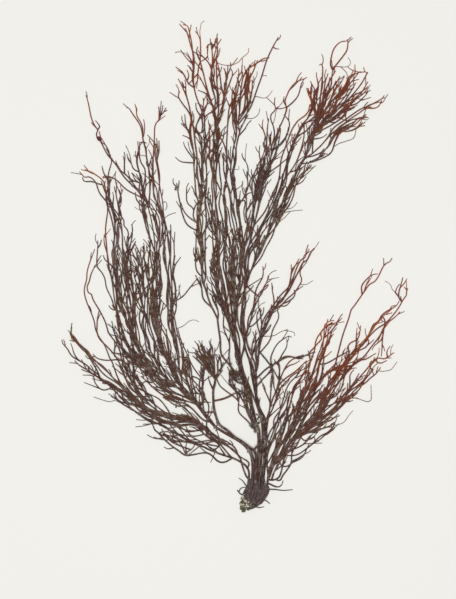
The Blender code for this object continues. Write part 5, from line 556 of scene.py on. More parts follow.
# %% The middle of the crown
CROWN_MIDDLE_FROND = [
    spray(6, 0.9, 0.6, [(3.1, 4.7), (3.3, 18), (2.5, 23), (0, 30.5), (-2.1, 35.5), (-4, 44), (-4.9, 47),
        (-6.8, 56), (-8.4, 65), (-8.1, 71), (-9.3, 80), (-9.7, 89), (-10, 92), (-9.7, 98), (-9.2, 101),
        (-9.4, 103.5), (-10.4, 108)], forks=(0.3, 0.6)),
    spray(3, 0.5, 0.4, [(-6, 52), (-8, 54.5), (-9.2, 57.5), (-9.7, 63.5), (-9.1, 69.5), (-10.2, 78),
        (-10.3, 81)]),
    spray(3, 0.35, 0.35, [(-4.5, 45.7), (-5.6, 57), (-6.6, 64), (-6.7, 74.5), (-7, 81), (-6.3, 87),
        (-6.3, 92.5), (-8.5, 100)]),
    lone((-9.6, 87), (-8.9, 85.3), (-7.2, 81.7)),
    lone((-6.9, 79.5), (-6, 78.2), (-5.1, 74), (-3.9, 70)),
    lone((-5.6, 55.5), (-4.6, 62), (-4.9, 64.5), (-3.8, 69.5), (-4.1, 72.5), (-5.1, 78.5), (-5.3, 81.5),
         (-5.8, 84), (-6.7, 86.5), (-7.2, 88.8)),
    spray(5, 0.5, 0.6, [(-4, 44.2), (-2.9, 57), (-2.7, 63), (-2.4, 69), (-3.3, 78), (-4.9, 86), (-4.8, 92),
        (-2.4, 106)], forks=(0.1, 0.6)),
    lone((-5, 89.8), (-5.6, 92), (-5.7, 94.2)),
    spray(2, 0.2, 0.5, [(-3.7, 98.9), (-4.7, 103), (-4.5, 106), (-4.7, 108), (-5.3, 109.7)]),
    spray(2, 0.4, 0.6, [(-3.5, 100), (-4, 103), (-4, 109), (-3.3, 114.5), (-3.5, 116)]),
    spray(3, 0.6, 0.7, [(-3.3, 101), (-2.1, 112.5), (-1.5, 116.6)], forks=(0.02, 0.4)),
    spray(4, 0.7, 0.6, [(-3, 102.5), (-1.8, 104.5), (-1.1, 107), (-0.2, 112.5),
        (2.4, 118)], forks=(0.02, 0.4)),
    spray(3, 0.4, 0.6, [(-3.1, 101.8), (-2, 103.4), (0.2, 108), (1, 110.5), (1.3, 113)]),
    lone((-2, 113.4), (-0.8, 115.6), (2.1, 117.9), (3.6, 118.9), (5.1, 119)),
    lone((-3.3, 100.8), (-0.9, 104), (1, 108.2), (5.7, 121), (7.5, 124.5)),
    lone((6.2, 122), (7, 121.6), (7.8, 121.5)),
    spray(2, 0.2, 0.3, [(-10.1, 106.5), (-11.8, 111.3), (-13.3, 118), (-13.1, 120), (-14, 123.4),
        (-15.5, 125.4)]),
    lone((-10.6, 108), (-13, 113.3), (-14, 114.6)),
    lone((-10.4, 107.6), (-11.7, 109.3), (-14, 110.3)),
    spray(2, 0.2, 0.3, [(-9.3, 100.5), (-8.5, 105.5), (-9.6, 112.5), (-10.9, 117.5), (-12.6, 121.5)]),
    spray(3, 0.45, 0.5, [(-9.3, 102.6), (-9.7, 105), (-9.4, 108), (-10.3, 113), (-9.8, 120.5), (-10, 124.2)]),
    spray(2, 0.3, 0.3, [(-8.7, 106.5), (-8.7, 109), (-9.1, 115), (-8.8, 120.8)]),
    lone((-9.8, 121.7), (-9.1, 123.6), (-8.8, 125.4)),
    lone((-10, 122.2), (-11, 122.6), (-11.6, 121.6)),
    spray(4, 0.6, 0.7, [(-8.5, 99.8), (-7.8, 102.3), (-7.1, 107), (-7.3, 112.2)], forks=(0.1, 0.5)),
    spray(2, 0.2, 0.3, [(-7.2, 109.5), (-7.8, 112.5), (-8.6, 118)]),
    spray(2, 0.35, 0.4, [(-7.1, 107.5), (-6.2, 114.5), (-6.6, 117.4)]),
    lone((-6.5, 111), (-5.9, 114), (-5.9, 116.8)),
    lone((-6.9, 107.5), (-5.4, 112.8), (-4.8, 114.7), (-5.2, 116)),
    spray(2, 0.15, 0.4, [(-6.4, 92.8), (-5.6, 105.7), (-4.4, 110.7)]),
    lone((-9.9, 105.2), (-8.5, 106.2), (-7.1, 107.2)),
    spray(2, 0.3, 0.4, [(-3.4, 78.6), (-2.6, 80.4), (-1.7, 81.6), (-0.3, 84.9), (0.1, 88.3)]),
    lone((-0.1, 86), (-0.8, 90), (-2, 91.9)),
    spray(3, 0.5, 0.5, [(-1.4, 53), (-1, 57), (-0.6, 64)]),
    spray(2, 0.4, 0.5, [(-1.6, 109), (-0.8, 112), (-0.2, 115)]),
    spray(3, 0.5, 0.5, [(-4.9, 61), (-4.9, 65), (-5, 73)]),
    spray(2, 0.4, 0.4, [(-5, 97), (-4.6, 104.4), (-4.6, 108.4)]),
    spray(2, 0.4, 0.4, [(-1.6, 99), (-0.6, 105), (0.2, 107.4)]),
    spray(3, 0.6, 0.6, [(-8.8, 58), (-9, 65), (-8.8, 68.5)]),
    spray(3, 0.6, 0.6, [(-9.2, 90), (-8.8, 93.5), (-8.6, 100)]),
    spray(3, 0.6, 0.8, [(-5, 101), (-4.9, 104.5), (-4.4, 111)]),
    lone((-2.2, 98), (-0.6, 101), (0.4, 102)),
    spray(4, 0.6, 0.6, [(-7.8, 54), (-8.8, 57.5), (-9.4, 65)]),
    spray(4, 0.6, 0.5, [(-4, 58), (-4.4, 63), (-4.8, 71)]),
    spray(4, 0.6, 0.6, [(-8.8, 94), (-8.9, 102), (-8.6, 106)]),
    spray(4, 0.6, 0.6, [(-2, 29), (-3.4, 31.5), (-4.8, 33.5), (-5.4, 36)]),
    spray(4, 0.6, 0.6, [(-2.6, 60), (-1.4, 68), (-0.6, 76)]),
    spray(4, 0.7, 0.6, [(-6.5, 50), (-8, 54), (-9.4, 62), (-9.6, 66)]),
    spray(4, 0.6, 0.5, [(-9.4, 84), (-9, 92), (-8.9, 100)]),
    spray(7, 0.9, 0.8, [(-3.5, 44), (-4.1, 49), (-4.7, 59), (-4.6, 68.5), (-5, 73)]),
    spray(6, 0.8, 0.7, [(-5, 46), (-6.8, 50), (-8.2, 54), (-8.9, 58), (-9.1, 62)]),
    spray(3, 0.4, 0.4, [(-8.4, 66), (-8.9, 70), (-9.4, 78)]),
    lone((-13.2, 117.6), (-13.9, 115.5), (-14.3, 110.8)),
    lone((-13.1, 117.7), (-13.9, 119), (-14.3, 120.6), (-14, 121.9)),
    lone((-11.5, 121.5), (-11.6, 119.9), (-11.2, 118.4)),
    lone((-11.2, 119.4), (-13, 118)),
    lone((-8.4, 98.2), (-7.4, 98.2), (-6.3, 99.4)),
    lone((-5.6, 105.8), (-6.1, 107.6), (-7, 108.2)),
    spray(3, 0.35, 0.3, [(-9.5, 86), (-8.5, 98), (-8.6, 101)]),
    lone((-9, 69.7), (-10.2, 70.5), (-11, 71.3)),
    lone((-3.8, 80), (-4.4, 88), (-4.2, 91), (-4.4, 94), (-4.1, 97)),
    lone((-1.9, 91.8), (-2.1, 93.3)),
    lone((-1.6, 81.2), (-0.8, 82.5), (0.4, 82.8)),
    lone((-2.3, 80.5), (-1.2, 80.9), (-1.2, 79.5), (-1.7, 78), (-1.6, 76), (-1.2, 74.5)),
    hair((1.1, 108.2), (4, 108.1), (5.2, 108.8), (6.1, 110.1)),
    hair((-1.3, 102.3), (0.3, 102.4), (1.7, 103.1), (2.5, 104), (2.6, 105.3)),
    hair((1, 112.8), (1.7, 114.2), (1.9, 115.3)),
    hair((-2.2, 114.5), (-2.3, 117), (-2.2, 118.8)),
    hair((3, 114), (4.5, 114)),
    hair((-14, 123.4), (-13.3, 127), (-13, 128.4), (-12.2, 128.9)),
    hair((-8.8, 118.2), (-7.3, 117.5), (-5.6, 117.2), (-4, 117.5), (-2.9, 118.1), (-2.2, 118.9),
         (-0.4, 120.3), (-0.4, 121.6)),
    hair((-4.2, 83), (-3, 84), (-1.9, 84.9)),
    hair((-4.6, 89), (-3.1, 89), (-3.1, 89.9)),
    hair((-1.3, 91), (-1.3, 94), (-0.9, 96)),
]
print("the middle of the crown has", len(CROWN_MIDDLE_FROND), "sprays")

# %% [markdown]
# ## The left of the crown
# A long stem that leans away from the middle, with short curved branches on its left and two strands that
# reach the highest point.

# %% The left of the crown
CROWN_LEFT_FROND = [
    spray(4, 0.5, 0.5, [(1.95, 4.7), (2.2, 15), (1.9, 19.8), (0.8, 24.5), (-1.6, 31.8), (-2.7, 33.7),
        (-4, 34.7), (-7, 38.2), (-7.9, 40), (-8.2, 43), (-8.7, 48.5), (-9.6, 50.7), (-12.4, 57.7),
        (-13.1, 63.5), (-13, 66.5), (-13.2, 69.5), (-13.9, 75), (-13.2, 80.5), (-13.9, 86), (-15, 98),
        (-16, 104)], forks=(0.5, 0.75)),
    spray(2, 0.3, 0.3, [(-12.4, 57.8), (-12, 60.5), (-12.2, 66.5), (-11.7, 75.5), (-12.1, 81.5),
        (-11, 92.5)]),
    lone((-13, 60.6), (-14.2, 62), (-14.5, 64.5), (-14.6, 71), (-14.4, 73)),
    lone((-13.8, 72.4), (-17, 74.2), (-18.4, 77.5), (-18.7, 80), (-19.7, 85.2)),
    lone((-13.9, 73.9), (-17.3, 77.1), (-18.5, 80)),
    lone((-19.5, 83.4), (-19.1, 84.7), (-19, 85.9)),
    lone((-13.8, 74.4), (-14.8, 75.5), (-15.3, 76.7), (-15.3, 78.3), (-17.1, 80.2), (-17, 84), (-16.4, 85.2)),
    lone((-13.4, 81.5), (-14.6, 82), (-15.1, 83.4), (-15.8, 84.4)),
    spray(2, 0.3, 0.3, [(-13.3, 79), (-14.3, 82), (-15.1, 88), (-15.3, 94), (-16.1, 99), (-16.7, 104.5)]),
    lone((-15.5, 96.2), (-16.6, 97.5), (-18.1, 98.1)),
    lone((-15.2, 90.9), (-18.5, 91.1), (-20, 92.3)),
    lone((-16.1, 99.2), (-17.3, 100), (-18, 101.2)),
    lone((-16.4, 102.6), (-17.2, 105), (-18.5, 107), (-19.4, 108.6), (-19, 109.9)),
    spray(2, 0.2, 0.5, [(-16, 102.6), (-16.9, 108), (-17.8, 112), (-18.6, 113.7)]),
    spray(2, 0.2, 0.3, [(-15, 97.6), (-14.3, 100.5), (-12.7, 104.8), (-11.4, 107)]),
    spray(3, 0.25, 0.3, [(-13, 104.2), (-13.5, 106.3), (-15, 111), (-15.3, 118.5), (-15.9, 124),
        (-16.4, 126.8), (-17, 127.7), (-18, 127.8)]),
    lone((-14.8, 98.9), (-13.8, 98.6), (-12.4, 99.2), (-12.3, 102), (-12.6, 104.5)),
    lone((-15, 110.6), (-16.5, 112), (-18.1, 115), (-19.9, 116.5)),
    lone((-17, 112.9), (-16.6, 114.2), (-17, 115.6)),
    lone((-15.3, 114.6), (-16.4, 116.8)),
    spray(2, 0.4, 0.4, [(-7.4, 47), (-8.6, 51), (-9.4, 55)]),
    spray(2, 0.4, 0.4, [(-12.2, 60), (-12.9, 64), (-13.4, 68)]),
    spray(2, 0.4, 0.5, [(-8.4, 102), (-8.8, 106), (-9, 110)]),
    spray(3, 0.6, 0.6, [(-8.6, 92), (-9, 100), (-9.2, 104.6)]),
    lone((-11.4, 50), (-12.4, 53.5), (-13.4, 60)),
    spray(2, 0.4, 0.5, [(-15.6, 96), (-17.4, 101), (-18, 103.6)]),
    spray(3, 0.6, 0.6, [(-12.6, 98), (-12.6, 101.5), (-13.6, 108)]),
    spray(3, 0.5, 0.5, [(-12.3, 58), (-12.8, 61), (-12.9, 68)]),
    spray(3, 0.4, 0.4, [(-12.9, 86), (-12.7, 95.5), (-12.8, 99)]),
    spray(3, 0.4, 0.4, [(-12.6, 60), (-13, 68), (-13, 72)]),
    spray(6, 0.7, 0.5, [(-13.1, 78), (-12.9, 88), (-13, 97), (-13.4, 101)]),
    spray(4, 0.5, 0.4, [(-12.8, 63), (-12.8, 67.5), (-13.4, 80)]),
    lone((-19.7, 84.5), (-20.5, 85.3), (-20.5, 86.5)),
    lone((-15.3, 78.3), (-14.4, 79.5), (-13.6, 80.5)),
    lone((-15.3, 91.5), (-17.5, 95), (-17.9, 96.3)),
    lone((-17.6, 110.7), (-18.2, 112.3)),
    lone((-14.8, 99.5), (-12, 96.2), (-11, 94.6)),
    lone((-11.9, 95.5), (-12.3, 102), (-12.5, 104.7), (-13.2, 106.2), (-14.1, 106.6)),
    lone((-15.3, 116.8), (-16.2, 118)),
    hair((-15.3, 117), (-16.4, 118.9), (-17.7, 120), (-19, 120.5), (-20.1, 120.3)),
]
print("the left of the crown has", len(CROWN_LEFT_FROND), "sprays")

# %% [markdown]
# ## The low centre frond
# A short column in front of the crown's stems, with a curled knot halfway up and a leaning spray of reddish
# tips.

# %% The low centre frond
CENTRE_LOW_FROND = [
    spray(4, 0.6, 0.6, [(2.5, 4.7), (2.7, 15), (2.2, 19.2), (1.5, 20.9), (0.2, 25.5), (-2.9, 35.5),
        (-3.5, 41), (-4.8, 50), (-5, 56), (-4.7, 58.5)], forks=(0.25, 0.5)),
    lone((1.6, 20.6), (0.3, 20.2), (-0.5, 21.3), (-2.9, 23.6), (-3.1, 25.5), (-2.8, 29.5)),
    spray(2, 0.2, 0.4, [(1.1, 22.4), (-0.3, 24.2), (-2.7, 28.3), (-5.2, 30.8), (-5.8, 32), (-5.4, 33.3)]),
    lone((-2.4, 33.3), (-4, 32.6), (-5.2, 33.2), (-5.8, 34.3), (-5.2, 35.2)),
    spray(3, 0.5, 0.6, [(-2.7, 34.7), (-4, 34.3), (-5.7, 32)]),
    spray(2, 0.25, 0.4, [(-4.6, 33.9), (-5.4, 36.4), (-5.7, 39), (-5.6, 42), (-7, 47), (-6.7, 52.5)]),
    spray(4, 0.7, 0.5, [(-2.9, 36), (-1.8, 40), (-0.6, 46), (1.2, 52), (3.6, 56.8), (4.7, 58.3), (5.5, 60)]),
    lone((0.2, 49), (1.5, 56), (3.4, 60), (3.6, 62.8)),
    lone((0, 46.9), (1.2, 47.5), (3.4, 50.1), (3.6, 51.8)),
    lone((3.3, 56.2), (2.6, 54.6), (1.5, 55.5), (-1.7, 58.3), (-3.3, 59)),
    spray(2, 0.3, 0.4, [(-3, 36.4), (-3.9, 38.5), (-4.2, 42), (-6, 48), (-6.3, 51), (-5.7, 57)]),
    spray(2, 0.4, 0.4, [(1, 20.6), (-1.2, 24.6), (-2.2, 27)]),
    lone((-6.8, 27), (-9.2, 33), (-9.8, 35.4)),
    spray(3, 0.6, 0.6, [(-2.4, 26), (-4.8, 32), (-5.4, 35)]),
    spray(3, 0.5, 0.5, [(-3.4, 50), (-2.4, 53), (0.4, 59)]),
    spray(4, 0.6, 0.6, [(2.2, 16.5), (1.4, 20), (0, 23), (-1.2, 26.5), (-2, 30)]),
    hair((-3.8, 29), (-5.5, 31), (-7.8, 33.8)),
    hair((5.4, 59.3), (5.2, 60.5), (6, 61.5), (7, 61.9)),
    hair((5.5, 59.6), (6.5, 59.7), (7.8, 59.9)),
    hair((1, 50.5), (2.9, 52.7), (4, 53.3)),
    hair((-5.9, 43.3), (-6.8, 44.9), (-8, 45.5)),
    hair((-5.5, 41), (-6.4, 39.7), (-7.2, 38.9)),
]
print("the low centre frond has", len(CENTRE_LOW_FROND), "sprays")

# %% [markdown]
# ## The spray right of the centre
# It leans out of the base to the right as one narrow bundle and opens into two groups of tips, with loose
# curls below.

# %% The spray right of the centre
CENTRE_RIGHT_FROND = [
    spray(4, 0.7, 0.6, [(3.3, 4.8), (3.7, 16), (3.5, 22.3), (1.9, 27), (1.2, 33), (2.8, 42), (4.2, 46.5),
        (6.5, 51.3), (10.4, 56.5), (12.2, 60.2), (14.2, 63.6), (15.7, 64.4), (17.7, 67.3)], forks=(0.3, 0.6)),
    spray(3, 0.6, 0.5, [(3.2, 44), (4.8, 48), (8.6, 54.3)]),
    spray(2, 0.25, 0.2, [(6.7, 50.9), (8.5, 52.3), (10, 54.2), (12, 56), (14.1, 59), (13.8, 60.5), (13.9, 62),
        (14.5, 63.6)]),
    spray(3, 0.5, 0.5, [(8.6, 54), (10, 56), (11.5, 60.5), (12.3, 62.2), (13.6, 63.5)]),
    lone((9, 53), (10.3, 53.4), (11.7, 54.3), (12.3, 55.6), (11.9, 56.6)),
    lone((2.3, 39), (5.2, 43), (6.1, 45.5), (7.3, 47.7), (7.8, 49.3), (7.5, 50.8)),
    spray(3, 0.5, 0.4, [(1.4, 34), (0.4, 36.6), (1.4, 41.5), (3.5, 45.3)]),
    spray(2, 0.15, 0.3, [(1.2, 32.4), (2.2, 33.5), (5.5, 36.2), (9.5, 38.3), (12, 38.6), (14.2, 38.4)]),
    lone((1.3, 30.3), (3.2, 32.6), (4.8, 34.2), (6.9, 37.4)),
    lone((5.7, 36.3), (5.5, 38.6), (7.5, 42), (10.4, 44), (11.2, 43.8)),
    lone((7, 37.4), (9.7, 41), (9.9, 43.3)),
    lone((6.6, 51.3), (6.4, 54), (5.9, 56.7), (5.8, 58.4)),
    spray(3, 0.5, 0.5, [(2.4, 40), (3.2, 48), (3.6, 51.5)]),
    lone((8.5, 52.5), (9.7, 52.4), (10.8, 53.6)),
    spray(2, 0.3, 0.3, [(1.4, 33.5), (1.7, 37), (1.4, 40), (2, 43), (2.8, 45.3)]),
    lone((1.5, 30.5), (2.3, 31.2), (3.2, 31.8), (2.7, 33)),
    lone((14.2, 38.4), (16.5, 39.5), (17.5, 39.8)),
    lone((2.3, 40), (6.2, 35), (8, 31.5)),
    lone((6.9, 37.7), (7.7, 36), (8, 34), (7.7, 29.5)),
    lone((5.9, 36.3), (6.5, 31), (7.2, 28.7)),
    hair((14, 63.8), (14.3, 65.8), (16.3, 67), (17.4, 68), (18.5, 69.6)),
    hair((13.6, 57.8), (15, 58), (16.9, 59.1)),
    hair((4, 43.3), (6, 44), (8, 45.2), (10.2, 46)),
    hair((11.2, 46), (12, 45), (11.9, 44.2)),
]
print("the spray right of the centre has", len(CENTRE_RIGHT_FROND), "sprays")

# %% [markdown]
# ## The small side tuft
# A dark little bush on its own stalk, between the left and centre fronds.

# %% The small side tuft
SIDE_TUFT_FROND = [
    lone((1.35, 4.7), (1.5, 11), (1.2, 13.2), (0, 14.3), (-2, 15.8), (-4, 17), (-6, 18.9), (-8.4, 20.5),
         (-9.6, 23.7), (-10, 28), (-9.9, 30), (-9.4, 31.4), (-9.2, 33),
         (-9.6, 34.6), radius=TUFT_STALK_RADIUS, thick=1.6),
    spray(4, 0.7, 0.9, [(-9.3, 32.6), (-11, 34.6), (-15.9, 38.1)]),
    spray(5, 0.8, 1, [(-9.4, 33), (-10.8, 36), (-12.5, 38), (-13.4, 40), (-13.6, 41.8), (-14.3, 43.1)]),
    spray(3, 0.5, 0.5, [(-9.5, 33.4), (-10.6, 36.5), (-14, 40.3), (-15.5, 40.8)]),
    spray(4, 0.7, 0.9, [(-9.6, 34.4), (-11.3, 39), (-11.5, 41.9)]),
    spray(3, 0.6, 0.8, [(-9.5, 34), (-9.7, 36), (-10.3, 38.5), (-10.4, 40.9)]),
    spray(3, 0.5, 0.7, [(-9.2, 32.8), (-8.7, 34.5), (-9.1, 36.5), (-8.9, 39.2)]),
    spray(2, 0.25, 0.3, [(-9.2, 32.3), (-8.1, 34), (-7.5, 38), (-7.8, 39.4)]),
    lone((-9.9, 26.5), (-8, 27), (-2.8, 29.3)),
    lone((-9.7, 23.8), (-11.5, 23.7), (-12.8, 24)),
    spray(4, 0.8, 0.9, [(-9.6, 34), (-12.5, 38.2), (-13.6, 40)]),
    spray(4, 0.7, 0.9, [(-9.8, 34.6), (-12, 39.6), (-12.8, 42)]),
    spray(3, 0.6, 0.8, [(-9.4, 34), (-10, 36.6), (-11.6, 41)]),
    lone((0.8, 14.2), (2.5, 15.5), (5, 17)),
]
print("the small side tuft has", len(SIDE_TUFT_FROND), "sprays")

# %% [markdown]
# ## The fronds in the order in which they are laid
# A live tuft is near black where it is old and wine red where it is young, and pressing turns the young tips
# fox brown. So each frond has the distance from the holdfast, in mm, at which its colour starts to turn and
# the distance at which it is all young.

# %% Fronds, with the stretch over which each turns from old to young
FRONDS = [
    ("frond_right", RIGHT_FROND, 10, 62),
    ("frond_left_low", LEFT_LOW_FROND, 40, 105),
    ("frond_left_tall", LEFT_TALL_FROND, 75, 125),
    ("frond_crown_left", CROWN_LEFT_FROND, 85, 125),
    ("frond_crown_middle", CROWN_MIDDLE_FROND, 85, 125),
    ("frond_crown_right", CROWN_RIGHT_FROND, 85, 125),
    ("frond_centre_low", CENTRE_LOW_FROND, 40, 85),
    ("frond_centre_right", CENTRE_RIGHT_FROND, 35, 80),
    ("frond_side_tuft", SIDE_TUFT_FROND, 60, 200),
]
print(len(FRONDS), "fronds, laid from", FRONDS[0][0], "to", FRONDS[-1][0])

# %% [markdown]
# ## From a route to a smooth spine
# A route has a point every few millimetres. A Catmull-Rom curve passes through all of them, so the points
# that were picked stay where they are. It is cut into steps of one millimetre, and every strand of the spray
# is worked out on those steps.

# %% Spines
SAMPLE = 1.0
PARTS = 12


def smooth(value):
    """0 to 1 with level ends."""
    value = min(1.0, max(0.0, value))
    return value * value * (3 - 2 * value)


def mix(a, b, share):
    return a + (b - a) * share


def between(a, b, c, d, t):
    """The point at share t from b to c on a Catmull-Rom curve."""
    bend = 2 * a - 5 * b + 4 * c - d
    twist = 3 * b - a - 3 * c + d
    return 0.5 * (2 * b + (c - a) * t + bend * t * t + twist * t ** 3)


def with_ends(points):
    """The points with one more beyond each end, which the curve needs."""
    return [2 * points[0] - points[1]] + points + [2 * points[-1] - points[-2]]


def spine_of(route, step=SAMPLE):
    """Points at even steps along a smooth curve through the route."""
    knots = with_ends([Vector(p) for p in route])
    fine = []
    for a, b, c, d in zip(knots, knots[1:], knots[2:], knots[3:]):
        fine += [between(a, b, c, d, part / PARTS) for part in range(PARTS)]
    fine.append(knots[-2])
    run = [0.0]
    for a, b in zip(fine, fine[1:]):
        run.append(run[-1] + (b - a).length)
    count = max(3, round(run[-1] / step))
    points, at = [], 0
    for i in range(count + 1):
        goal = run[-1] * i / count
        while at < len(run) - 2 and run[at + 1] < goal:
            at += 1
        points.append(fine[at].lerp(fine[at + 1], min(1.0, (goal - run[at]) / (run[at + 1] - run[at]))))
    return points


print("the first spine has", len(spine_of(RIGHT_FROND[0]["route"])), "points")

# %% [markdown]
# ## What each strand draws for itself
# No two strands run alike. Each has its own place across the spray, two waves of different length, a layer
# in the bundle, a length and a tip that strays. Places are spaced by the golden ratio, which never lines them
# up. Every strand draws with its own seed, so the tuft is the same each time.

# %% A strand's own habit
GOLDEN = (math.sqrt(5) - 1) / 2
FIRST_WAVE, WAVE = 0.12, 0.34
LONG_WAVES, SHORT_WAVES = (16, 26), (6, 11)
SHORT_WAVE_SHARE = 0.55
LAYER = 0.40
LAYERS = 3
UNEVEN = 0.05
ROOT_SHARES = (0.82, 0.93)
DRIFT = 0.9
STRAY = 1.4
STRAY_LENGTHS = (4, 9)


def habit(seed, k, plan, last):
    """All that strand number k of a spray draws, on a spine whose last point has the number last."""
    draw = random.Random(seed)
    several = plan["strands"] > 1
    slot = 2 * ((0.5 + k * GOLDEN) % 1) - 1
    lengths = draw.uniform(*LONG_WAVES), draw.uniform(*SHORT_WAVES)
    turns = draw.uniform(0, math.tau), draw.uniform(0, math.tau)
    place = int((slot + 1) / 2 * plan["strands"]) if several else draw.choice(range(LAYERS))
    return {
        "slot": slot,
        "wave": WAVE if k else FIRST_WAVE,
        "wave_lengths": lengths,
        "wave_turns": turns,
        "layer": LAYER * (place % LAYERS) + draw.uniform(0, UNEVEN),
        "root_share": draw.uniform(*ROOT_SHARES),
        "end": round(last * draw.uniform(plan["shortest"], 1.0)) if k else last,
        "drift_to": min(1.0, max(-1.0, slot + draw.uniform(-DRIFT, DRIFT))) if k else slot,
        "stray": draw.uniform(-STRAY, STRAY) if several else 0.0,
        "stray_length": draw.uniform(*STRAY_LENGTHS),
    }


print("a bundle is", LAYERS, "layers deep,", LAYER, "mm apart")

# %% [markdown]
# ## Strands
# This seaweed forks in two again and again, and each fork keeps close to the other. So the first strand of a
# spray starts on what grows nearby and follows the spine. Each further one starts on the strand beside its
# own place, slides over to that place and waves a little on its way.

# %% The place of a strand
OPENS_OVER = 0.12
FLARE_FROM, FLARE_OVER = 0.6, 0.4
STRAY_BEND = 1.3


def sideways(points, i):
    """The unit vector to the left of the spine at point i."""
    along = (points[min(i + 1, len(points) - 1)] - points[max(i - 1, 0)]).normalized()
    return Vector((-along.y, along.x))


def own_place(i, spine, plan, strand):
    """Where a strand would lie at point i of the spine if it grew there on its own."""
    share = i / (len(spine) - 1)
    opened = smooth(share / OPENS_OVER)
    width = mix(plan["spread"], plan["flare"], smooth((share - FLARE_FROM) / FLARE_OVER)) * opened
    long, short = (math.sin(math.tau * i * SAMPLE / length + turn)
                   for length, turn in zip(strand["wave_lengths"], strand["wave_turns"]))
    drift = strand["wave"] * (long + SHORT_WAVE_SHARE * short)
    to_tip = (strand["end"] - i) * SAMPLE / strand["stray_length"]
    leave = strand["stray"] * smooth(1 - to_tip) ** STRAY_BEND
    across = mix(strand["slot"], strand["drift_to"], smooth(share)) * width
    return spine[i] + sideways(spine, i) * (across + drift + leave)


def nearest(strands, point):
    """The strand and the index of its point that lie nearest to a place."""
    return min(((s, i) for s in strands for i in range(len(s["path"]) - 1)),
               key=lambda pair: (pair[0]["path"][pair[1]] - point).length)


print("a spray is fully open", round(100 * OPENS_OVER), "% of its way up")

# %% Strands of one spray
ROOT_BLEND = 5.0
LEAST_BLEND = 4.0
BLEND_A_SPREAD = 5
FORK_OFFSET = 0.3
LEAST_STEPS = 2
MOTHER_STEPS = 3
THINNING = 0.8


def rooted(spine, plan, strand, earlier):
    """The course of a spray's first strand, which starts on the nearest strand that grows already."""
    last = len(spine) - 1
    blend = min(ROOT_BLEND, 0.5 * last * SAMPLE)
    root = nearest(earlier, spine[0]) if earlier else None
    shift = root[0]["path"][root[1]] - own_place(0, spine, plan, strand) if root else Vector((0, 0))
    base = root[0]["layers"][root[1]] if root else strand["layer"]
    shares = [smooth(i * SAMPLE / blend) for i in range(last + 1)]
    path = [own_place(i, spine, plan, strand) + shift * (1 - share) for i, share in enumerate(shares)]
    layers = [mix(base, strand["layer"], share) for share in shares]
    return {"start": 0, "path": path, "layers": layers, "root": root}


def forked(k, spine, plan, strand, sisters):
    """The course of a further strand, which forks off the sister beside its own place."""
    last = len(spine) - 1
    fork = round(last * mix(*plan["forks"], (k * GOLDEN + FORK_OFFSET) % 1))
    fork = max(min(fork, strand["end"] - LEAST_STEPS), 1)
    blend = max(LEAST_BLEND, BLEND_A_SPREAD * plan["spread"])
    mothers = [s for s in sisters
               if s["start"] < fork and s["start"] + len(s["path"]) > fork + MOTHER_STEPS]
    mother = min(mothers or sisters[:1], key=lambda s: abs(s["slot"] - strand["slot"]))
    fork = min(max(fork, mother["start"]), mother["start"] + len(mother["path"]) - LEAST_STEPS)
    path, layers = [], []
    for i in range(fork, strand["end"] + 1):
        j = min(i - mother["start"], len(mother["path"]) - 1)
        share = smooth((i - fork) * SAMPLE / blend)
        path.append(mother["path"][j].lerp(own_place(i, spine, plan, strand), share))
        layers.append(mix(mother["layers"][j], strand["layer"], share))
    return {"start": fork, "path": path, "layers": layers, "root": (mother, fork - mother["start"])}


def strand_radii(plan, strand, first):
    """A strand's radius at each of its points, from root to tip."""
    root_radius = plan["radius"]
    if strand["root"]:
        mother, at = strand["root"]
        root_radius = min(root_radius, max(THIN_RADIUS, strand["root_share"] * mother["radii"][at]))
    thin_radius = min(plan["thin"], THINNING * root_radius)
    last = len(strand["path"]) - 1
    radii = []
    for i in range(last + 1):
        along = i / last
        if first and plan["radius"] > STEM_RADIUS:
            along = smooth(along / plan["thick"])
        tip = smooth(1 - (last - i) * SAMPLE / TIP_LENGTH)
        radii.append(mix(mix(root_radius, thin_radius, along), min(TIP_RADIUS, thin_radius), tip))
    return radii


def strands_of(name, number, plan, earlier):
    """The strands of one spray, each with its path, radii, layers and the point it grows from."""
    spine = spine_of(plan["route"])
    made = []
    for k in range(plan["strands"]):
        strand = habit(f"{name} {number} {k}", k, plan, len(spine) - 1)
        strand |= forked(k, spine, plan, strand, made) if k else rooted(spine, plan, strand, earlier)
        strand["radii"] = strand_radii(plan, strand, k == 0)
        made.append(strand)
    return made


print("the first spray grows", len(strands_of("frond_right", 0, RIGHT_FROND[0], [])), "strands")

# %% [markdown]
# ## Twigs
# Every strand carries a few short side twigs, and its tip ends in a small fork, like an antler. A twig leaves
# at a narrow angle and leans back along its mother strand, as a twig does that was pressed while wet.

# %% Twigs of one strand
TWIG_LENGTHS = (2, 5.5)
FORK_LENGTHS = (1.4, 3.2)
TWIG_ANGLES = (14, 36)
TWIG_BENDS = (-15, 60)
BEND_CHANGES = (0.4, 1.6)
TWIG_RISES = (-0.25, 0.35)
RISE_STEPS = 3
TWIG_SHARE = 0.85
TWIG_TIP = 0.09
LOWEST_TWIG = 0.12
TWIGS_TIPWARD = 0.8
LEAST_FORKED = 6
FORKED_AT = (1, 2, 3)


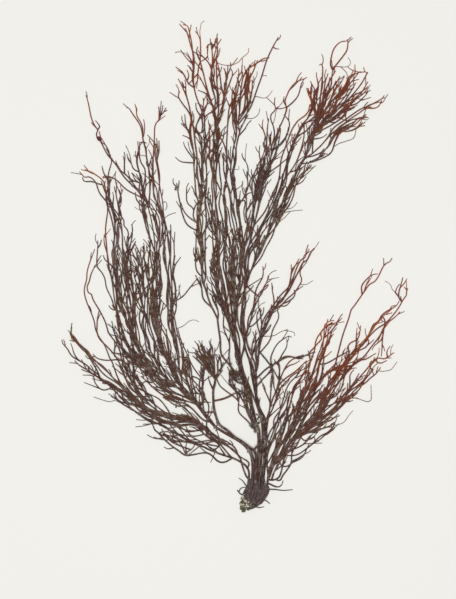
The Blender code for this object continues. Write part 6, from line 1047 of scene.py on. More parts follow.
def twig(draw, strand, at, lengths):
    """One twig that leaves a strand at its point number at."""
    path = strand["path"]
    along = path[at] - path[at - 1]
    side = draw.choice((-1, 1))
    heading = math.atan2(along.y, along.x) + side * math.radians(draw.uniform(*TWIG_ANGLES))
    steps = max(2, round(draw.uniform(*lengths) / SAMPLE))
    bend = side * math.radians(draw.uniform(*TWIG_BENDS)) / steps
    rise = draw.uniform(*TWIG_RISES)
    radius = TWIG_SHARE * strand["radii"][at]
    points, layers, radii = [], [], []
    place = path[at].copy()
    for step in range(steps + 1):
        points.append(place.copy())
        layers.append(max(0.0, strand["layers"][at] + rise * smooth(step / RISE_STEPS)))
        radii.append(mix(radius, min(radius, TWIG_TIP), step / steps))
        place += Vector((math.cos(heading), math.sin(heading))) * SAMPLE
        heading -= bend * draw.uniform(*BEND_CHANGES)
    return {"path": points, "layers": layers, "radii": radii, "root": (strand, at)}


def twigs_on(seed, strand, density):
    """The twigs of one strand and the fork at its tip."""
    if not density:
        return []
    draw = random.Random(seed)
    last = len(strand["path"]) - 1
    made = []
    for _ in range(int(last * SAMPLE * density + draw.random())):
        share = mix(LOWEST_TWIG, 1.0, draw.random() ** TWIGS_TIPWARD)
        made.append(twig(draw, strand, max(1, round((last - 1) * share)), TWIG_LENGTHS))
    if last > LEAST_FORKED:
        made.append(twig(draw, strand, last - draw.choice(FORKED_AT), FORK_LENGTHS))
    return made


print("twigs are", TWIG_LENGTHS, "mm long")

# %% [markdown]
# ## Laying the fronds
# A pressed tuft is a pile: each frond lies on the sheet where it can and on other fronds where it must. A
# height map keeps the top of what lies there already. A strand is lifted just over that, and its lift then
# falls no faster than a wire would bend, so it crosses in a long low hump and not in a step.

# %% Heights
CELL = 0.25
MAP_LEFT, MAP_RIGHT, MAP_LOW, MAP_HIGH = -56.0, 48.0, -8.0, 134.0
CLEARANCE = 0.20
CLIMB = 0.35
SIDE_SHARE = 0.87
SIDE_GAP = 0.06
LEVEL_ENOUGH = 1e-6


def first_lift(strand, height_map):
    """How high each point of a strand must be to clear what lies below it."""
    lifts = []
    for point, radius in zip(strand["path"], strand["radii"]):
        below = height_map[int((point.y - MAP_LOW) / CELL), int((point.x - MAP_LEFT) / CELL)]
        lifts.append(below + CLEARANCE + radius if below > 0 else radius)
    return lifts


def ease(strand):
    """Meets the mother strand and lets the lift fall gently to both sides. Says if anything moved."""
    lift = strand["lift"]
    moved = False
    if strand["root"]:
        mother, at = strand["root"]
        top = max(lift[0], mother["lift"][at])
        moved = min(lift[0], mother["lift"][at]) < top - LEVEL_ENOUGH
        lift[0] = mother["lift"][at] = top
    for order in (range(1, len(lift)), range(len(lift) - 2, -1, -1)):
        for i in order:
            lowest = lift[i - order.step] - CLIMB * SAMPLE
            if lowest > lift[i] + LEVEL_ENOUGH:
                lift[i] = lowest
                moved = True
    return moved


def raise_over(strands, height_map):
    """Sets each point's height, so that a strand clears what lies below and meets its mother strand. All
    strands are eased again and again, until a pass moves none of them."""
    for strand in strands:
        strand["lift"] = first_lift(strand, height_map)
    while any([ease(strand) for strand in strands]):
        pass
    for strand in strands:
        strand["height"] = [lift + layer for lift, layer in zip(strand["lift"], strand["layers"])]


def mark(strands, height_map):
    """Writes the tops of a laid frond into the height map, with room for a strand beside it."""
    for s in strands:
        for point, radius, height in zip(s["path"], s["radii"], s["height"]):
            reach = SIDE_SHARE * (radius + STEM_RADIUS) + SIDE_GAP
            first_column, last_column = (int((point.x + side * reach - MAP_LEFT) / CELL) for side in (-1, 1))
            first_row, last_row = (int((point.y + side * reach - MAP_LOW) / CELL) for side in (-1, 1))
            rows = np.arange(first_row, last_row + 1)
            columns = np.arange(first_column, last_column + 1)
            away = np.hypot(MAP_LEFT + (columns[None, :] + 0.5) * CELL - point.x,
                            MAP_LOW + (rows[:, None] + 0.5) * CELL - point.y)
            patch = height_map[first_row:last_row + 1, first_column:last_column + 1]
            np.maximum(patch, np.where(away < reach, height + radius, 0), out=patch)


print("the height map has cells of", CELL, "mm")

# %% Every frond, laid
def lay_fronds():
    """Every frond's strands and twigs, with heights, in the order in which the fronds are laid."""
    rows = int((MAP_HIGH - MAP_LOW) / CELL) + 2
    columns = int((MAP_RIGHT - MAP_LEFT) / CELL) + 2
    height_map = np.zeros((rows, columns))
    laid = {}
    for name, sprays, _, _ in FRONDS:
        strands, twigs = [], []
        for number, plan in enumerate(sprays):
            grown = strands_of(name, number, plan, strands)
            for k, strand in enumerate(grown):
                twigs += twigs_on(f"{name} twigs {number} {k}", strand, plan["twigs"])
            strands += grown
        raise_over(strands + twigs, height_map)
        mark(strands + twigs, height_map)
        laid[name] = strands + twigs
        print(name, "has", len(strands), "strands and", len(twigs), "twigs")
    return laid


laid = lay_fronds()

# %% [markdown]
# ## From strands to meshes
# Each strand becomes a closed tube that tapers. A curve with a round bevel makes such tubes in one step, and
# its points carry their own radius. The rings of the mesh keep the order of the curve's points, so the values
# that a point carries can be listed right away. A bmesh then closes the two ends of every tube.

# %% Tubes
RING = 6
BEVEL_STEPS = (RING - 4) // 2
TIP_REACH, TIP_NARROWING = 0.8, 0.45


def finer(points):
    """The points with one more halfway between each two, on a smooth curve."""
    made = []
    padded = with_ends(points)
    for a, b, c, d in zip(padded, padded[1:], padded[2:], padded[3:]):
        made += [b, between(a, b, c, d, 0.5)]
    return made + [points[-1]]


def rounded(points):
    """A strand's points, x, y, height and radius, with a last one that rounds its tip."""
    beyond = points[-1] + (points[-1] - points[-2]).normalized() * TIP_REACH * points[-1].w
    beyond.w = TIP_NARROWING * points[-1].w
    return points + [beyond]


def tubes(name, lines):
    """One mesh with a tube along each line of points, in mm, with the radius as the fourth number."""
    curve = bpy.data.curves.new(name, "CURVE")
    curve.dimensions = "3D"
    curve.bevel_depth = MM
    curve.bevel_resolution = BEVEL_STEPS
    for points in lines:
        line = curve.splines.new("POLY")
        line.points.add(len(points) - 1)
        line.points.foreach_set("co", [v for p in points for v in (p.x * MM, p.y * MM, p.z * MM, 1)])
        line.points.foreach_set("radius", [p.w for p in points])
    holder = bpy.data.objects.new(name, curve)
    bpy.context.scene.collection.objects.link(holder)
    bpy.context.view_layer.update()
    mesh = bpy.data.meshes.new_from_object(holder.evaluated_get(bpy.context.evaluated_depsgraph_get()))
    bpy.data.objects.remove(holder)
    return mesh


def shade_smooth(shape):
    """Turns all faces outward and shades them smooth."""
    bmesh.ops.recalc_face_normals(shape, faces=shape.faces)
    for face in shape.faces:
        face.smooth = True


def closed(mesh):
    """A bmesh of the tubes with their open ends closed."""
    shape = bmesh.new()
    shape.from_mesh(mesh)
    rims = [edge for edge in shape.edges if edge.is_boundary]
    bmesh.ops.holes_fill(shape, edges=rims, sides=RING)
    shade_smooth(shape)
    return shape


def finish_mesh(mesh, shape, fields, material):
    """Writes the bmesh and what its points carry to the mesh, which gets its material."""
    shape.to_mesh(mesh)
    shape.free()
    for name, values in fields.items():
        mesh.attributes.new(name, "FLOAT", "POINT").data.foreach_set("value", values)
    mesh.materials.clear()
    mesh.materials.append(material)
    return mesh


print("a tube has", RING, "sides")

# %% [markdown]
# ## Crusts and tangles
# In a few places a crust of tiny animals and lime has grown over the stems, and in a few others the strands
# are curled up in a knot. A crust is a cluster of small uneven grains, and the bark near it is coated too. A
# tangle is a handful of short strands that run in loops around one point.

# %% Crusts, each with x, y, reach, lime and number of grains
CRUSTS = {
    "frond_crown_middle": [(2.1, 21.4, 1.0, 0.9, 12), (2.3, 22.9, 0.7, 0.6, 6)],
    "frond_centre_low": [(0.4, 20.2, 0.8, 1.0, 14), (1.3, 20.0, 0.9, 1.0, 18), (1.7, 19.0, 0.7, 0.8, 10)],
    "frond_side_tuft": [(-9.2, 19.4, 0.9, 0.8, 10), (-8.6, 20.6, 0.7, 0.6, 6)],
    "frond_crown_left": [(-19.8, 83.7, 0.6, 1.0, 9)],
    "frond_left_tall": [(-0.2, 12.6, 1.3, 0.5, 5)],
}
GRAIN_SIZES = (0.10, 0.30)
GRAIN_REACH = 1.35
GRAIN_WIDTHS, GRAIN_HEIGHTS = (0.75, 1.25), (0.7, 1.0)
ROUGHEST = 0.6
CRUST_SHARE = 0.8
CRUST_DEPTH = 0.35
LIME_SHARES = (0.3, 1.0)


def add_grain(shape, centre, size, seed, rounds=2, rough=0.5):
    """Adds one uneven grain, in mm, to a bmesh and gives back its vertices."""
    draw = random.Random(seed)
    made = bmesh.ops.create_icosphere(shape, subdivisions=rounds, radius=1)["verts"]
    stretch = Vector([draw.uniform(*span) for span in (GRAIN_WIDTHS, GRAIN_WIDTHS, GRAIN_HEIGHTS)])
    for vertex in made:
        push = 1 + rough * draw.uniform(-ROUGHEST, ROUGHEST)
        vertex.co = MM * (Vector(centre) + size * push * vertex.co * stretch)
    return made


def crust_grains(name, strands):
    """Place, size, lime and seed of every grain in the crusts of a frond."""
    grains = []
    for x, y, reach, lime, count in CRUSTS.get(name, []):
        draw = random.Random(f"{name} crust {x}")
        for number in range(count):
            turn, out = draw.uniform(0, math.tau), reach * CRUST_SHARE * math.sqrt(draw.random())
            spot = Vector((x + out * math.cos(turn), y + out * math.sin(turn)))
            strand, at = nearest(strands, spot)
            height = strand["height"][at] + draw.uniform(0.0, CRUST_DEPTH)
            size = mix(*GRAIN_SIZES, draw.random())
            height = max(height, GRAIN_REACH * size)
            grains.append(((*spot, height), size, lime * draw.uniform(*LIME_SHARES), f"{name} {x} {number}"))
    return grains


print(sum(len(places) for places in CRUSTS.values()), "crusts")

# %% Tangles, each with x, y and reach
TANGLES = {
    "frond_centre_low": [(-4.3, 33.5, 1.2)],
    "frond_crown_left": [(-14.4, 64.5, 0.5), (-13.0, 82.0, 0.6)],
    "frond_crown_middle": [(-3.2, 80.3, 0.7)],
    "frond_left_tall": [(-40.6, 97.2, 0.5)],
}
LOOPS = 5
LOOP_STEPS = 10
LOOP_SWEEPS = (2.4, 5.0)
LOOP_REACHES = (0.35, 1.0)
LOOP_SQUEEZES = (0.6, 1.0)
LOOP_WOBBLES = (0.85, 1.15)
LOOP_WAVE, LOOP_LIFT = 0.3, 0.2


def loop_points(draw, x, y, size, level):
    """One short strand that runs in a loop around a place at a level."""
    start, sweep = draw.uniform(0, math.tau), draw.choice((-1, 1)) * draw.uniform(*LOOP_SWEEPS)
    reach, squeeze = size * draw.uniform(*LOOP_REACHES), draw.uniform(*LOOP_SQUEEZES)
    points = []
    for step in range(LOOP_STEPS + 1):
        turn = start + sweep * step / LOOP_STEPS
        away = reach * mix(1.0, draw.uniform(*LOOP_WOBBLES), 0.5)
        radius = mix(STEM_RADIUS, THIN_RADIUS, step / LOOP_STEPS)
        height = max(level + LOOP_WAVE * math.sin(2 * turn) + LOOP_LIFT, radius)
        place = x + away * math.cos(turn), y + squeeze * away * math.sin(turn)
        points.append(Vector((*place, height, radius)))
    return points


def tangle_lines(name, strands):
    """The looped short strands of every tangle in a frond, as lines of points."""
    lines = []
    for x, y, size in TANGLES.get(name, []):
        strand, at = nearest(strands, Vector((x, y)))
        draw = random.Random(f"{name} tangle {x}")
        lines += [loop_points(draw, x, y, size, strand["height"][at]) for _ in range(LOOPS)]
    return lines


print(sum(len(places) for places in TANGLES.values()), "tangles of", LOOPS, "loops")

# %% [markdown]
# ## Colours
# The old stems are blackish purple and go through wine brown to fox brown at the tips. Old bark is pale grey
# in patches, partly bleached and partly painted highlight. Every colour is written as a hex value, as it
# looks on a screen, and one function turns it into the linear light that the shaders work in.

# %% Colours and the node helpers
AGE_STOPS = [(0.0, "#4e3830"), (0.3, "#58372d"), (0.55, "#6a3628"), (0.8, "#7b3d29"), (1.0, "#8e4a2f")]
BUMP_DEPTH = 0.05


def linear(colour):
    """A hex colour, as seen on a screen, as linear red, green, blue and alpha."""
    parts = [int(colour[i:i + 2], 16) / 255 for i in (1, 3, 5)]
    return (*(v / 12.92 if v <= 0.04045 else ((v + 0.055) / 1.055) ** 2.4 for v in parts), 1)


def add_node(tree, kind, settings=None, values=None, links=None):
    """Adds a shader node, sets its settings and the values of its inputs, and links its inputs."""
    made = tree.nodes.new(kind)
    for name, value in (settings or {}).items():
        setattr(made, name, value)
    for socket, value in (values or {}).items():
        made.inputs[socket].default_value = value
    for socket, source in (links or {}).items():
        tree.links.new(source, made.inputs[socket])
    return made


def field(tree, name):
    """The value that the mesh's points carry under a name."""
    return add_node(tree, "ShaderNodeAttribute", {"attribute_name": name}).outputs["Fac"]


def noise(tree, size, **values):
    """A cloudy noise, from 0 to 1, with patches of a size in mm."""
    place = add_node(tree, "ShaderNodeTexCoord").outputs["Object"]
    made = add_node(tree, "ShaderNodeTexNoise", None, {"Scale": 1 / (size * MM), **values}, {"Vector": place})
    return made.outputs["Fac"]


def ranged(tree, source, low, high, start=0.0, end=1.0):
    """A value that goes from low to high while its source goes from start to end."""
    values = {"From Min": start, "From Max": end, "To Min": low, "To Max": high}
    return add_node(tree, "ShaderNodeMapRange", None, values, {"Value": source}).outputs["Result"]


def figured(tree, operation, first, second):
    """The sum or the product of two values."""
    made = add_node(tree, "ShaderNodeMath", {"operation": operation}, None, {0: first, 1: second})
    return made.outputs["Value"]


def ramped(tree, source, stops):
    """The colour that a value picks from a row of places and hex colours."""
    ramp = add_node(tree, "ShaderNodeValToRGB", None, None, {"Fac": source})
    row = ramp.color_ramp.elements
    while len(row) < len(stops):
        row.new(1)
    for stop, (place, colour) in zip(row, stops):
        stop.position = place
        stop.color = linear(colour)
    return ramp.outputs["Color"]


def bumpy(tree, source, strength):
    """A surface that rises and falls with a value."""
    values = {"Strength": strength, "Distance": BUMP_DEPTH * MM}
    return add_node(tree, "ShaderNodeBump", None, values, {"Height": source}).outputs["Normal"]


def new_material(name):
    """An empty material with its node tree and its shader."""
    made = bpy.data.materials.new(name)
    made.use_nodes = True
    return made, made.node_tree, made.node_tree.nodes["Principled BSDF"]


print("the youngest brown is", [round(v, 3) for v in linear(AGE_STOPS[-1][1])[:3]])

# %% [markdown]
# ## Dried algal skin
# A dried strand is horn-like. Its tough skin shrank on its core, so it is finely wrinkled, dull on the old
# parts and a little glossy on the young. Its colour follows the age that its mesh carries, and each strand
# has its own shade. A cloudy noise turns old bark pale grey in patches of a millimetre or two, partly
# bleaching and partly painted highlight, and crusts cover it in lime.

# %% Dried algal skin
# Pale grey of old bark: partly real bleaching, partly painted highlight along the stems.
BLEACH_AND_HIGHLIGHT = "#93857c"
LIME = [(0.35, "#4a4238"), (0.5, "#847f70"), (0.68, "#b5b1a0")]
BLEACH_HIGHLIGHT_PATCH = 1.2
BLEACH_HIGHLIGHT_OF_OLD, BLEACH_HIGHLIGHT_ENDS = 0.8, 0.7
BLEACH_HIGHLIGHT_EDGES = (0.48, 0.72)
SHADE_RANGES = {"Value": (0.76, 1.48), "Hue": (0.487, 0.516), "Saturation": (0.88, 1.15)}
WRINKLE = 0.12
WRINKLE_STRENGTH = 0.35
OLD_ROUGHNESS, YOUNG_ROUGHNESS = 0.62, 0.42
SKIN_SPECULAR = 0.2


def aged_bark(tree, stops, age, patches):
    """The colour of bark: by age, in the strand's own shade, and pale grey in patches where it is old, partly
    bleached bark and partly painted highlight.
    """
    shade = field(tree, "shade")
    links = {socket: ranged(tree, shade, *span) for socket, span in SHADE_RANGES.items()}
    links["Color"] = ramped(tree, age, stops)
    shaded = add_node(tree, "ShaderNodeHueSaturation", None, None, links)
    # Old bark is mixed towards that pale grey in patches: partly bleaching, partly painted highlight.
    old = ranged(tree, age, BLEACH_HIGHLIGHT_OF_OLD, 0.0, end=BLEACH_HIGHLIGHT_ENDS)
    bleach_and_highlight = figured(tree, "MULTIPLY", old, ranged(tree, patches, 0.0, 1.0, *BLEACH_HIGHLIGHT_EDGES))
    bark = add_node(tree, "ShaderNodeMixRGB", None, {"Color2": linear(BLEACH_AND_HIGHLIGHT)},
                    {"Fac": bleach_and_highlight, "Color1": shaded.outputs["Color"]})
    return bark.outputs["Color"]


def dried_skin(name, stops):
    """Horn-like dried algae: wrinkled skin whose colour goes through the stops as it gets younger."""
    made, tree, shader = new_material(name)
    age = field(tree, "age")
    patches = noise(tree, BLEACH_HIGHLIGHT_PATCH, Detail=3, Roughness=0.6)
    wrinkles = noise(tree, WRINKLE, Detail=2)
    bark = aged_bark(tree, stops, age, patches)
    coated = add_node(tree, "ShaderNodeMixRGB", None, None,
                      {"Fac": field(tree, "crust"), "Color1": bark, "Color2": ramped(tree, patches, LIME)})
    roughness = ranged(tree, age, OLD_ROUGHNESS, YOUNG_ROUGHNESS)
    tree.links.new(coated.outputs["Color"], shader.inputs["Base Color"])
    tree.links.new(roughness, shader.inputs["Roughness"])
    tree.links.new(bumpy(tree, wrinkles, WRINKLE_STRENGTH), shader.inputs["Normal"])
    shader.inputs["Specular IOR Level"].default_value = SKIN_SPECULAR
    return made


skin = dried_skin("dried_algal_skin", AGE_STOPS)
print(skin.name, "has", len(skin.node_tree.nodes), "nodes")

# %% [markdown]
# ## Growing the fronds
# Age grows with the distance from the holdfast and along each strand. Each strand is a little ahead of its
# neighbours or behind them, so that a bundle shows several browns side by side, as the pressed tuft does.

# %% What the points of a frond carry
AGE_OF_PLACE, AGE_OF_TIP, AGE_OF_ITS_OWN = 0.72, 0.33, 0.12
CRUST_FADE = 1.6
GRAIN_AGE, GRAIN_SHADE = 0.0, 0.5


def age_at(place, along, turning, ahead):
    """How young a strand is at a place: 0 is old and dark, 1 is young and fox brown."""
    out = smooth((place.length - turning[0]) / (turning[1] - turning[0]))
    return min(1.0, max(0.0, AGE_OF_PLACE * out + AGE_OF_TIP * along * along + ahead))


def shade_of(name, number):
    """A strand's own lightness, 0 to 1."""
    return random.Random(f"{name} shade {number}").random()


def crust_at(name, place):
    """How much lime covers a strand at a place, 0 to 1."""
    cover = 0.0
    for x, y, reach, lime, _ in CRUSTS.get(name, []):
        cover = max(cover, lime * smooth(CRUST_FADE - (place - Vector((x, y))).length / reach))
    return cover


def tube_fields(name, number, points, turning):
    """Age, shade and crust of a tube's points, ring by ring."""
    ahead = random.Random(f"{name} age {number}").uniform(-AGE_OF_ITS_OWN, AGE_OF_ITS_OWN)
    ages, crusts = [], []
    for i, point in enumerate(points):
        place = Vector((point.x, point.y))
        ages += [age_at(place, i / len(points), turning, ahead)] * RING
        crusts += [crust_at(name, place)] * RING
    return {"age": ages, "shade": [shade_of(name, number)] * len(ages), "crust": crusts}


print("the age of a strand is up to", AGE_OF_ITS_OWN, "ahead or behind")

# %% Fronds
def frond_lines(name, strands):
    """The tubes of a frond, strands and tangles, as lines of points with their radius."""
    lines = []
    for s in strands:
        points = [Vector((p.x, p.y, z, r)) for p, z, r in zip(s["path"], s["height"], s["radii"])]
        lines.append(rounded(finer(points)))
    return lines + [rounded(points) for points in tangle_lines(name, strands)]


def make_frond(name, strands, turning):
    """A frond's finished mesh, with its tangles and crusts, what its points carry and its skin."""
    lines = frond_lines(name, strands)
    fields = {"age": [], "shade": [], "crust": []}
    for number, points in enumerate(lines):
        for field_name, values in tube_fields(name, number, points, turning).items():
            fields[field_name] += values
    mesh = tubes(name, lines)
    shape = closed(mesh)
    for place, size, lime, seed in crust_grains(name, strands):
        count = len(add_grain(shape, place, size, seed))
        for field_name, value in (("age", GRAIN_AGE), ("shade", GRAIN_SHADE), ("crust", lime)):
            fields[field_name] += [value] * count
    return finish_mesh(mesh, shape, fields, skin)


def place_piece(name, mesh, node_name):
    """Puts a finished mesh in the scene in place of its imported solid."""
    piece = bpy.data.objects.new(name, mesh)
    bpy.context.scene.collection.objects.link(piece)
    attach(piece, "root")
    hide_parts(node_name)
    return piece


for name, _, starts, ends in FRONDS:
    piece = place_piece("grown_" + name, make_frond(name, laid[name], (starts, ends)), name)
    print(piece.name, len(piece.data.polygons), "faces")

# %% [markdown]
# ## The holdfast
# The foot is where all stems run together: a flattened dome whose surface is ribbed by them. The dome starts
# from its outline as one face, which is extruded and drawn in level by level and then smoothed. The ribs are
# the stems themselves, carried on over the dome as tubes sunk about a third of their thickness.

# %% The dome
HOLDFAST_OUTLINE = [
    (-0.3, 4.9), (4.0, 4.9), (5.0, 4.2), (5.4, 3.4), (5.1, 2.4), (4.5, 1.0), (3.7, -0.3), (2.6, -1.4),
    (1.3, -2.2), (0.0, -2.7), (-1.0, -2.5), (-1.6, -1.6), (-1.9, -0.4), (-2.1, 0.8), (-2.0, 2.2), (-1.3, 3.4),
    (-0.7, 4.3),
]
HOLDFAST_LEVELS = [(0.6, 1.0), (1.4, 0.92), (2.1, 0.72), (2.5, 0.42)]
FOOT_SHARE = 0.90
DOME_CUTS = 2
SMOOTHINGS = 2
FOOT_RIM = 0.1


def raise_levels(shape, top, centre):
    """Extrudes the foot's face level by level, drawn in to each level's share of the outline."""
    share = FOOT_SHARE
    for height, next_share in HOLDFAST_LEVELS:
        raised = bmesh.ops.extrude_face_region(shape, geom=[top])["geom"]
        top = next(item for item in raised if isinstance(item, bmesh.types.BMFace))
        for vertex in top.verts:
            vertex.co = MM * centre + (vertex.co - MM * centre) * (next_share / share)
            vertex.co.z = height * MM
        share = next_share


def dome(shape):
    """The dome on the holdfast's outline. Ribs that are there already are cut finer and smoothed with it."""
    middle = sum((Vector(p) for p in HOLDFAST_OUTLINE), Vector((0, 0))) / len(HOLDFAST_OUTLINE)
    centre = Vector((middle.x, middle.y, 0))
    corners = [shape.verts.new(MM * centre.lerp(Vector((x, y, 0)), FOOT_SHARE)) for x, y in HOLDFAST_OUTLINE]
    raise_levels(shape, shape.faces.new(corners), centre)
    bmesh.ops.poke(shape, faces=[face for face in shape.faces if len(face.verts) > 4])
    bmesh.ops.subdivide_edges(shape, edges=shape.edges, cuts=DOME_CUTS, use_grid_fill=True)
    bmesh.ops.triangulate(shape, faces=[face for face in shape.faces if len(face.verts) > 4])
    upper = [vertex for vertex in shape.verts if vertex.co.z > FOOT_RIM * MM]
    for _ in range(SMOOTHINGS):
        bmesh.ops.smooth_vert(shape, verts=upper, factor=0.5,
                              use_axis_x=True, use_axis_y=True, use_axis_z=True)


print("the dome has", len(HOLDFAST_LEVELS) + 1, "levels")

# %% Ribs
HOLDFAST_RIBS = [
    [(0.1, 8.0, 0.8), (0.0, 6.0, 1.2), (-0.5, 4.2, 1.5), (-1.2, 2.8, 1.5), (-1.8, 1.6, 1.1),
     (-2.0, 0.6, 0.7)],
    [(0.7, 8.0, 1.2), (0.6, 6.0, 1.6), (0.2, 4.0, 2.0), (-0.4, 2.2, 2.2), (-0.9, 0.8, 1.8),
     (-1.2, -0.4, 1.2)],
    [(1.4, 8.0, 1.4), (1.3, 6.0, 1.9), (1.1, 4.0, 2.4), (0.7, 2.0, 2.7), (0.2, 0.3, 2.3), (-0.2, -1.1, 1.4)],
    [(2.0, 8.0, 1.5), (2.0, 6.0, 2.0), (1.9, 4.0, 2.5), (1.7, 2.0, 2.8), (1.2, 0.2, 2.5), (0.6, -1.3, 1.5)],
    [(2.7, 8.0, 1.4), (2.7, 6.0, 1.9), (2.8, 4.0, 2.4), (2.7, 2.0, 2.6), (2.3, 0.3, 2.3), (1.4, -1.3, 1.4)],
    [(3.4, 8.0, 1.2), (3.4, 6.0, 1.6), (3.6, 4.2, 2.1), (3.8, 2.6, 2.1), (3.5, 1.1, 1.9), (2.6, -0.4, 1.4),
     (1.5, -1.7, 0.8)],
    [(4.0, 8.0, 0.8), (4.0, 6.0, 1.1), (4.6, 4.0, 1.4), (5.0, 2.8, 1.3), (4.6, 1.5, 1.1), (3.8, 0.2, 0.8),
     (2.8, -1.0, 0.6)],
]
FIRST_RIB_X, LAST_RIB_X = HOLDFAST_RIBS[0][0][0], HOLDFAST_RIBS[-1][0][0]
LAST_RIB = len(HOLDFAST_RIBS) - 1
RIB_STEP = 0.05
RIB_SPINES = [spine_of(route, RIB_STEP) for route in HOLDFAST_RIBS]
RIB_COUNT = 18
RIB_RADIUS = 0.25
RIB_POINTS = 22
RIB_TOP = 0.3
RIB_JITTER = 0.45
RIB_STARTS, RIB_ENDS = (0.08, 0.45), (0.75, 1.0)
STEM_RIB_END, OWN_RIB_END = 0.8, 0.7
ROOT_GAP = 0.6
BUNDLED_FROM = 4.0


def rib_at(place, share):
    """The point at a share of the way down the rib at a place between the first, 0, and the last."""
    low = min(int(place), len(RIB_SPINES) - 2)
    left, right = (points[round(share * (len(points) - 1))] for points in RIB_SPINES[low:low + 2])
    return left.lerp(right, place - low)


def rib_points(place, start, end):
    """Points down the rib at a place, from one share of its way to another."""
    return [rib_at(place, mix(start, end, step / RIB_POINTS)) for step in range(RIB_POINTS + 1)]


def on_dome(points, dome_tree):
    """The points, set on the dome's surface where they lie over it. Up where the stems are still a bundle,
    a point that is higher than the dome keeps its own height."""
    made = []
    for point in points:
        above = Vector((point.x * MM, point.y * MM, 1))
        hit = dome_tree.ray_cast(above, Vector((0, 0, -1)))[0]
        height = hit.z / MM + RIB_TOP * RIB_RADIUS if hit else point.z
        made.append(Vector((point.x, point.y, max(height, point.z) if point.y > BUNDLED_FROM else height)))
    return made


def tapered(points, first, last):
    """Points with a radius that changes evenly from the first to the last."""
    return [Vector((*p, mix(first, last, i / (len(points) - 1)))) for i, p in enumerate(points)]


def stem_rib(stem, dome_tree):
    """The rib that runs on from a frond's first strand."""
    root = stem["path"][0]
    spacing = (LAST_RIB_X - FIRST_RIB_X) / LAST_RIB
    place = min(LAST_RIB, max(0, (root.x - FIRST_RIB_X) / spacing))
    down = [point for point in rib_points(place, 0, 1) if point.y < root.y - ROOT_GAP]
    start = [Vector((*stem["path"][i], stem["height"][i])) for i in (1, 0)]
    return tapered(start + on_dome(down, dome_tree), stem["radii"][0], RIB_RADIUS * STEM_RIB_END)


def own_rib(draw, number, dome_tree):
    """A rib between those of the stems."""
    place = LAST_RIB * (number + draw.uniform(-RIB_JITTER, RIB_JITTER)) / (RIB_COUNT - 1)
    down = rib_points(min(LAST_RIB, max(0, place)), draw.uniform(*RIB_STARTS), draw.uniform(*RIB_ENDS))
    return tapered(on_dome(down, dome_tree), RIB_RADIUS, RIB_RADIUS * OWN_RIB_END)


def rib_lines(dome_tree):
    """Ribs over the dome: one that runs on from each frond's root, and more between them."""
    draw = random.Random("ribs")
    return ([stem_rib(strands[0], dome_tree) for strands in laid.values()]
            + [own_rib(draw, number, dome_tree) for number in range(RIB_COUNT)])


print(RIB_COUNT, "ribs of its own and", len(FRONDS), "that run on from the fronds")

# %% Rhizoids
RHIZOIDS = [
    [(4.4, 2.9, 1.0), (6.4, 2.9, 0.6), (9.0, 2.6, 0.3), (11.5, 2.8, 0.25)],
    [(3.4, 0.4, 0.9), (4.4, -0.2, 0.5), (5.4, -1.0, 0.25)],
    [(-1.2, 1.6, 0.9), (-2.1, 1.5, 0.7), (-3.0, 2.1, 0.6), (-2.4, 3.2, 0.5), (-1.2, 3.5, 0.4),
     (-0.4, 3.4, 0.4)],
    [(0.9, -1.4, 0.7), (2.3, -2.0, 0.4), (3.8, -1.8, 0.25)],
    [(-0.4, 3.2, 0.7), (-1.2, 4.1, 0.5), (-2.0, 5.2, 0.3), (-3.0, 5.9, 0.2)],
    [(-2.8, 2.1, 0.5), (-3.3, 2.4, 0.4), (-3.4, 2.8, 0.3)],
]
RHIZOID_RADII = (0.22, 0.12)
RHIZOID_STEP = 0.4


def rhizoid_lines():
    """The thin stubs that held the foot to its rock."""
    return [tapered(spine_of(route, RHIZOID_STEP), *RHIZOID_RADII) for route in RHIZOIDS]


print(len(RHIZOIDS), "rhizoids")

# %% The holdfast
# The palest stop is partly bleached bark and partly painted highlight. Ribs drawn at age 1.0 show it on their
# upper part, above the foot.
HOLDFAST_STOPS = [(0.0, "#3a2e2f"), (0.3, "#4e3f3e"), (0.6, "#644942"), (0.85, "#7a6153"), (1.0, "#a3978c")]
RIB_AGES = (0.0, 0.2, 0.4, 0.6, 0.75, 1.0)
FOOT_AGE, FOOT_SHADE = 0.25, 0.4
FOOT_LINE, FOOT_FADE = 4.5, 4.0


def holdfast_fields(lines):
    """Age and shade of the ribs' and rhizoids' points. Towards the foot they all take its age."""
    ages, shades = [], []
    for number, points in enumerate(lines):
        age = random.Random(f"rib age {number}").choice(RIB_AGES)
        for point in points:
            ages += [mix(age, FOOT_AGE, smooth((FOOT_LINE - point.y) / FOOT_FADE))] * RING
        shades += [shade_of("rib", number)] * RING * len(points)
    return ages, shades


def make_holdfast():
    """The dome with its ribs and rhizoids, one mesh."""
    body = bmesh.new()
    dome(body)
    lines = rib_lines(BVHTree.FromBMesh(body)) + rhizoid_lines()
    body.free()
    ages, shades = holdfast_fields(lines)
    mesh = tubes("grown_holdfast", lines)
    shape = closed(mesh)
    dome(shape)
    shade_smooth(shape)
    dome_points = len(shape.verts) - len(ages)
    fields = {"age": ages + [FOOT_AGE] * dome_points, "shade": shades + [FOOT_SHADE] * dome_points,
              "crust": [0.0] * len(shape.verts)}
    return finish_mesh(mesh, shape, fields, dried_skin("dried_holdfast_bark", HOLDFAST_STOPS))


piece = place_piece("grown_holdfast", make_holdfast(), "holdfast")
print(piece.name, len(piece.data.polygons), "faces")

# %% [markdown]
# ## Grit on the foot
# Sand, bits of shell and lime crust are still stuck to the lower left of the foot. Each grain is a tiny
# uneven ball with its own tone, set around a heart of larger lumps. One colour ramp turns the tone into the
# grain's colour, from painted shadow for the gaps through olive and ochre to white shell.

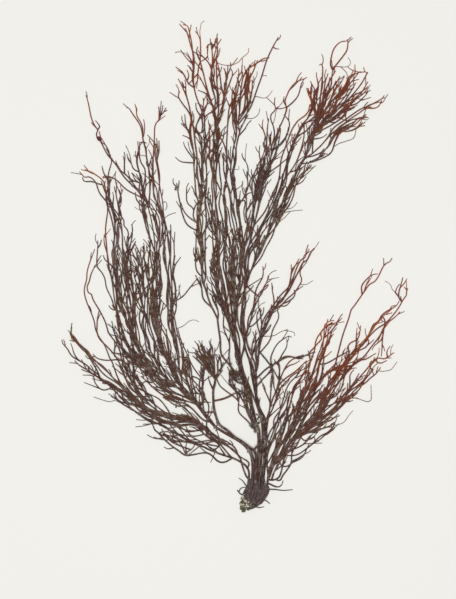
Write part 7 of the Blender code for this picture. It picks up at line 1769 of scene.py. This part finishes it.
# %% Sand and lime
GRIT_TONES = [(0.0, "#3b372d"), (0.3, "#6b6450"), (0.55, "#989078"), (0.8, "#c4bda7"), (1.0, "#ece8dd")]
SPECKLE = 0.2
SPECKLE_TONES = (-0.15, 0.15)
GRIT_BUMP = 0.5
GRIT_ROUGHNESS = 0.85


def gritty():
    """Sand and lime: matt grains, each in its own tone."""
    made, tree, shader = new_material("sand_and_lime_grit")
    speckles = noise(tree, SPECKLE, Detail=2)
    tone = figured(tree, "ADD", field(tree, "tone"), ranged(tree, speckles, *SPECKLE_TONES))
    tree.links.new(ramped(tree, tone, GRIT_TONES), shader.inputs["Base Color"])
    tree.links.new(bumpy(tree, speckles, GRIT_BUMP), shader.inputs["Normal"])
    shader.inputs["Roughness"].default_value = GRIT_ROUGHNESS
    return made


grit = gritty()
print(grit.name, "has", len(grit.node_tree.nodes), "nodes")

# %% Grit
GRIT_HEART = [
    (-1.6, 0.9, 1.3), (-1.9, 0.2, 1.2), (-1.1, 0.1, 1.8), (-0.3, -0.2, 2.2), (-2.2, -0.8, 1.0),
    (-1.3, -1.0, 1.6), (-0.3, -1.2, 1.9), (0.4, -1.0, 2.0), (-2.2, -1.8, 0.8), (-1.4, -2.0, 1.1),
    (-0.5, -2.1, 1.2), (-1.7, -2.6, 0.7),
]
HEART_SIZES = (0.45, 0.60)
# The heart lumps take the darkest tones: painted shadow for the gaps between the grains.
HEART_SHADOW_TONES = (0.0, 0.3)
GRAINS = 230
GRAIN_RISES = (-0.3, 1.0)
GRAIN_PLACES = (0.85, 1.15)
MOSTLY_SMALL = 1.6
MOSTLY_PALE = 0.9
LOW_TONE, LOW_FROM, LOW_OVER = 0.35, -2.6, 1.4


def grain_place(draw, lumps):
    """The place and the size of a grain on the skin of one of the lumps."""
    centre, size = draw.choice(lumps)
    turn, rise = draw.uniform(0, math.tau), math.asin(draw.uniform(*GRAIN_RISES))
    out = Vector((math.cos(turn) * math.cos(rise), math.sin(turn) * math.cos(rise), math.sin(rise)))
    grain = mix(*GRAIN_SIZES, draw.random() ** MOSTLY_SMALL)
    spot = centre + out * size * draw.uniform(*GRAIN_PLACES)
    spot.z = max(spot.z, GRAIN_REACH * grain)
    return spot, grain


def make_grit():
    """The heart of lumps with its grains, one mesh. The grains get darker towards the end of the foot."""
    draw = random.Random("grit")
    shape = bmesh.new()
    tones = []
    lumps = [(Vector(place), draw.uniform(*HEART_SIZES)) for place in GRIT_HEART]
    for number, (centre, size) in enumerate(lumps):
        added = add_grain(shape, centre, size, f"heart {number}", rounds=3, rough=0.3)
        tones += [draw.uniform(*HEART_SHADOW_TONES)] * len(added)
    for number in range(GRAINS):
        spot, grain = grain_place(draw, lumps)
        added = add_grain(shape, spot, grain, f"grain {number}")
        shadow = mix(LOW_TONE, 1.0, smooth((spot.y - LOW_FROM) / LOW_OVER))
        tones += [draw.random() ** MOSTLY_PALE * shadow] * len(added)
    return finish_mesh(bpy.data.meshes.new("grown_grit"), shape, {"tone": tones}, grit)


piece = place_piece("grown_grit", make_grit(), "encrusting_grit")
print(piece.name, len(piece.data.polygons), "faces")

# %% [markdown]
# ## Floor, light and camera
# The tuft is pressed flat, so it is seen from straight above, with its tips up. The floor is plain and pale.
# One wide lamp, nearly overhead, and a pale sky give soft light with faint shadows right beside the strands.

# %% The floor
FLOOR_SIDE = 2.4
FLOOR_DROP = 0.02
FLOOR_COLOUR = "#f1f0eb"
FLOOR_ROUGHNESS, FLOOR_SPECULAR = 0.95, 0.1


def make_floor():
    """A wide plain sheet just under the tuft."""
    shape = bmesh.new()
    bmesh.ops.create_grid(shape, x_segments=1, y_segments=1, size=FLOOR_SIDE / 2)
    paper, _, shader = new_material("matt_pale_floor")
    shader.inputs["Base Color"].default_value = linear(FLOOR_COLOUR)
    shader.inputs["Roughness"].default_value = FLOOR_ROUGHNESS
    shader.inputs["Specular IOR Level"].default_value = FLOOR_SPECULAR
    floor = bpy.data.objects.new("floor", finish_mesh(bpy.data.meshes.new("floor"), shape, {}, paper))
    floor.location.z = -FLOOR_DROP * MM
    bpy.context.scene.collection.objects.link(floor)


make_floor()
print("floor is", FLOOR_SIDE, "m wide")

# %% Light and camera
LAMP_PLACE = Vector((-0.05, 0.06, 1.2))
LAMP_SIDE = 0.35
LAMP_WATTS = 12.2
SKY = 0.18
SKY_COLOUR = "#fdfdfb"
VIEW_MIDDLE = Vector((-5.92, 53.97)) * MM
VIEW_HEIGHT = 0.5375
LENS, SENSOR = 120, 36
NEAREST_SEEN = 0.01


def make_light():
    """A wide lamp that faces the origin, and a pale sky."""
    lamp = bpy.data.lights.new("wide_lamp", "AREA")
    lamp.size = LAMP_SIDE
    lamp.energy = LAMP_WATTS
    holder = bpy.data.objects.new("wide_lamp", lamp)
    holder.location = LAMP_PLACE
    holder.rotation_euler = (-LAMP_PLACE).to_track_quat("-Z", "Y").to_euler()
    bpy.context.scene.collection.objects.link(holder)
    world = bpy.data.worlds.new("pale_sky")
    world.use_nodes = True
    sky = world.node_tree.nodes["Background"]
    sky.inputs["Color"].default_value = linear(SKY_COLOUR)
    sky.inputs["Strength"].default_value = SKY
    bpy.context.scene.world = world
    bpy.context.scene.view_settings.view_transform = "Standard"


def make_camera():
    """A long lens straight above the middle of the tuft."""
    lens = bpy.data.cameras.new("overhead_camera")
    lens.lens = LENS
    lens.sensor_width = SENSOR
    lens.clip_start = NEAREST_SEEN
    camera = bpy.data.objects.new("overhead_camera", lens)
    camera.location = (*VIEW_MIDDLE, VIEW_HEIGHT)
    bpy.context.scene.collection.objects.link(camera)
    bpy.context.scene.camera = camera


make_light()
make_camera()
print("camera is", VIEW_HEIGHT, "m above the floor")
